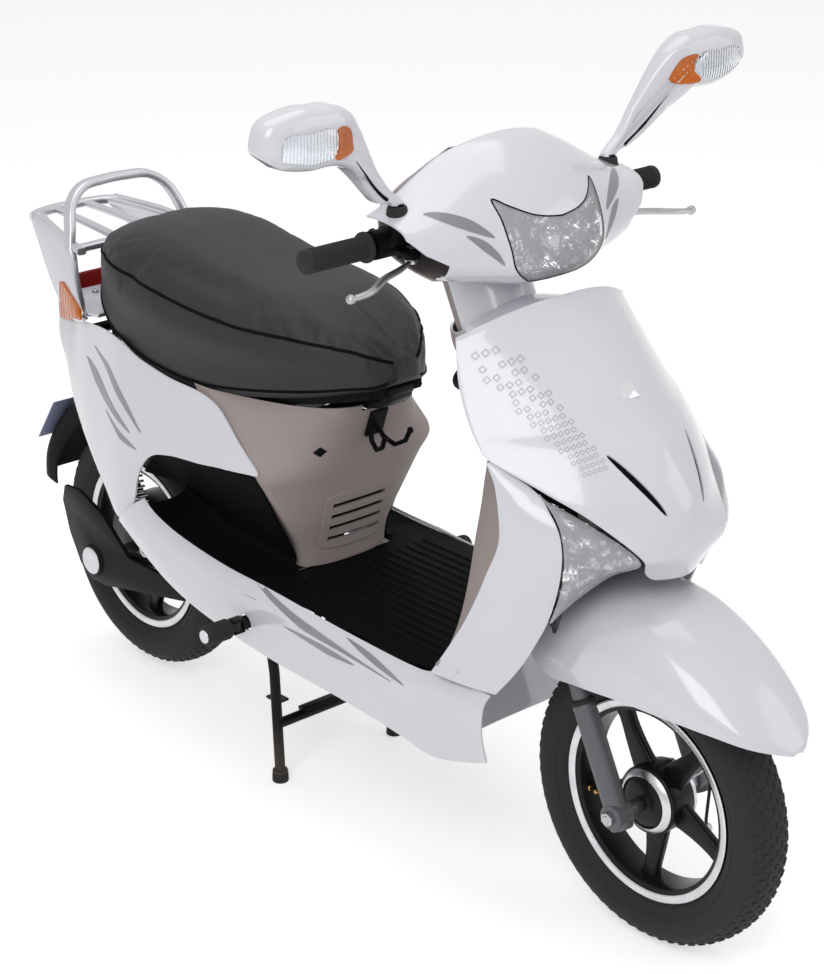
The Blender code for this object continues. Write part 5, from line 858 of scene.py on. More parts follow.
def grid_tree(grid: Sequence) -> BVHTree:
    """A grid of points as a surface to aim rays at."""
    grid = np.asarray(grid)
    return BVHTree.FromPolygons([Vector(p) for p in grid.reshape(-1, 3)], quads(*grid.shape[:2]))


def mirrored(outline: Sequence) -> list:
    """A half outline (aside, height) from the top middle down, completed on the other side."""
    return list(outline) + [(-y, z) for y, z in reversed(outline) if y > 0]


def pillows(name: str, grid: np.ndarray, sink: float, out: Vector) -> Piece:
    """A reflector of small pillowed facets.

    Args:
        name: Name of the piece.
        grid: Corners of the facets.
        sink: Depth of each facet's middle.
        out: Direction in which the reflector looks.
    Returns:
        The piece, flat shaded.
    """
    rows, columns = grid.shape[:2]
    verts = [Vector(p) for p in grid.reshape(-1, 3)]
    faces = []
    for r in range(rows - 1):
        for c in range(columns - 1):
            a, b = r * columns + c, r * columns + c + 1
            d, e = a + columns, b + columns
            middle = (verts[a] + verts[b] + verts[d] + verts[e]) / 4 - out.normalized() * sink
            verts.append(middle)
            m = len(verts) - 1
            faces += [(a, b, m), (b, e, m), (e, d, m), (d, a, m)]
    obj = from_lists(name, verts, faces)
    face_towards(obj.data, out)
    thicken(obj, 0.0008, -1.0)
    return bake(obj, 1.0)


@dataclass
class FrontBody:
    """Apron, wings, leg shield, front indicators and ignition lock."""

    seam: tuple = mm(
        (370, -264, 187), (420, -227, 190), (480, -188, 190), (550, -153, 190), (620, -126, 190), (680, -134, 190),
        (723, -160, 190), (750, -186, 186.5), (800, -221, 175.5), (850, -246, 158))
    apron_rows: tuple = mm(
        (556.5, 556.5, 30.5, 24, 24), (559, 559, 32.5, 16.5, 44), (572, 572, 38, 16.5, 61), (600, 600, 45, 29, 79),
        (651, 651, 35, -30, 120), (680, 684, 20, -85, 155), (723, 723, -15, -160, 190), (750, 750, -43, -195, 183),
        (800, 800, -93, -240, 170), (850, 830, -148, -244.5, 163), (894, 854, -199, -238, 157))
    wing_rows: tuple = mm(
        (370, -152, 170), (420, -115, 160), (470, -89, 150), (497, -76, 147.8), (540, -58, 151), (575, -47, 154.5),
        (612, -43, 156.8), (640, -50, 157.6), (660, -66, 157.4), (680, -90.5, 156.6), (714, -148, 185))
    liner_rows: tuple = mm(
        (262, -246, -236, 155), (310, -246, -236, 158), (366, -237, -221, 166), (376, -233, -215, 178),
        (390, -230, -208, 188.5))
    shield_rows: tuple = (
        (0.3652, 0.3652, -0.290, 0.0190, 0.0), (0.376, 0.376, -0.288, 0.0080, 0.0),
        (0.440, 0.440, -0.286, 0.0045, 1.0), (0.530, 0.530, -0.285, 0.0045, 1.0),
        (0.620, 0.620, -0.293, 0.0045, 0.8), (0.690, 0.690, -0.322, 0.0105, 0.3),
        (0.745, 0.745, -0.354, 0.0105, 0.0), (0.783, 0.795, -0.404, 0.0105, 0.0),
        (0.808, 0.825, -0.414, 0.0105, 0.0))
    roof_rows: tuple = mm(
        (838, 841, -365, -247.5, 149), (870, 843, -290, -245, 146), (886, 844, -208.5, -243.5, 144))
    lens_outer: tuple = mm((-87, 156, 680), (-55, 157, 655), (-41, 156, 612), (-45, 153, 565), (-74, 147, 497))
    lens_inner: tuple = mm((-85, 152, 672), (-35, 118.5, 643), (24.5, 78.5, 594.5), (-18, 92, 566), (-74, 136, 502))
    lock_axis: Vector = field(default_factory=lambda: Vector((-0.97, -0.10, 0.22)).normalized())

    def apron_grid(self) -> np.ndarray:
        """Points of the apron's outer face."""
        seam = Track(list(self.seam))
        rows = []
        for middle, edge, middle_x, edge_x, half in smooth(self.apron_rows, 7):
            if edge > 0.723:
                edge_x, half = seam.at(edge)
            t = np.linspace(-1.0, 1.0, 57)
            x = middle_x - (middle_x - edge_x) * np.abs(t) ** 1.7
            rows.append(strip(x, t * half, middle + (edge - middle) * t * t))
        return np.array(rows)

    def apron(self) -> None:
        """The apron with its two slots and the small bright insert."""
        grid = self.apron_grid()
        surface = grid_tree(grid)
        obj = skin("apron_shell", grid, WALL, front(-0.2, 0.65))
        backs = []
        for _, side in SIDES:
            high = front(-0.048, 0.723, side * 0.074)
            low = front(0.028, 0.651, side * 0.035)
            along = (high - low).normalized()
            out = Vector((0.7, side * 0.25, 0.67))
            out = (out - along * out.dot(along)).normalized()
            matrix = Matrix((along, out.cross(along), out)).transposed().to_4x4()
            half = (high - low).length / 2
            bow = [(half * math.cos(a), 0.0046 * math.copysign(abs(math.sin(a)) ** 0.8, math.sin(a)))
                   for a in np.arange(28) * math.pi / 14]
            cut(obj, slab("slot", bow, Matrix.Translation((high + low) / 2) @ matrix, 0.09))
            wide = [matrix.to_3x3() @ Vector((x * 1.06, y * 2.2, 0.0)) + (high + low) / 2 for x, y in bow]
            backs.append(patch("slot_back", [(p.y, p.z) for p in wide], surface, -AHEAD, -0.0062, 0.0012))
        dress(obj, F.white, "front_apron")
        put(fuse("apron_slot_inserts", backs), F.black, "front_apron")
        self.insert(surface)
        self.pattern(surface)

    def insert(self, surface: BVHTree) -> None:
        """The small bright plate in the middle of the apron, left bare."""
        hit, normal = self.spot(surface, 0.0, 0.787)
        corners = [(0.011, -0.011), (0.011, 0.011), (-0.011, 0.011), (-0.011, -0.011)]
        plate = slab("apron_insert", corners, frame_at(hit + normal * 0.0008, normal, UP), 0.0024, 0.0007)
        put(plate, F.chrome, "front_apron")

    def pattern(self, surface: BVHTree) -> None:
        """Small open diamonds, scattered at the top and closer together further down, on the rider's right."""
        start, end = np.array((-0.133, 0.838)), np.array((-0.094, 0.708))
        along = (end - start) / np.linalg.norm(end - start)
        over = np.array((-along[1], along[0]))
        spots = []
        rows = 17
        for row in range(rows):
            share = (row / (rows - 1)) ** 0.8
            wide = 0.058 - 0.026 * share
            count = 5
            for column in range(count):
                if share < 0.55 and (row * 5 + column * 3) % 4 == 0:
                    continue
                shift = (column + 0.5 * (row % 2)) / count - 0.45
                y, z = start + (end - start) * share + over * wide * shift
                hit, normal = self.spot(surface, y, z)
                spots.append((frame_at(hit + normal * 0.00008, normal, UP), 1.0 - 0.42 * share))
        ring = lathe("diamond", rectangle(0.62, 1.0, 0.0, 0.03), Vector(), UP, 4)
        scatter("apron_pattern", ring, spots, F.pale_decal, "front_apron", 0.0066)

    @staticmethod
    def spot(surface: BVHTree, y: float, z: float) -> tuple:
        """The point and outward normal of the apron at a place aside and a height."""
        hit, normal, _, _ = surface.ray_cast(Vector((FAR, y, z)), -AHEAD)
        return hit, normal if normal.x > 0 else -normal

    def wings(self) -> None:
        """A wing each side of the wheel and the wall behind it."""
        seam = Track(list(self.seam))
        for name, side in SIDES:
            rows = []
            t = np.linspace(0.0, 1.0, 17)
            for height, ahead, half in smooth(self.wing_rows, 7):
                rear_x, rear_y = seam.at(height)
                rows.append(strip(ahead + (rear_x - ahead) * t,
                                  side * (half + (rear_y - half) * (1 - (1 - t) ** 2)), height))
            wing = skin("wing_" + name, rows, WALL, front(-0.16, 0.5))
            put(wing, F.white, "lower_shield", ("lower_shield",) if side < 0 else ())
        t = np.linspace(-1.0, 1.0, 41)
        rows = [strip(edge + (middle - edge) * (1 - t ** 4), t * half, height)
                for height, middle, edge, half in smooth(self.liner_rows, 6)]
        liner = skin("wheel_wall", rows, WALL, front(-0.5, 0.35))
        put(liner, F.white, "lower_shield")

    def leg_shield(self) -> None:
        """The beige leg shield with its roof round the steering column."""
        seam = Track(list(self.seam))
        t = np.linspace(-1.0, 1.0, 57)
        rows = []
        for middle, edge, middle_x, tuck, fullness in smooth(self.shield_rows, 6):
            edge_x, half = seam.at(edge)
            weight = np.cos(math.pi / 2 * t) ** 2 * (1 - fullness) + (1 - np.abs(t) ** 3) * fullness
            rows.append(strip(edge_x + (middle_x - edge_x) * weight, t * (half - tuck),
                              edge + (middle - edge) * weight))
        weight = np.cos(math.pi / 2 * t) ** 2
        roof = [rows[-1]] + [
            strip(edge_x + (middle_x - edge_x) * weight, t * half, edge + (middle - edge) * weight)
            for middle, edge, middle_x, edge_x, half in smooth(self.roof_rows, 5)]
        for name, part, finish, slot in (
                ("wall", rows, F.beige, "beige_trim"), ("roof", roof, F.white, "white_shell")):
            obj = skin("leg_shield_" + name, part, WALL, front(-0.2, 0.62))
            cut(obj, sweep("hole", [steer(0.655), steer(0.90)], 0.066, 48))
            put(obj, finish, "leg_shield", ("leg_shield",) if name == "wall" else ())
        seat = front(-0.262, 0.785, -0.125)
        ring = lathe("lock_bezel", mm((9.5, -12), (17.5, -12), (16, 8), (14, 11.5), (9.5, 12.2)), seat,
                     self.lock_axis, 48, 0.0006)
        put(ring, F.black, "leg_shield")
        refine("ignition_lock", F.steel, 0.0003, 50.0)

    def lens_grid(self, side: int, per_span: int) -> np.ndarray:
        """Points of a front indicator's outer face."""
        rows = []
        for outer, inner in zip(self.lens_outer, self.lens_inner):
            start = front(outer[0], outer[2], side * (outer[1] - 0.0003))
            end = front(inner[0], inner[2], side * inner[1])
            bulge = Vector((1.0, side, 0.0)) * 0.005 * (outer[2] < 0.655)
            rows.append([start, start.lerp(end, 0.35) + bulge, start.lerp(end, 0.7) + bulge, end])
        return smooth_grid(rows, per_span)

    def indicators(self) -> None:
        """Front indicators: clear covers over faceted reflectors with an amber bulb."""
        for name, side in SIDES:
            grid = self.lens_grid(side, 7)
            cover = skin("indicator_cover_" + name, grid, 0.0022, front(-0.12, 0.6, side * 0.04), 0.0)
            dress(cover, F.clear, "indicator_lens_" + name)
            out = Vector((1.0, side * 0.75, 0.1)).normalized()
            coarse = self.lens_grid(side, 4)
            middle = coarse.mean(axis=(0, 1))
            back = middle + (coarse - middle) * 0.97 - np.array(out) * 0.009
            # The reflector's chrome carries painted dark reflections in soft patches.
            put(pillows("indicator_reflector_" + name, back, 0.0045, out), F.reflector, "indicator_lens_" + name)
            place = Vector(middle) - out * 0.006
            bulb = lathe("indicator_bulb_" + name, mm((0.1, 12), (4, 11), (6.2, 6), (5, -4), (0.1, -4)), place, out,
                         32)
            put(bulb, F.amber, "indicator_lens_" + name)

    def build(self) -> None:
        """Build and dress the front bodywork."""
        self.apron()
        self.wings()
        self.leg_shield()
        self.indicators()


@dataclass
class Floor:
    """Floor, foot wells, sills, kick panel and bag hook."""

    well_rows: tuple = mm(
        (-680, 362.2, 531, 164.5), (-748, 365, 525, 172), (-829, 372, 519, 174.5), (-880, 380, 512, 174.5),
        (-925, 393, 497, 174), (-953, 409, 465, 173.5))
    sill_rows: tuple = mm(
        (-158, 368.2, -160, 265), (-190, 368.2, -200, 250), (-262, 366, -274, 231), (-300, 357, -340, 238),
        (-450, 358, -454, 246), (-640, 367, -640, 252), (-760, 371, -780, 266), (-870, 385, -875, 286),
        (-925, 400, -940, 312), (-957, 419, -1028, 360.5))
    kick_rows: tuple = mm(
        (364.5, -675, 82, -656), (400, -674, 88, -652), (450, -668, 115, -640), (500, -662, 144, -628),
        (536, -657, 163.5, -618), (580, -710, 164, -605), (620, -765, 162, -590), (640, -795, 155, -582))
    stripes: tuple = mm(
        ((-690, 372), (-560, 352), (-450, 338), (-345, 325.5), (-450, 332), (-565, 340)),
        ((-590, 328), (-500, 329), (-425, 322.5), (-500, 318.5)),
        ((-455, 353), (-385, 347), (-318, 329), (-392, 339)))

    def floor(self) -> None:
        """The flat floor with its ribs and the two foot wells."""
        outline = mm((-272, -170), (-272, 170), (-700, 170), (-700, 94), (-666, 90), (-666, -90), (-700, -94),
                     (-700, -170))
        flat = Matrix.Translation((0.0, 0.0, 0.3615))
        board = slab("floor_board", [(FRONT_AXLE_X + x, y) for x, y in outline], flat, WALL, 0.0008)
        dress(board, F.floor, "footboard")
        for name, side in SIDES:
            rows = [[front(x, bottom, side * 0.171), front(x, bottom + 0.002, side * 0.105),
                     front(x, bottom + 0.014, side * 0.092),
                     front(x, bottom + (top - bottom) * 0.55, side * 0.128), front(x, top, side * half)]
                    for x, bottom, top, half in self.well_rows]
            well = skin("foot_well_" + name, smooth_grid(rows, 6), WALL, front(-0.8, -1.0))
            put(well, F.floor, "footboard")
        rib = slab("rib", UNIT_SQUARE, Matrix(), 1.0, 0.12)
        spots = [(Matrix.Translation(front(-0.470, 0.3634, index * 0.0185)), (0.330, 0.006, 0.0014))
                 for index in range(-7, 8)]
        scatter("floor_ribs", rib, spots, F.floor, "footboard")

    def sills(self) -> None:
        """The side sills under the floor with their grey stripes."""
        draw = smooth([(0.0, 0.1735), (0.10, 0.185), (0.50, 0.190), (1.0, 0.178)], 8)
        for name, side in SIDES:
            t = draw[:, 0]
            grid = np.array([strip(top_x + (low_x - top_x) * t, side * draw[:, 1], top_z + (low_z - top_z) * t)
                             for top_x, top_z, low_x, low_z in smooth(self.sill_rows, 6)])
            sill = skin("sill_shell_" + name, grid, WALL, front(-0.5, 0.3))
            cut(sill, sweep("notch", [aside(PEG, side * 0.15), aside(PEG, side * 0.22)], 0.0135, 32))
            dress(sill, F.white, "sill_" + name)
            self.side_stripes("sill_stripes_" + name, self.stripes, grid, side, "sill_" + name)

    @staticmethod
    def side_stripes(name: str, outlines: tuple, grid: np.ndarray, side: int, node: str,
                     finish: Finish | None = None) -> None:
        """Tapered stripes laid on a side panel, outlines given as (ahead, height)."""
        surface = grid_tree(grid)
        sheets = []
        for outline in outlines:
            curve = smooth([(FRONT_AXLE_X + x, z) for x, z in outline], 8, loop=True)
            sheets.append(patch("stripe", curve, surface, SIDE * -side, SHEET, SHEET, 0.006))
        put(fuse(name, sheets), finish or F.decal, node)

    def kick_panel(self) -> None:
        """The beige panel under the seat's front with its louvres."""
        t = np.linspace(-1.0, 1.0, 57)
        rows = []
        for height, side_x, half, middle_x in smooth(self.kick_rows, 6):
            row = strip(middle_x - (middle_x - side_x) * np.abs(t) ** 3.2, t * half, height)
            flange = mm((40, 2.2, 0), (26, 2, 0), (13, 1.5, 0), (5, 0.8, 0))
            rows.append([row[0] - f for f in flange] + list(row)
                        + [row[-1] - f * np.array((1, -1, 1)) for f in reversed(flange)])
        grid = np.array(rows)
        panel = skin("kick_panel_shell", grid, WALL, front(-0.9, 0.5))
        surface = grid_tree(grid)
        rim = smooth(mm((-66, 478), (-60, 484.5), (60, 484.5), (66, 478), (63.5, 402), (57, 395.5), (-57, 395.5),
                        (-63.5, 402)), 6, loop=True)
        plate = patch("louvre_plate", rim, surface, -AHEAD, 0.0, 0.0022, 0.006)
        for z in (0.4680, 0.4485, 0.4290, 0.4095):
            for wall in (panel, plate):
                bar = rectangle(-0.052, 0.052, z - 0.0036, z + 0.0036)
                cut(wall, slab("louvre", bar, across_at(-0.645), 0.08, 0.0012))
        put(plate, F.beige, "kick_panel")
        back = rectangle(-0.060, 0.060, 0.402, 0.478)
        put(patch("louvre_shade", back, surface, -AHEAD, -0.011, 0.0012, 0.01), F.black, "kick_panel")
        cut(panel, slab("notch", rectangle(-0.0335, 0.0335, 0.6305, 0.66), across_at(-0.5875), 0.075))
        dress(panel, F.beige, "kick_panel")
        diamond = mm((-98, 570), (-88, 578), (-78, 570), (-88, 562))
        put(patch("kick_panel_plug", diamond, surface, -AHEAD, 0.0, 0.0009), F.black, "kick_panel")
        refine("bag_hook", F.black, 0.0, 62.0)

    def build(self) -> None:
        """Build and dress the floor, sills and kick panel."""
        self.floor()
        self.sills()
        self.kick_panel()


@dataclass
class Mudguards:
    """Front and rear mudguards and the number plate."""

    front_rows: tuple = mm(
        (-176, 496, 97, 432), (-132, 512, 101, 392), (-60, 530, 107, 396), (20, 526, 107, 403), (95, 495, 99, 402),
        (155, 453, 84, 397), (205, 410, 58, 386), (232, 384, 24, 376), (238, 374, 8, 371.5))
    rear_rows: tuple = (
        (58, 0.292, 0.058), (75, 0.292, 0.064), (95, 0.286, 0.066), (115, 0.276, 0.067), (135, 0.267, 0.067),
        (152, 0.263, 0.066), (164, 0.259, 0.060))

    def front_guard(self) -> None:
        """The white front mudguard round the fork legs."""
        angle = np.linspace(math.pi, 0.0, 49)
        across, rise = np.cos(angle), np.abs(np.sin(angle))
        rows = [strip(ahead, np.sign(across) * np.abs(across) ** 0.8 * half, low + (crest - low) * rise ** 0.8)
                for ahead, crest, half, low in smooth(self.front_rows, 7)]
        guard = skin("front_mudguard_shell", rows, WALL, front(0.0, 0.3))
        for side in (-FORK_TRACK, FORK_TRACK):
            cut(guard, sweep("hole", [steer(0.18, FORK_OFFSET, side), steer(0.355, FORK_OFFSET, side)], 0.0135, 32))
        dress(guard, F.white, "front_mudguard")

    def rear_guard(self) -> None:
        """The black rear mudguard with its skirts, and the bare number plate."""
        rows = []
        for angle, radius, half in smooth(self.rear_rows, 6):
            turn = math.radians(angle)
            out = Vector((math.cos(turn), 0.0, math.sin(turn)))
            section = smooth([(-half, 0.045), (-half, 0.012), (-half * 0.75, 0.0), (0.0, -0.003),
                              (half * 0.75, 0.0), (half, 0.012), (half, 0.045)], 6)
            rows.append([REAR_AXLE + out * (radius - drop) + SIDE * y for y, drop in section])
        dress(skin("rear_mudguard_shell", rows, WALL, REAR_AXLE), F.black, "rear_mudguard")
        refine("number_plate", F.plate, 0.0005, 40.0)
        high, low = front(-1.352, 0.452), front(-1.407, 0.374)
        along = (low - high).normalized()
        out = Vector((along.z, 0.0, -along.x))
        spots = [(frame_at((high + low) / 2 + out * 0.001 + along * shift + SIDE * y, out, SIDE), 1.0)
                 for y, shift in ((-0.055, -0.034), (0.055, -0.034))]
        scatter("plate_screws", screw_head("screw", 0.0035), spots, F.steel, "number_plate")

    def build(self) -> None:
        """Build and dress both mudguards."""
        self.front_guard()
        self.rear_guard()


# Head

def bar_point(side: int, y: float) -> Vector:
    """A point on the handlebar at the distance y from the middle."""
    stations = mm((0, 387, 946), (80, 375, 950), (160, 352, 968), (324, 352, 968))
    for (y0, b0, h0), (y1, b1, h1) in zip(stations, stations[1:]):
        if y <= y1:
            t = (y - y0) / (y1 - y0)
            return front(-b0 - (b1 - b0) * t, h0 + (h1 - h0) * t, side * y)
    return front(-0.352, 0.968, side * y)


@dataclass
class Head:
    """Cowls, headlight, instruments, neck, grips, controls and levers."""

    front_stations: tuple = mm(
        (0, (-300, 905), (-225, 910), (-195, 945), (-205, 990), (-235, 1035), (-285, 1079), (-330, 1093)),
        (55, (-294, 907), (-226, 914), (-200, 948), (-211, 993), (-242, 1036), (-291, 1075), (-334, 1087)),
        (100, (-280, 915), (-235, 925), (-222, 955), (-235, 1000), (-262, 1035), (-305, 1063), (-345, 1072)),
        (190, (-300, 935), (-262, 940), (-250, 965), (-262, 995), (-285, 1012), (-320, 1021), (-350, 1023)),
        (245, (-310, 950), (-285, 955), (-278, 975), (-285, 1000), (-300, 1005), (-330, 1008), (-350, 1005)))
    rear_stations: tuple = mm(
        (0, (-333.5, 1091), (-385, 1058), (-432, 1030), (-442, 980), (-412, 935), (-355, 909), (-304.5, 903.5)),
        (55, (-337.8, 1084.5), (-385, 1053), (-428, 1027), (-437, 980), (-409, 936), (-352, 912), (-299.5, 905.5)),
        (100, (-349, 1070), (-385, 1044), (-418, 1018), (-426, 980), (-402, 938), (-345, 918), (-285, 912.5)),
        (156, (-350.5, 1040), (-377, 1021), (-398, 1004), (-404, 978), (-388, 944), (-345, 928), (-294.5, 920.5)))
    lamp: tuple = mm(
        (0, 1000), (45, 1007), (74, 1020), (91, 1029), (90, 1005), (87, 970), (80, 940), (52, 916.5), (25, 913.5),
        (0, 913))
    cowl_stripes: tuple = (
        ((-0.178, 1.017), (-0.160, 1.019), (-0.128, 1.008), (-0.104, 0.984), (-0.130, 0.993), (-0.160, 1.007)),
        ((-0.142, 0.990), (-0.122, 0.984), (-0.104, 0.966), (-0.094, 0.946), (-0.108, 0.957), (-0.127, 0.974)))

    open_end: tuple = mm((168, 920), (270, 920), (270, 1040), (224, 1040), (219, 992), (200, 972), (168, 954))
    panel_place: Matrix = field(default_factory=lambda: Matrix.Translation(
        front(-0.388, 1.0535)) @ Matrix.Rotation(math.radians(-34), 4, "Y"))
    neck_radius: float = 0.060
    lamp_level: float = 0.965
    ribs: tuple = (0.007, 0.097, 0.0045)

    @staticmethod
    def both_sides(stations: tuple, spans: int = 9) -> np.ndarray:
        """A fine grid from stations on one side of the middle plane."""
        rows = [[front(x, z, -s[0]) for x, z in s[1:]] for s in reversed(stations)]
        rows += [[front(x, z, s[0]) for x, z in s[1:]] for s in stations[1:]]
        return smooth_grid(rows, spans)

    def lamp_outline(self, grow: float) -> list:
        """The headlight's outline (aside, height), larger by grow."""
        half = smooth(self.lamp, 6)
        outline = []
        for y, z in mirrored([tuple(p) for p in half]):
            away = Vector((y, z - self.lamp_level))
            away += away.normalized() * grow
            outline.append((away.x, away.y + self.lamp_level))
        return outline[:-1] if outline[0] == outline[-1] else outline

    def cowls(self) -> BVHTree:
        """Front and rear cowls. Returns the front cowl's whole surface."""
        inside = front(-0.33, 0.98)
        grid = self.both_sides(self.front_stations)
        surface = grid_tree(grid)
        cowl = skin("front_cowl_shell", grid, WALL, inside)
        cut(cowl, slab("lamp_hole", self.lamp_outline(0.0004), across_at(-0.215), 0.14))
        cut(cowl, sweep("neck_hole", [steer(0.66), steer(0.83)], 0.0625, 48))
        for _, side in SIDES:
            low, high = sorted((side * 0.146, side * 0.262))
            cut(cowl, slab("grip_room", rectangle(low, high, 0.88, 0.9585), across_at(-0.3165), 0.087, 0.012))
            end = [(side * y, z) for y, z in self.open_end]
            cut(cowl, slab("open_end", end[::side], across_at(-0.29), 0.16))
            stalk = aside(MIRROR_FOOT, side * 0.196)
            cut(cowl, sweep("stem_hole", [stalk - UP * 0.02, stalk + UP * 0.06], 0.0115, 32))
        dress(cowl, F.white, "front_cowl")
        stripes = []
        for _, side in SIDES:
            for outline in self.cowl_stripes:
                curve = smooth([(y * -side, z) for y, z in outline], 8, loop=True)
                stripes.append(patch("stripe", curve, surface, -AHEAD, SHEET, SHEET, 0.006))
        put(fuse("cowl_stripes", stripes), F.decal, "front_cowl")
        back = skin("rear_cowl_shell", self.both_sides(self.rear_stations), WALL, inside)
        window = slab("window", rectangle(-0.032, 0.032, -0.066, 0.066), self.panel_place, 0.06, 0.004)
        cut(back, window, sweep("neck_hole", [steer(0.66), steer(0.83)], 0.0625, 48))
        dress(back, F.beige, "rear_cowl")
        return surface

    def headlight(self, surface: BVHTree) -> None:
        """The headlight: clear cover, seal, faceted bowl, bulb and its shield."""
        cover = patch("headlight_cover", self.lamp_outline(-0.0006), surface, -AHEAD, -0.0022, 0.0022, 0.004)
        dress(cover, F.clear, "headlight_lens")
        outline = np.array(self.lamp_outline(-0.0012))
        rim = []
        for y, z in outline:
            hit = surface.ray_cast(Vector((FAR, y, z)), -AHEAD)[0]
            rim.append(hit if hit is not None else surface.find_nearest(Vector((0.37, y, z)))[0])
        rim = np.array(rim)
        seal = np.concatenate((rim, rim[:1])) + np.array((-0.0012, 0.0, 0.0))
        put(sweep("headlight_seal", seal, 0.0015, 8), F.black, "headlight_lens")
        centre = np.array(front(-0.205, 0.962))
        rings = []
        picks = rim[np.linspace(0, len(rim), 44, endpoint=False).astype(int)]
        picks = np.concatenate((picks, picks[:1]))
        for share in (1.0, 0.86, 0.72, 0.58, 0.45, 0.33, 0.22, 0.12):
            depth = 0.006 + 0.040 * (1.0 - share ** 2)
            ring = centre + (picks - centre) * share * 0.985
            ring[:, 0] = centre[0] + (picks[:, 0] - centre[0]) * share - depth
            rings.append(ring)
        # The bowl's chrome carries painted dark reflections in soft patches.
        bowl = pillows("headlight_bowl", np.array(rings), 0.0042, AHEAD)
        put(bowl, F.reflector, "headlight_lens")
        seat = front(-0.246, 0.962)
        shield = lathe("bulb_shield", mm((0.1, 24), (9, 23), (12.5, 18), (13, 10), (12.2, 10), (11.8, 17),
                                         (8.5, 21.5), (0.1, 22.5)), seat, AHEAD, 40)
        put(shield, F.chrome, "headlight_lens")
        bulb = lathe("headlight_bulb", mm((0.1, 19), (4, 18), (6.2, 13), (6, -4), (0.1, -4)), seat, AHEAD, 32)
        put(bulb, F.clear, "headlight_lens")

    def instruments(self) -> None:
        """The instrument panel: bezel, dial with marks, needle and two lamps."""
        refine("instrument_panel", F.black, 0.0015, 40.0)
        out = self.panel_place.to_3x3() @ UP
        up = self.panel_place.to_3x3() @ AHEAD
        base = self.panel_place.translation + out * 0.0041
        hub = base - up * 0.002
        dial = lathe("dial", rectangle(0.0001, 0.024, 0.0, 0.0006), hub, out, 64)
        put(dial, F.dial, "instrument_panel")
        ring = lathe("dial_ring", mm((24, 0), (26.2, 0), (26.2, 2), (25, 2.8), (24, 2)), hub, out, 64)
        put(ring, F.chrome, "instrument_panel")
        spots = []
        across = out.cross(up)
        for index in range(25):
            angle = math.radians(-120 + index * 10)
            radial = up * math.cos(angle) + across * math.sin(angle)
            long = 2.2 if index % 4 == 0 else 1.2
            spots.append((frame_at(hub + radial * (0.0215 - long * 0.0009) + out * 0.0007, out, radial),
                          (long, 0.45 if index % 4 else 0.7, 0.3)))
        mark = slab("mark", UNIT_SQUARE, Matrix(), 1.0)
        scatter("dial_marks", mark, spots, F.marks, "instrument_panel", 0.0016)
        angle = math.radians(-105)
        radial = up * math.cos(angle) + across * math.sin(angle)
        hand = slab("needle", mm((-5, -0.9), (18, -0.3), (18, 0.3), (-5, 0.9)),
                    frame_at(hub + out * 0.0016, out, radial), 0.0005)
        cap = lathe("needle_cap", mm((0.1, 0), (3, 0), (2.8, 2.2), (0.1, 2.6)), hub + out * 0.0006, out, 32)
        put(fuse("dial_needle", [hand, cap]), F.needle, "instrument_panel")
        for name, side in reversed(SIDES):
            lamp = lathe("tell_tale_" + name, mm((0.1, 0), (3.8, 0), (3.4, 1), (0.1, 1.4)),
                         base + SIDE * side * 0.046 + up * 0.010, out, 32)
            put(lamp, F.amber, "instrument_panel")

    def neck(self) -> None:
        """The round neck cover, white in front and beige behind."""
        for name, finish, low, high, node in (
                ("neck_front", F.white, -104, 104, ("neck_cover",)), ("neck_back", F.beige, 104.5, 255.5, ())):
            angles = np.radians(np.linspace(low, high, 61))
            rows = [[steer(level, self.neck_radius * math.cos(a), self.neck_radius * math.sin(a)) for a in angles]
                    for level in np.linspace(0.690, 0.806, 9)]
            wall = skin(name, rows, WALL, steer(0.75))
            if low < 0:
                place = steer(0.735, self.neck_radius - 0.0004)
                dot = lathe("neck_plug", mm((0.1, 0), (4, 0), (3.6, 0.9), (0.1, 1.2)), place, STEER_AHEAD, 32)
                put(dot, F.silver, "neck_cover")
            put(wall, finish, "neck_cover", node)

    def grips(self) -> None:
        """Ribbed rubber grips."""
        start = 0.2216
        profile = [(0.0114, 0.0), (0.021, 0.0), (0.0212, 0.002), (0.0206, 0.0042), (0.0168, 0.0052)]
        z, last, step = self.ribs
        while z < last:
            profile += [(0.0150, z), (0.0150, z + 0.0008), (0.0162, z + 0.0014), (0.0164, z + 0.0028),
                        (0.0152, z + 0.0034)]
            z += step
        profile += mm((16.5, 98.5), (16.8, 101), (16, 104.5), (12, 106), (0.1, 106.2), (0.1, 103.5), (11.4, 103.3))
        for node, side in (("throttle_grip", -1), ("left_grip", 1)):
            grip = lathe(node + "_ribbed", profile, bar_point(side, start), SIDE * side, 56)
            dress(grip, F.rubber, node)

    def controls(self) -> None:
        """Switch housings with their switches, the horn button and the bar."""
        refine("handlebar", F.black, 0.0004, 42.0)
        for name, side in SIDES:
            refine("control_" + name, F.black, 0.0014, 40.0)
            middle = bar_point(side, 0.190)
            out = Vector((-0.75, 0.0, 0.66)).normalized()
            pads = []
            for shift, wide in ((-0.010, 0.0055), (0.008, 0.0045)):
                place = frame_at(middle + SIDE * side * shift + out * 0.0205, out, SIDE)
                pads.append(slab("pad", rectangle(-wide, wide, -0.004, 0.004), place, 0.006, 0.0012))
            put(fuse("switches_" + name, pads), F.rubber, "control_" + name)
        button = Vector((-0.85, 0.0, -0.30)).normalized()
        seat = bar_point(1, 0.190) + button * 0.0195
        horn = lathe("horn_push", mm((0.1, -3.4), (5.4, -3.4), (5.3, 2), (4.6, 3.2), (0.1, 4)), seat, button, 40,
                     0.0002)
        dress(horn, F.amber, "horn_button")

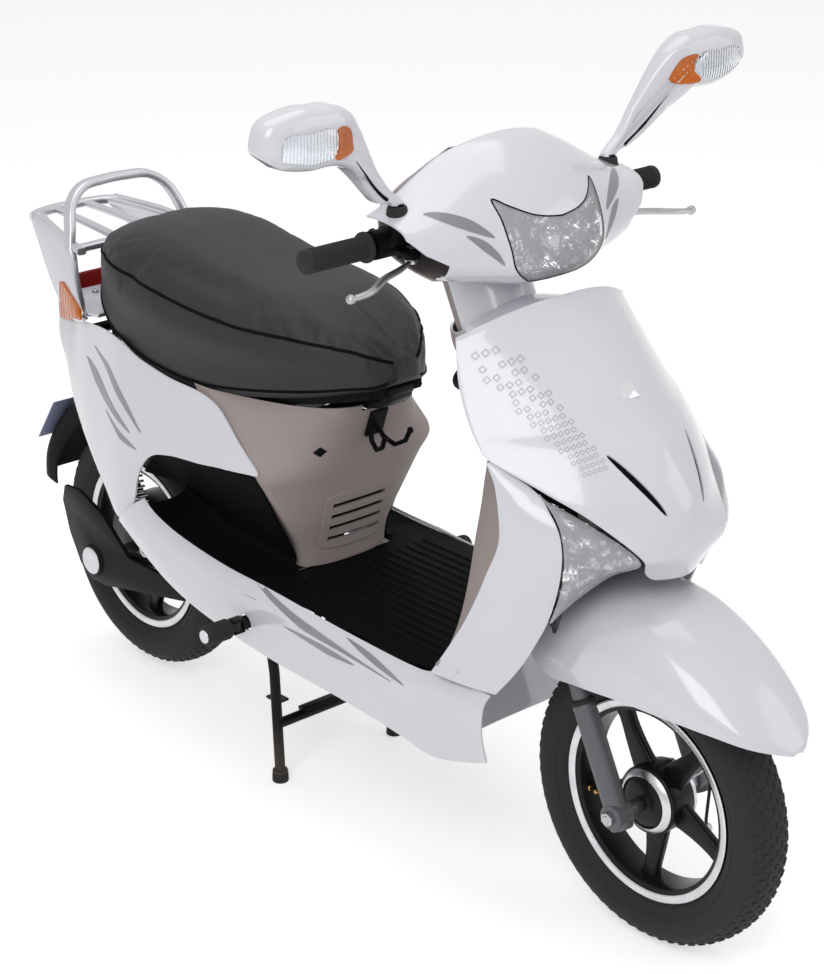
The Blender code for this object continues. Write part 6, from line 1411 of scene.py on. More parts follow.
    def levers(self) -> None:
        """Brake levers with their ball ends."""
        for name, side in SIDES:
            place = front(-0.318, 0.947, side * 0.172)
            path = smooth([
                place + Vector((0.002, side * 0.003, 0.0)), front(-0.300, 0.9455, side * 0.208),
                front(-0.287, 0.9440, side * 0.245), front(-0.264, 0.9395, side * 0.292),
                front(-0.268, 0.9360, side * 0.318)], 8)
            size = np.interp(np.linspace(0, 1, len(path)), (0.0, 0.25, 0.5, 1.0), (0.0031, 0.0049, 0.0054, 0.0050))
            section = soft_square(20, 1.0) * (0.85, 1.0)
            blade = sweep("blade", path, size, section=section, across=UP)
            knob = lathe("knob", mm((0.1, -6.8), (3.5, -6), (6, -3.5), (6.9, 0), (6, 3.5), (3.5, 6), (0.1, 6.8)),
                         Vector(path[-1]), SIDE, 32)
            root = lathe("root", rectangle(0.0034, 0.0085, -0.003, 0.003), place, UP, 40, 0.0006)
            dress(fuse("lever_" + name, [blade, knob, root]), F.steel, "brake_lever_" + name)

    def build(self) -> None:
        """Build and dress the head."""
        surface = self.cowls()
        self.headlight(surface)
        self.instruments()
        self.neck()
        self.grips()
        self.controls()
        self.levers()


@dataclass
class Mirrors:
    """Mirrors with glass, clear and amber repeaters and rubber boots."""

    outline: tuple = mm(
        (438, 1136), (439, 1153), (429, 1174), (384, 1186), (350, 1185), (317, 1182), (293, 1168), (270, 1140),
        (246, 1102), (214, 1054), (190, 1034), (186, 1027.5), (206, 1027.5), (212, 1032), (237, 1038), (278, 1079),
        (300, 1097), (323, 1106), (373, 1107), (416, 1118))
    spine: tuple = mm((196, 1027.5), (210.5, 1042), (241.5, 1070), (274, 1109), (300, 1133), (360, 1146))
    clear_part: tuple = mm(
        (414, 1128), (416, 1146), (410, 1158), (372, 1158), (334, 1157), (330, 1136), (340, 1122), (376, 1118))
    amber_part: tuple = mm((328.5, 1157), (306, 1154), (294, 1136), (292, 1121), (334, 1120), (324.5, 1137))

    def housing_grid(self, side: int) -> np.ndarray:
        """Rings of the housing from the glass side to its domed front."""
        ring = smooth(self.outline, 7, loop=True)
        spine = np.array(self.spine)
        cores = []
        for point in ring:
            best = None
            for a, b in zip(spine, spine[1:]):
                t = np.clip((point - a).dot(b - a) / (b - a).dot(b - a), 0, 1)
                near = a + (b - a) * t
                gap = np.linalg.norm(point - near)
                if best is None or gap < best[0]:
                    best = (gap, near)
            cores.append(best[1])
        cores = np.array(cores)
        head = np.clip((np.abs(ring[:, 0]) - 0.235) / 0.06, 0, 1)
        middle = np.array((0.36, 1.146))
        rings = []
        for x, grow in (
                (-0.318, 0.93), (-0.316, 0.98), (-0.314, 1.0), (-0.300, 1.0), (-0.292, 1.0), (-0.286, 0.965),
                (-0.2815, 0.90), (-0.278, 0.80), (-0.2755, 0.64), (-0.274, 0.42)):
            far = middle + (ring - middle) * grow
            near = cores + (ring - cores) * (1.0 - (1.0 - grow) * 1.1)
            flat = near + (far - near) * head[:, None]
            slim = (-0.318 + (x + 0.298) * 0.35) * (1.0 - head) + x * head
            rings.append(strip(slim, side * flat[:, 0], flat[:, 1]))
        return np.array(rings)

    def build_one(self, name: str, side: int) -> None:
        """Build and dress one mirror."""
        node = "mirror_" + name
        rings = self.housing_grid(side)
        housing = loft(node + "_housing", rings)
        bake(housing, 50.0)
        surface = tree_of(housing)
        dress(housing, F.white, node)
        for label, outline, finish in (("clear", self.clear_part, F.fluted), ("amber", self.amber_part, F.amber)):
            curve = smooth([(side * y, z) for y, z in outline], 6, loop=True)
            back = patch(f"{node}_{label}_back", curve, surface, -AHEAD, 0.0001, 0.0002, 0.005)
            put(back, F.chrome if label == "clear" else F.amber, node)
            put(patch(f"{node}_{label}_lens", curve, surface, -AHEAD, 0.0006, 0.0012, 0.005), finish, node)
        ring = smooth(self.outline, 7, loop=True)
        glass = [(side * (0.36 + (y - 0.36) * 0.90), 1.146 + (z - 1.146) * 0.86) for y, z in ring if y > 0.292]
        pane = slab(node + "_glass", glass, across_at(-0.3187), 0.0012, 0.0003)
        put(pane, F.mirror, node)
        foot = aside(MIRROR_FOOT, side * 0.196)
        stem = lathe(node + "_stem", mm((0.1, -14), (7.4, -14), (7.4, 0), (9.8, 30), (0.1, 30)), foot, UP, 40)
        put(stem, F.black, node)
        boot = lathe(node + "_boot", mm((8, 10), (15, 10), (15.5, 13.5), (14.2, 17.5), (14, 21), (12.5, 26),
                                        (8, 27)), foot, UP, 40, 0.0005)
        put(boot, F.rubber, node)
        # Painted shade: a tapered black tube laid along the housing's groove stands for the shade in the recess.
        groove = smooth(mm((-296.5, 1040, 220), (-296, 1058, 242), (-294, 1082, 266), (-289, 1105, 286)), 8)
        path = [front(-0.318 + 0.0062 + (x + 0.298) * 0.3, z, side * y) for x, z, y in groove]
        line = []
        for point in path:
            hit = surface.ray_cast(Vector((FAR, point.y, point.z)), -AHEAD)[0]
            line.append(hit if hit is not None else point)
        widths = np.interp(np.linspace(0, 1, len(line)), (0, 0.3, 1), (0.0026, 0.0022, 0.0006))
        put(sweep(node + "_groove", np.array(line), widths, 10), F.black, node)

    def build(self) -> None:
        """Build both mirrors."""
        self.build_one("right", -1)
        self.build_one("left", 1)


# Seat and tail

@dataclass
class Seat:
    """The bench seat's stuffed cushion with its piping, and the base under it."""

    stations: tuple = mm(
        (-1166, 80, 736, 794), (-1140, 116, 700, 812), (-1073, 150, 664, 823), (-995, 160, 638, 822),
        (-891, 162, 626, 809), (-802, 159, 629, 797), (-720, 151, 642, 791), (-660, 134, 652, 786),
        (-610, 110, 661, 776), (-570, 82, 670, 762), (-540, 53, 676.5, 744), (-523, 25, 690, 722))
    section: tuple = (
        (0.50, 0.000), (0.92, 0.000), (0.985, 0.080), (0.965, 0.300), (1.000, 0.520), (0.985, 0.720),
        (0.880, 0.880), (0.600, 0.970), (0.280, 1.000))
    pressure: float = 4.0
    voxel: float = 0.005
    reach: float = 0.010

    def ring(self, x: float, half: float, low: float, top: float, shrink: float = 0.0) -> np.ndarray:
        """One section of the cushion."""
        half, top = half - shrink, top - shrink
        right = [(-half * u, low + (top - low) * v) for u, v in self.section]
        outline = [(0.0, low)] + right + [(0.0, top)] + [(-y, z) for y, z in reversed(right)]
        curve = smooth(outline, 4, loop=True)
        return strip(x, curve[:, 0], curve[:, 1])

    def closed_form(self, shrink: float) -> Piece:
        """The cushion before it is stuffed."""
        fine = smooth(self.stations, 6)
        rings = np.array([self.ring(*row, shrink) for row in fine])
        return loft("cushion", rings)

    def stuffed(self) -> Piece:
        """The cushion blown up by a short cloth run, its movement capped."""
        obj = self.closed_form(0.003)
        modify(obj, "REMESH", mode="VOXEL", voxel_size=self.voxel)
        bake(obj, 180.0)
        rest = np.array([v.co for v in obj.data.vertices])
        group = obj.vertex_groups.new(name="held")
        low = Track([(row[0], row[2]) for row in self.stations])
        held = [v.index for v in obj.data.vertices if v.co.z < float(low.at(v.co.x - FRONT_AXLE_X)[0]) + 0.014]
        group.add(held, 1.0, "REPLACE")
        cloth = modify(obj, "CLOTH")
        cloth.settings.vertex_group_mass = "held"
        cloth.settings.use_pressure = True
        cloth.settings.uniform_pressure_force = self.pressure
        cloth.settings.effector_weights.gravity = 0.0
        cloth.settings.quality = 6
        cloth.point_cache.frame_start = 1
        cloth.point_cache.frame_end = 20
        scene = bpy.context.scene
        for number in range(1, 21):
            scene.frame_set(number)
            graph = bpy.context.evaluated_depsgraph_get()
            graph.update()
        mesh = bpy.data.meshes.new_from_object(obj.evaluated_get(bpy.context.evaluated_depsgraph_get()))
        blown = np.array([v.co for v in mesh.vertices])
        scene.frame_set(1)
        moved = blown - rest
        length = np.linalg.norm(moved, axis=1)[:, None]
        capped = rest + moved * np.minimum(1.0, self.reach / np.maximum(length, 1e-9))
        obj.modifiers.clear()
        obj.vertex_groups.clear()
        for vert, place in zip(obj.data.vertices, capped):
            vert.co = place
        bpy.data.meshes.remove(mesh)
        return obj

    def build(self) -> None:
        """Build and dress the seat."""
        obj = self.stuffed()
        modify(obj, "SMOOTH", iterations=3, factor=0.5)
        modify(obj, "SUBSURF", levels=1, render_levels=1)
        bake(obj, 180.0)
        obj.name = "seat_cushion_cover"
        surface = tree_of(obj)
        dress(obj, F.seat, "seat_cushion")
        for name, share, size in (("seat_piping", 0.70, 0.0026), ("seat_hem", 0.09, 0.0022)):
            for label, side in SIDES:
                line = []
                for x, _, low, top in smooth(self.stations, 5)[2:-2]:
                    z = low + (top - low) * share
                    hit = surface.ray_cast(Vector((FRONT_AXLE_X + x, side * 0.5, z)), SIDE * -side)[0]
                    if hit is not None:
                        line.append(hit + SIDE * side * 0.0002)
                put(sweep(f"{name}_{label}", np.array(line), size, 10, cap=0.001), F.piping, "seat_cushion")
        refine("seat_base", F.black, 0.0012, 40.0)


@dataclass
class Tail:
    """Rear panels, tail lamp and carrier."""

    panel_rows: tuple = mm(
        (-668, 544, 538.5, 170), (-712, 580, 533, 173.5), (-762, 622, 527.5, 175.5), (-800, 634, 522.5, 177.5),
        (-880, 638, 514, 179), (-930, 643, 498, 179), (-962, 648, 462, 179), (-985, 654, 398, 178.5),
        (-1031, 665, 363.5, 174), (-1090, 664, 400, 160.5), (-1160, 653, 453, 143), (-1218, 640, 498, 124),
        (-1253, 632, 560, 112.5), (-1290, 626, 608, 98), (-1306, 624, 611, 55), (-1309, 624, 612, 0.4))
    lamp_rows: tuple = mm(
        (-1206, 645.5, 126.5), (-1250, 660, 112), (-1288, 673, 98.5), (-1308, 680, 76), (-1318, 682, 40),
        (-1320, 682, 0))
    arm_rows: tuple = mm(
        (-1140, 149, 662, -1142, 147, 676), (-1188, 138, 653, -1172, 140, 717), (-1250, 120, 666, -1206, 125, 766),
        (-1300, 105, 693, -1262, 111, 780), (-1345, 94, 740, -1320, 97, 784.5), (-1386, 80, 769, -1374, 84, 787))
    stripes: tuple = mm(
        ((-1150, 600), (-1110, 592), (-1055, 560), (-985, 522), (-1060, 544), (-1118, 574)),
        ((-1118, 628), (-1070, 606), (-1020, 570), (-950, 531), (-1012, 582), (-1065, 617)),
        ((-1070, 536), (-1020, 516), (-965, 500), (-1025, 505)))

    def panels(self) -> None:
        """Rear side panels with their grey stripes."""
        for name, side in SIDES:
            rows = []
            for x, top, low, half in smooth(self.panel_rows, 6):
                fullness = min(1.0, max(top - low, 0.0) / 0.15)
                t = np.linspace(0.0, 1.0, 19)
                draw = 0.012 * np.clip((t - 0.25) / 0.75, 0, 1) ** 1.6
                rows.append(strip(x, side * np.maximum(half - draw * fullness, 0.0004), low + (top - low) * t))
            grid = np.array(rows)
            shell = skin("rear_panel_shell_" + name, grid, WALL, front(-1.0, 0.5))
            dress(shell, F.white, "rear_panel_" + name)
            Floor.side_stripes("rear_stripes_" + name, self.stripes, grid, side, "rear_panel_" + name)

    def lamp(self) -> None:
        """The tail lamp with a red middle and amber corners."""
        tops = Track([(row[0], row[1]) for row in self.panel_rows])
        half_rows = []
        for x, top, half in smooth(self.lamp_rows, 6):
            low = float(tops.at(x)[0]) + 0.0008
            half_rows.append([(x, low + (top - low) * t, half) for t in np.linspace(0, 1, 9)])
        rows = [[front(x, z, -y) for x, z, y in row] for row in half_rows]
        rows += [[front(x, z, y) for x, z, y in row] for row in reversed(half_rows[:-1])]
        grid = np.array(rows)
        split = 13
        inside = front(-1.2, 0.65)
        spans = (("amber_right", F.amber, 0, split), ("red_middle", F.red, split, len(rows) - split - 1),
                 ("amber_left", F.amber, len(rows) - split - 1, len(rows) - 1))
        for label, finish, start, end in spans:
            lens = skin("tail_lamp_" + label, grid[start:end + 1], 0.0035, inside, 0.0004)
            put(lens, finish, "tail_lamp", ("tail_lamp",) if start == 0 else ())

    def carrier(self) -> None:
        """The cast carrier with its arms, slats and hoop."""
        pieces = []
        round_box = soft_square(24, 0.6)
        for _, side in SIDES:
            rows = []
            for lx, ly, lz, ux, uy, uz in smooth(self.arm_rows, 7):
                low, high = front(lx, lz, side * ly), front(ux, uz, side * uy)
                rows.append([low.lerp(high, t) + SIDE * side * 0.003 * math.sin(math.pi * t)
                             for t in np.linspace(0, 1, 9)])
            arm = skin("arm", rows, 0.010, front(-1.25, 0.72), 0.003)
            corner = smooth(mm((-1239, 702), (-1205, 700), (-1165, 689), (-1126, 671.5), (-1146, 665.5),
                               (-1190, 658.5), (-1228, 665.5), (-1240, 680)), 6, loop=True)
            corner = [(FRONT_AXLE_X + x, z) for x, z in corner]
            lens = patch("side_lens_right" if side < 0 else "side_lens_left", corner, grid_tree(rows),
                         SIDE * -side, 0.0002, 0.0034, 0.006)
            put(lens, F.amber, "tail_lamp")
            pieces.append(arm)
            for points, wide, high in (
                    (((-1.180, 0.764, 0.118), (-1.280, 0.772, 0.098), (-1.374, 0.778, 0.072)), 0.008, 0.006),
                    (((-1.190, 0.768, 0.036), (-1.290, 0.775, 0.034), (-1.384, 0.778, 0.030)), 0.008, 0.005)):
                path = smooth([front(x, z, side * y) for x, z, y in points], 8)
                pieces.append(sweep("slat", path, 1.0, section=round_box * (wide, high), across=SIDE))
        bar = mm((-1366, -84), (-1380, -66), (-1388, -36), (-1390, 0), (-1388, 36), (-1380, 66), (-1366, 84))
        path = smooth([front(x, 0.778, y) for x, y in bar], 6)
        pieces.append(sweep("rear_bar", path, 1.0, section=round_box * (0.010, 0.007), across=AHEAD, cap=0.002))
        path = smooth([front(-1.196, 0.765, -0.118), front(-1.190, 0.768, 0.0), front(-1.196, 0.765, 0.118)], 10)
        pieces.append(sweep("front_bar", path, 1.0, section=round_box * (0.010, 0.006), across=AHEAD))
        hoop = mm((-1214, 762, 119), (-1222, 790, 111), (-1238, 826, 96), (-1250, 848, 66), (-1256, 852, 22))
        points = [front(x, z, -y) for x, z, y in hoop] + [front(x, z, y) for x, z, y in reversed(hoop)]
        pieces.append(sweep("hoop", smooth(points, 8), 1.0, section=round_box * (0.0105, 0.0072), across=AHEAD))
        outline = mm((-1262, -107), (-1200, -128), (-1150, -141), (-1125, -130))
        outline += tuple((x, -y) for x, y in reversed(outline))
        pieces.append(slab("base", [(FRONT_AXLE_X + x, y) for x, y in outline],
                           Matrix.Translation((0.0, 0.0, 0.671)), 0.006, 0.0012))
        dress(fuse("carrier_casting", pieces), F.silver, "carrier")
        spots = [(Matrix.Translation(front(x, 0.674, y)), 1.0)
                 for x, y in mm((-1170, 68), (-1170, -68), (-1235, 60), (-1235, -60))]
        scatter("carrier_bolts", screw_head("screw", 0.006), spots, F.steel, "carrier")

    def build(self) -> None:
        """Build and dress the tail."""
        self.panels()
        self.lamp()
        self.carrier()


# Wheels and running gear

@dataclass
class Wheel:
    """One wheel: rim, tyre with its tread, bright lip and hub."""

    name: str
    centre: Vector
    rim_node: str
    tyre_node: str
    hub: tuple
    hub_radius: float
    blocks: int = 66

    def tyre(self) -> None:
        """The tyre and its tread blocks."""
        outer = smooth(mm((148, -24.5), (160, -35), (178, -42.5), (196, -38.5), (208, -25), (213.5, -12),
                          (214.6, 0), (213.5, 12), (208, 25), (196, 38.5), (178, 42.5), (160, 35), (148, 24.5)), 4)
        profile = [tuple(p) for p in outer] + [(0.1355, 0.0235), (0.1355, -0.0235)]
        dress(lathe(self.tyre_node + "_body", profile, self.centre, SIDE, 120), F.tyre, self.tyre_node)
        block = slab("block", UNIT_SQUARE, Matrix(), 1.0)
        spots = []
        rows = ((0.0, 0.2146, 0.0, 0.0075, 0.0060, 0.0), (0.0100, 0.2138, 8.0, 0.0085, 0.0062, 0.5),
                (0.0195, 0.2112, 18.0, 0.0090, 0.0064, 0.0), (0.0285, 0.2052, 33.0, 0.0085, 0.0070, 0.5))
        for y, radius, lean, along, across, shift in rows:
            for side in ((1,) if y == 0 else (-1, 1)):
                for index in range(self.blocks):
                    angle = 2 * math.pi * (index + shift) / self.blocks
                    out = Vector((math.cos(angle), 0.0, math.sin(angle)))
                    tilt = math.radians(lean) * side
                    normal = out * math.cos(tilt) + SIDE * math.sin(tilt)
                    forward = out.cross(SIDE)
                    skew = (forward + SIDE * side * 0.35 * (1 if y else 0)).normalized()
                    place = self.centre + out * radius + SIDE * side * y
                    spots.append((frame_at(place, normal, skew), (along, across, 0.0026)))
        scatter(self.tyre_node + "_tread", block, spots, F.tyre, self.tyre_node)
        for label, side in SIDES:
            line = mm((165, 37.6), (168, 39), (168, 40), (165, 38.6))
            put(lathe(f"{self.tyre_node}_bead_{label}", [(r, side * y) for r, y in line], self.centre, SIDE, 96),
                F.tyre, self.tyre_node)

    def rim(self) -> None:
        """Barrel, spokes, hub and bright lips."""
        barrel = mm((148, -28), (148, -24), (135, -23.5), (135, 23.5), (148, 24), (148, 28), (140.5, 27.5),
                    (130, 24), (127.5, 0), (130, -24), (140.5, -27.5))
        pieces = [lathe("barrel", barrel, self.centre, SIDE, 120, 0.0006)]
        pieces.append(lathe("hub", self.hub, self.centre, SIDE, 72, 0.0012))
        inner, outer = self.hub_radius - 0.004, 0.1295
        box = soft_square(20, 0.5)
        for index in range(5):
            angle = math.radians(18 + 72 * index)
            out = Vector((math.cos(angle), 0.0, -math.sin(angle)))
            across = SIDE.cross(out)
            rings = []
            for t in np.linspace(0.0, 1.0, 9):
                middle = self.centre + out * (inner + (outer - inner) * t) + across * 0.010 * t * t
                half = 0.0205 - 0.0090 * math.sin(t * math.pi / 2) + 0.004 * max(0.0, t - 0.85) / 0.15
                rings.append([middle + across * half * u + SIDE * 0.0082 * v for u, v in box])
            pieces.append(bake(loft("spoke", np.array(rings)), 50.0))
        dress(fuse(self.rim_node + "_casting", pieces), F.wheel, self.rim_node)
        for label, side in SIDES:
            line = mm((136.5, 26.2), (140.5, 27.6), (147.8, 28.2), (148.7, 29.8), (146.2, 30.6), (144, 30),
                      (140, 29.6), (136.5, 28))
            lip = lathe(f"{self.name}_lip_{label}", [(r, side * y) for r, y in line], self.centre, SIDE, 120,
                        0.0003)
            put(lip, F.machined, self.rim_node)

    def valve(self) -> None:
        """The brass valve stem with its cap."""
        out = Vector((math.cos(math.radians(196)), 0.0, math.sin(math.radians(196))))
        place = self.centre + out * 0.129 - SIDE * 0.010
        stem = lathe(self.name + "_valve",
                     mm((0.1, 0), (4.2, 0), (4.2, 5), (2.7, 6), (2.7, 21), (3.3, 21), (3.3, 28), (0.1, 29)), place,
                     (-out - SIDE * 0.45).normalized(), 28, 0.0002)
        put(stem, F.brass, self.rim_node)

    def build(self) -> None:
        """Build and dress the wheel."""
        self.tyre()
        self.rim()
        self.valve()


@dataclass
class RunningGear:
    """Wheels, fork, brake, swing arm, shock absorbers, stand, pegs and frame."""

    shock_foot: Vector = field(default_factory=lambda: front(-1.045, 0.285))
    shock_head: Vector = field(default_factory=lambda: front(-1.130, 0.555))
    shock_span: float = 0.114
    spring_low: float = 0.061
    spring_high: float = 0.163
    travel: float = 0.0275

    def wheels(self) -> None:
        """Both wheels."""
        front_hub = mm((6.8, -38), (25, -38), (30, -36), (50, -24), (50, 18), (46, 18), (46, 2), (16, 2), (16, 18),
                       (6.8, 18))
        Wheel("front_wheel", FRONT_AXLE, "front_rim", "front_tyre", front_hub, 0.050).build()
        ring = lathe("front_hub_ring", mm((37.5, -33.5), (47, -27), (47.8, -28.2), (38.5, -35)), FRONT_AXLE, SIDE,
                     72, 0.0003)
        put(ring, F.machined, "front_rim")
        rear_hub = mm((6.8, -46), (32, -46), (36, -35), (80, -32.5), (88, -27), (88, 27), (80, 32.5), (36, 35),
                      (32, 46), (6.8, 46))
        Wheel("rear_wheel", REAR_AXLE, "rear_rim_motor", "rear_tyre", rear_hub, 0.088).build()
        spots = []
        for _, side in SIDES:
            for index in range(8):
                angle = math.pi / 4 * index + 0.2
                out = Vector((math.cos(angle), 0.0, math.sin(angle)))
                spots.append((frame_at(REAR_AXLE + out * 0.074 + SIDE * side * 0.0330, SIDE * side, out), 1.0))
        scatter("motor_screws", screw_head("screw", 0.0034), spots, F.steel, "rear_rim_motor")

    def fork(self) -> None:
        """Crown, stanchions, sliders, axle and the drum brake."""
        matrix = Matrix((
            (STEER_AHEAD.x, 0.0, STEER_UP.x, 0.0), (0.0, 1.0, 0.0, 0.0), (STEER_AHEAD.z, 0.0, STEER_UP.z, 0.0),
            (0.0, 0.0, 0.0, 1.0)))
        matrix = Matrix.Translation(steer(0.359, 0.011)) @ matrix
        outline = mm((-35, -45), (-15, -101.5), (35, -101.5), (35, 101.5), (-15, 101.5), (-35, 45))
        pieces = [slab("crown", outline, matrix, 0.028, 0.005)]
        for side in (-FORK_TRACK, FORK_TRACK):
            pieces.append(lathe("stanchion", rectangle(0.0001, 0.0125, 0.0, 0.297),
                                steer(0.075, FORK_OFFSET, side), STEER_UP, 48, 0.0008))
        pieces.append(lathe("steerer", mm((0.1, 0), (22, 0), (22, 40), (14.5, 41), (14.5, 465), (0.1, 465)),
                            steer(0.347), STEER_UP, 48, 0.0006))
        dress(fuse("fork_crown_and_stanchions", pieces), F.fork, "fork_crown")
        for name, side in (("right", -FORK_TRACK), ("left", FORK_TRACK)):
            profile = mm((13.1, 0), (16, 0), (16.5, 4), (16.5, 160), (15.8, 170), (16.5, 171), (16.5, 178),
                         (15, 180), (13.1, 180))
            leg = lathe("leg", profile, steer(-0.020, FORK_OFFSET, side), STEER_UP, 48, 0.0006)
            cap = lathe("cap", mm((0.1, -1), (15, 0), (15.8, 3), (0.1, 3)), steer(-0.021, FORK_OFFSET, side),
                        STEER_UP, 40)
            boss = lathe("boss", mm((6.2, -17), (17.5, -17), (19, -12), (19, 12), (17.5, 17), (6.2, 17)),
                         aside(FRONT_AXLE, side), SIDE, 40, 0.001)
            dress(fuse("fork_leg_" + name, [leg, cap, boss]), F.fork, "fork_slider_" + name)
            seal = lathe("dust_seal_" + name, mm((12.7, 0), (17.2, 0), (17.2, 4), (14.5, 7.5), (12.7, 7.8)),
                         steer(0.1585, FORK_OFFSET, side), STEER_UP, 40, 0.0004)
            put(seal, F.rubber, "fork_slider_" + name)
        refine("front_axle", F.steel, 0.0006, 52.0)
        refine("front_brake_plate", F.silver, 0.0008, 40.0)
        refine("front_brake_arm", F.steel, 0.0005, 52.0)
        refine("front_brake_cable", F.rubber, 0.0, 80.0)

    def along_shock(self, distance: float, side: int) -> Vector:
        """A point on a shock absorber's axis at a distance from its foot."""
        axis = (self.shock_head - self.shock_foot).normalized()
        return aside(self.shock_foot + axis * distance, side * self.shock_span)

    def shocks(self) -> None:
        """Shock absorbers with their springs."""
        length = (self.shock_head - self.shock_foot).length
        for name, side in SIDES:
            foot, head = self.along_shock(0.0, side), self.along_shock(length, side)
            axis = head - foot
            body = lathe("body", mm((6.2, 100), (13, 100), (13.5, 104), (13.5, 164), (19.5, 164), (20.5, 168),
                                    (20.5, 174), (18.5, 178), (18.5, 268), (15, 275), (6.2, 275)), foot, axis, 48,
                         0.0006)
            eye = lathe("eye", rectangle(0.0054, 0.012, -0.010, 0.010), head, SIDE, 40, 0.0008)
            dress(fuse("shock_body_" + name, [body, eye]), F.black, "shock_upper_" + name)
            lower = lathe("lower", mm((0.1, 8), (11, 10), (11.5, 45), (22.5, 47), (23.2, 52), (23.2, 58),
                                      (22.5, 60), (5.2, 60.5), (5.2, 112), (0.1, 112)), foot, axis, 48, 0.0006)
            ring = lathe("ring", rectangle(0.0064, 0.012, -0.0065, 0.0065), foot, SIDE, 40, 0.0008)
            dress(fuse("shock_foot_" + name, [lower, ring]), F.steel, "shock_lower_" + name)
            coil = spring("shock_coil_" + name, self.along_shock(self.spring_low + 0.0022, side),
                          self.along_shock(self.spring_high - 0.0022, side), 0.0190, 0.0021, 11, F.chrome)
            dress(coil, F.chrome, "shock_spring_" + name)
            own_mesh(coil)

    def chassis(self) -> None:
        """Frame, swing arm, battery, stand and pegs."""
        refine("main_frame", F.frame, 0.0004, 62.0)
        refine("swingarm", F.frame, 0.0008, 52.0)
        refine("rear_axle", F.steel, 0.0006, 52.0)
        refine("battery_pack", F.black, 0.0015, 40.0)
        refine("center_stand", F.frame, 0.0004, 62.0)
        cap = lathe("wheel_cover_cap", mm((0.1, 0), (23.5, 0), (23.5, 1.2), (21.5, 3), (15, 3.6), (0.1, 3.6)),
                    aside(REAR_AXLE, -0.1330), -SIDE, 72, 0.0003)
        put(cap, F.silver, "swingarm")
        top = Vector((REAR_AXLE_X + 0.454, -0.100, 0.206))
        foot = Vector((REAR_AXLE_X + 0.455, -0.100, 0.133))
        dress(spring("stand_coil", foot + UP * 0.002, top - UP * 0.002, 0.0058, 0.0011, 14, F.chrome), F.chrome,
              "stand_spring")
        for name, side in SIDES:
            self.peg(name, side)
            shoe = lathe("stand_shoe_" + name,
                         mm((0.1, 0), (12.6, 0), (13.2, 2), (12.8, 14), (10.5, 19), (0.1, 20)),
                         Vector((REAR_AXLE_X + 0.485, side * 0.1195, 0.0)), UP, 48, 0.0004)
            put(shoe, F.rubber, "center_stand")

    @staticmethod
    def peg(name: str, side: int) -> None:
        """One ribbed passenger peg with its pin."""
        profile = [(0.0001, 0.0), (0.0125, 0.0), (0.0150, 0.0015)]
        for z in 0.003 + 0.0052 * np.arange(7):
            profile += [(0.0148, z), (0.0160, z + 0.0008), (0.0160, z + 0.0030), (0.0148, z + 0.0038)]
        profile += mm((15.2, 43), (14, 45.5), (0.1, 46.5))
        rubber = lathe("rubber", profile, aside(PEG, side * 0.2215), SIDE * side, 48)
        low, high = sorted((side * 0.208, side * 0.225))
        tongue = slab("tongue", rectangle(PEG.x - 0.007, PEG.x + 0.007, low, high),
                      Matrix.Translation((0, 0, PEG.z)), 0.014, 0.0008)
        knuckle = lathe("knuckle", rectangle(0.0034, 0.0085, -0.007, 0.007), aside(PEG, side * 0.208), UP, 40,
                        0.0006)
        dress(fuse("peg_shown_" + name, [rubber, tongue, knuckle]), F.rubber, "peg_" + name)
        end = lathe("peg_cap_" + name, mm((0.1, 0), (10.5, 0), (9.8, 1.2), (0.1, 1.6)), aside(PEG, side * 0.2676),
                    SIDE * side, 40)
        put(end, F.silver, "peg_" + name)

    def build(self) -> None:
        """Build and dress the running gear."""
        self.wheels()
        self.fork()
        self.shocks()
        self.chassis()


# Stage

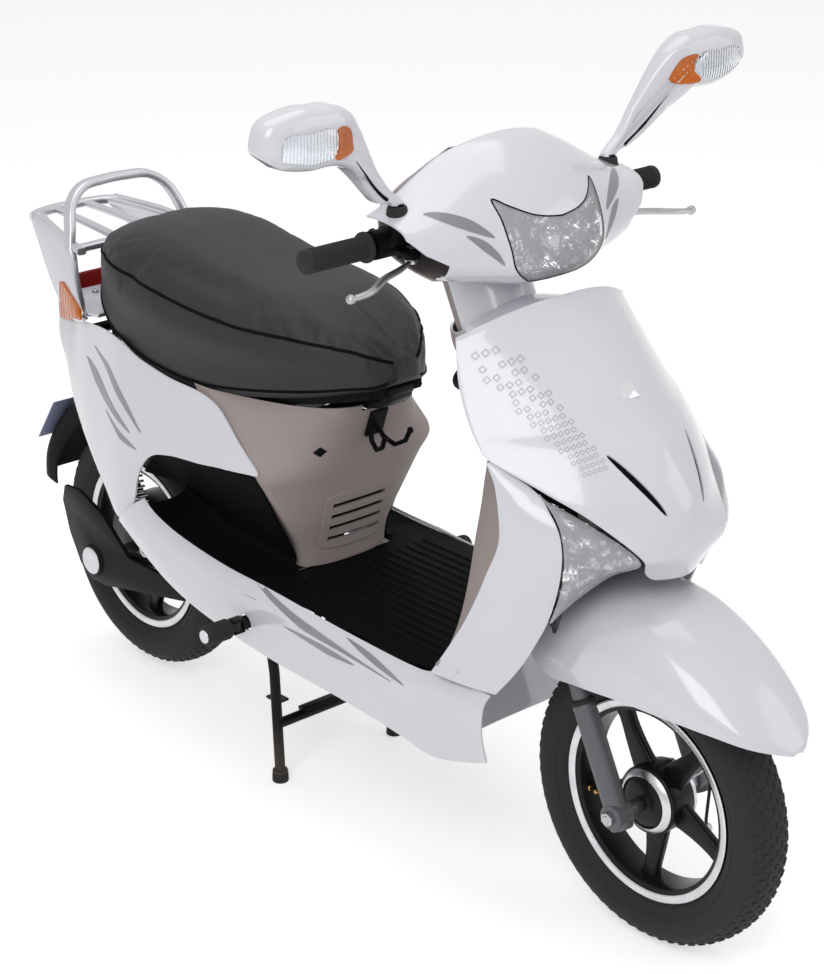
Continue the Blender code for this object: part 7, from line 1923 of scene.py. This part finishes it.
@dataclass
class Stage:
    """Plain pale floor, soft lamps and the camera."""

    eye: Vector = field(default_factory=lambda: Vector((2.598, -2.214, 1.857)))
    right: Vector = field(default_factory=lambda: Vector((0.6624, 0.7492, -0.0049)))
    down: Vector = field(default_factory=lambda: Vector((0.2743, -0.2486, -0.9289)))
    lens: float = 89.86
    world_level: float = 0.36
    backdrop: float = 1.0
    floor_glow: float = 0.54

    @staticmethod
    def in_view(tree: Tree) -> bpy.types.Node:
        """One for a ray of the camera, or one that metal or glass sends on, and zero for all others."""
        path = add(tree, "ShaderNodeLightPath")
        first, total = (add(tree, "ShaderNodeMath", operation="ADD", use_clamp=True) for _ in range(2))
        connect(tree, (path, "Is Camera Ray", first, 0), (path, "Is Glossy Ray", first, 1), (first, 0, total, 0),
                (path, "Is Transmission Ray", total, 1))
        return total

    def floor(self) -> None:
        """A wide pale floor that keeps the scooter's shadow."""
        mesh = bpy.data.meshes.new("floor_plane")
        mesh.from_pydata([(a, b, 0.0) for a, b in rectangle(-30, 30, -30, 30)], [], [(0, 1, 2, 3)])
        plane = link("floor_plane", mesh)
        made = bpy.data.materials.new("floor_paint")
        made.use_nodes = True
        tree = made.node_tree
        shader = tree.nodes["Principled BSDF"]
        for label, value in (("Base Color", (0.97, 0.97, 0.97, 1.0)), ("Roughness", 0.9),
                             ("Specular IOR Level", 0.1), ("Emission Color", (1.0, 1.0, 1.0, 1.0))):
            shader.inputs[label].default_value = value
        seen = add(tree, "ShaderNodeMath", {1: self.floor_glow}, operation="MULTIPLY")
        connect(tree, (self.in_view(tree), 0, seen, 0), (seen, 0, shader, "Emission Strength"))
        mesh.materials.append(made)

    def light(self) -> None:
        """An even world that shows white to the camera, and soft lamps."""
        world = bpy.data.worlds.new("studio")
        bpy.context.scene.world = world
        world.use_nodes = True
        tree = world.node_tree
        base = tree.nodes["Background"]
        base.inputs["Color"].default_value = (1.0, 1.0, 1.0, 1.0)
        base.inputs["Strength"].default_value = self.world_level
        seen = add(tree, "ShaderNodeBackground", {"Strength": self.backdrop})
        mix = add(tree, "ShaderNodeMixShader")
        connect(tree, (self.in_view(tree), 0, mix, "Fac"), (base, 0, mix, 1), (seen, 0, mix, 2),
                (mix, 0, tree.nodes["World Output"], "Surface"))
        for name, place, aim, size, power in (
                ("key", (2.2, -3.0, 3.4), (0.0, 0.0, 0.5), 2.6, 70.0),
                ("fill", (3.2, 2.6, 2.2), (0.1, 0.0, 0.6), 2.4, 17.0),
                ("top", (-0.6, 0.2, 4.0), (0.0, 0.0, 0.5), 3.0, 34.0)):
            lamp = bpy.data.lights.new(name, "AREA")
            lamp.size, lamp.energy = size, power
            obj = bpy.data.objects.new(name, lamp)
            obj.location = place
            obj.rotation_mode = "QUATERNION"
            obj.rotation_quaternion = (Vector(aim) - Vector(place)).to_track_quat("-Z", "Y")
            bpy.context.scene.collection.objects.link(obj)

    def camera(self) -> None:
        """The camera at the photograph's place."""
        data = bpy.data.cameras.new("camera")
        data.lens = self.lens
        data.sensor_width = 36.0
        data.clip_end = 100.0
        obj = bpy.data.objects.new("camera", data)
        bpy.context.scene.collection.objects.link(obj)
        right = self.right.normalized()
        up = -(self.down - right * self.down.dot(right)).normalized()
        back = right.cross(up)
        matrix = Matrix((right, up, back)).transposed().to_4x4()
        obj.matrix_world = Matrix.Translation(self.eye) @ matrix
        bpy.context.scene.camera = obj
        bpy.context.scene.view_settings.view_transform = "Standard"

    def build(self) -> None:
        """Set the stage."""
        self.floor()
        self.light()
        self.camera()


def main() -> None:
    """Build every sub-assembly and report how many pieces are shown."""
    logging.basicConfig(level=logging.INFO, format="%(message)s")
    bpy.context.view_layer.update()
    for assembly in (FrontBody(), Floor(), Mudguards(), Head(), Mirrors(), Seat(), Tail(), RunningGear()):
        assembly.build()
        LOG.info("%s done", type(assembly).__name__)
    Stage().build()
    left = [name for name, node in frame["nodes"].items() if not node.hide_render]
    LOG.info("CAD nodes shown as they are: %s", left)


if __name__ == "__main__":
    main()
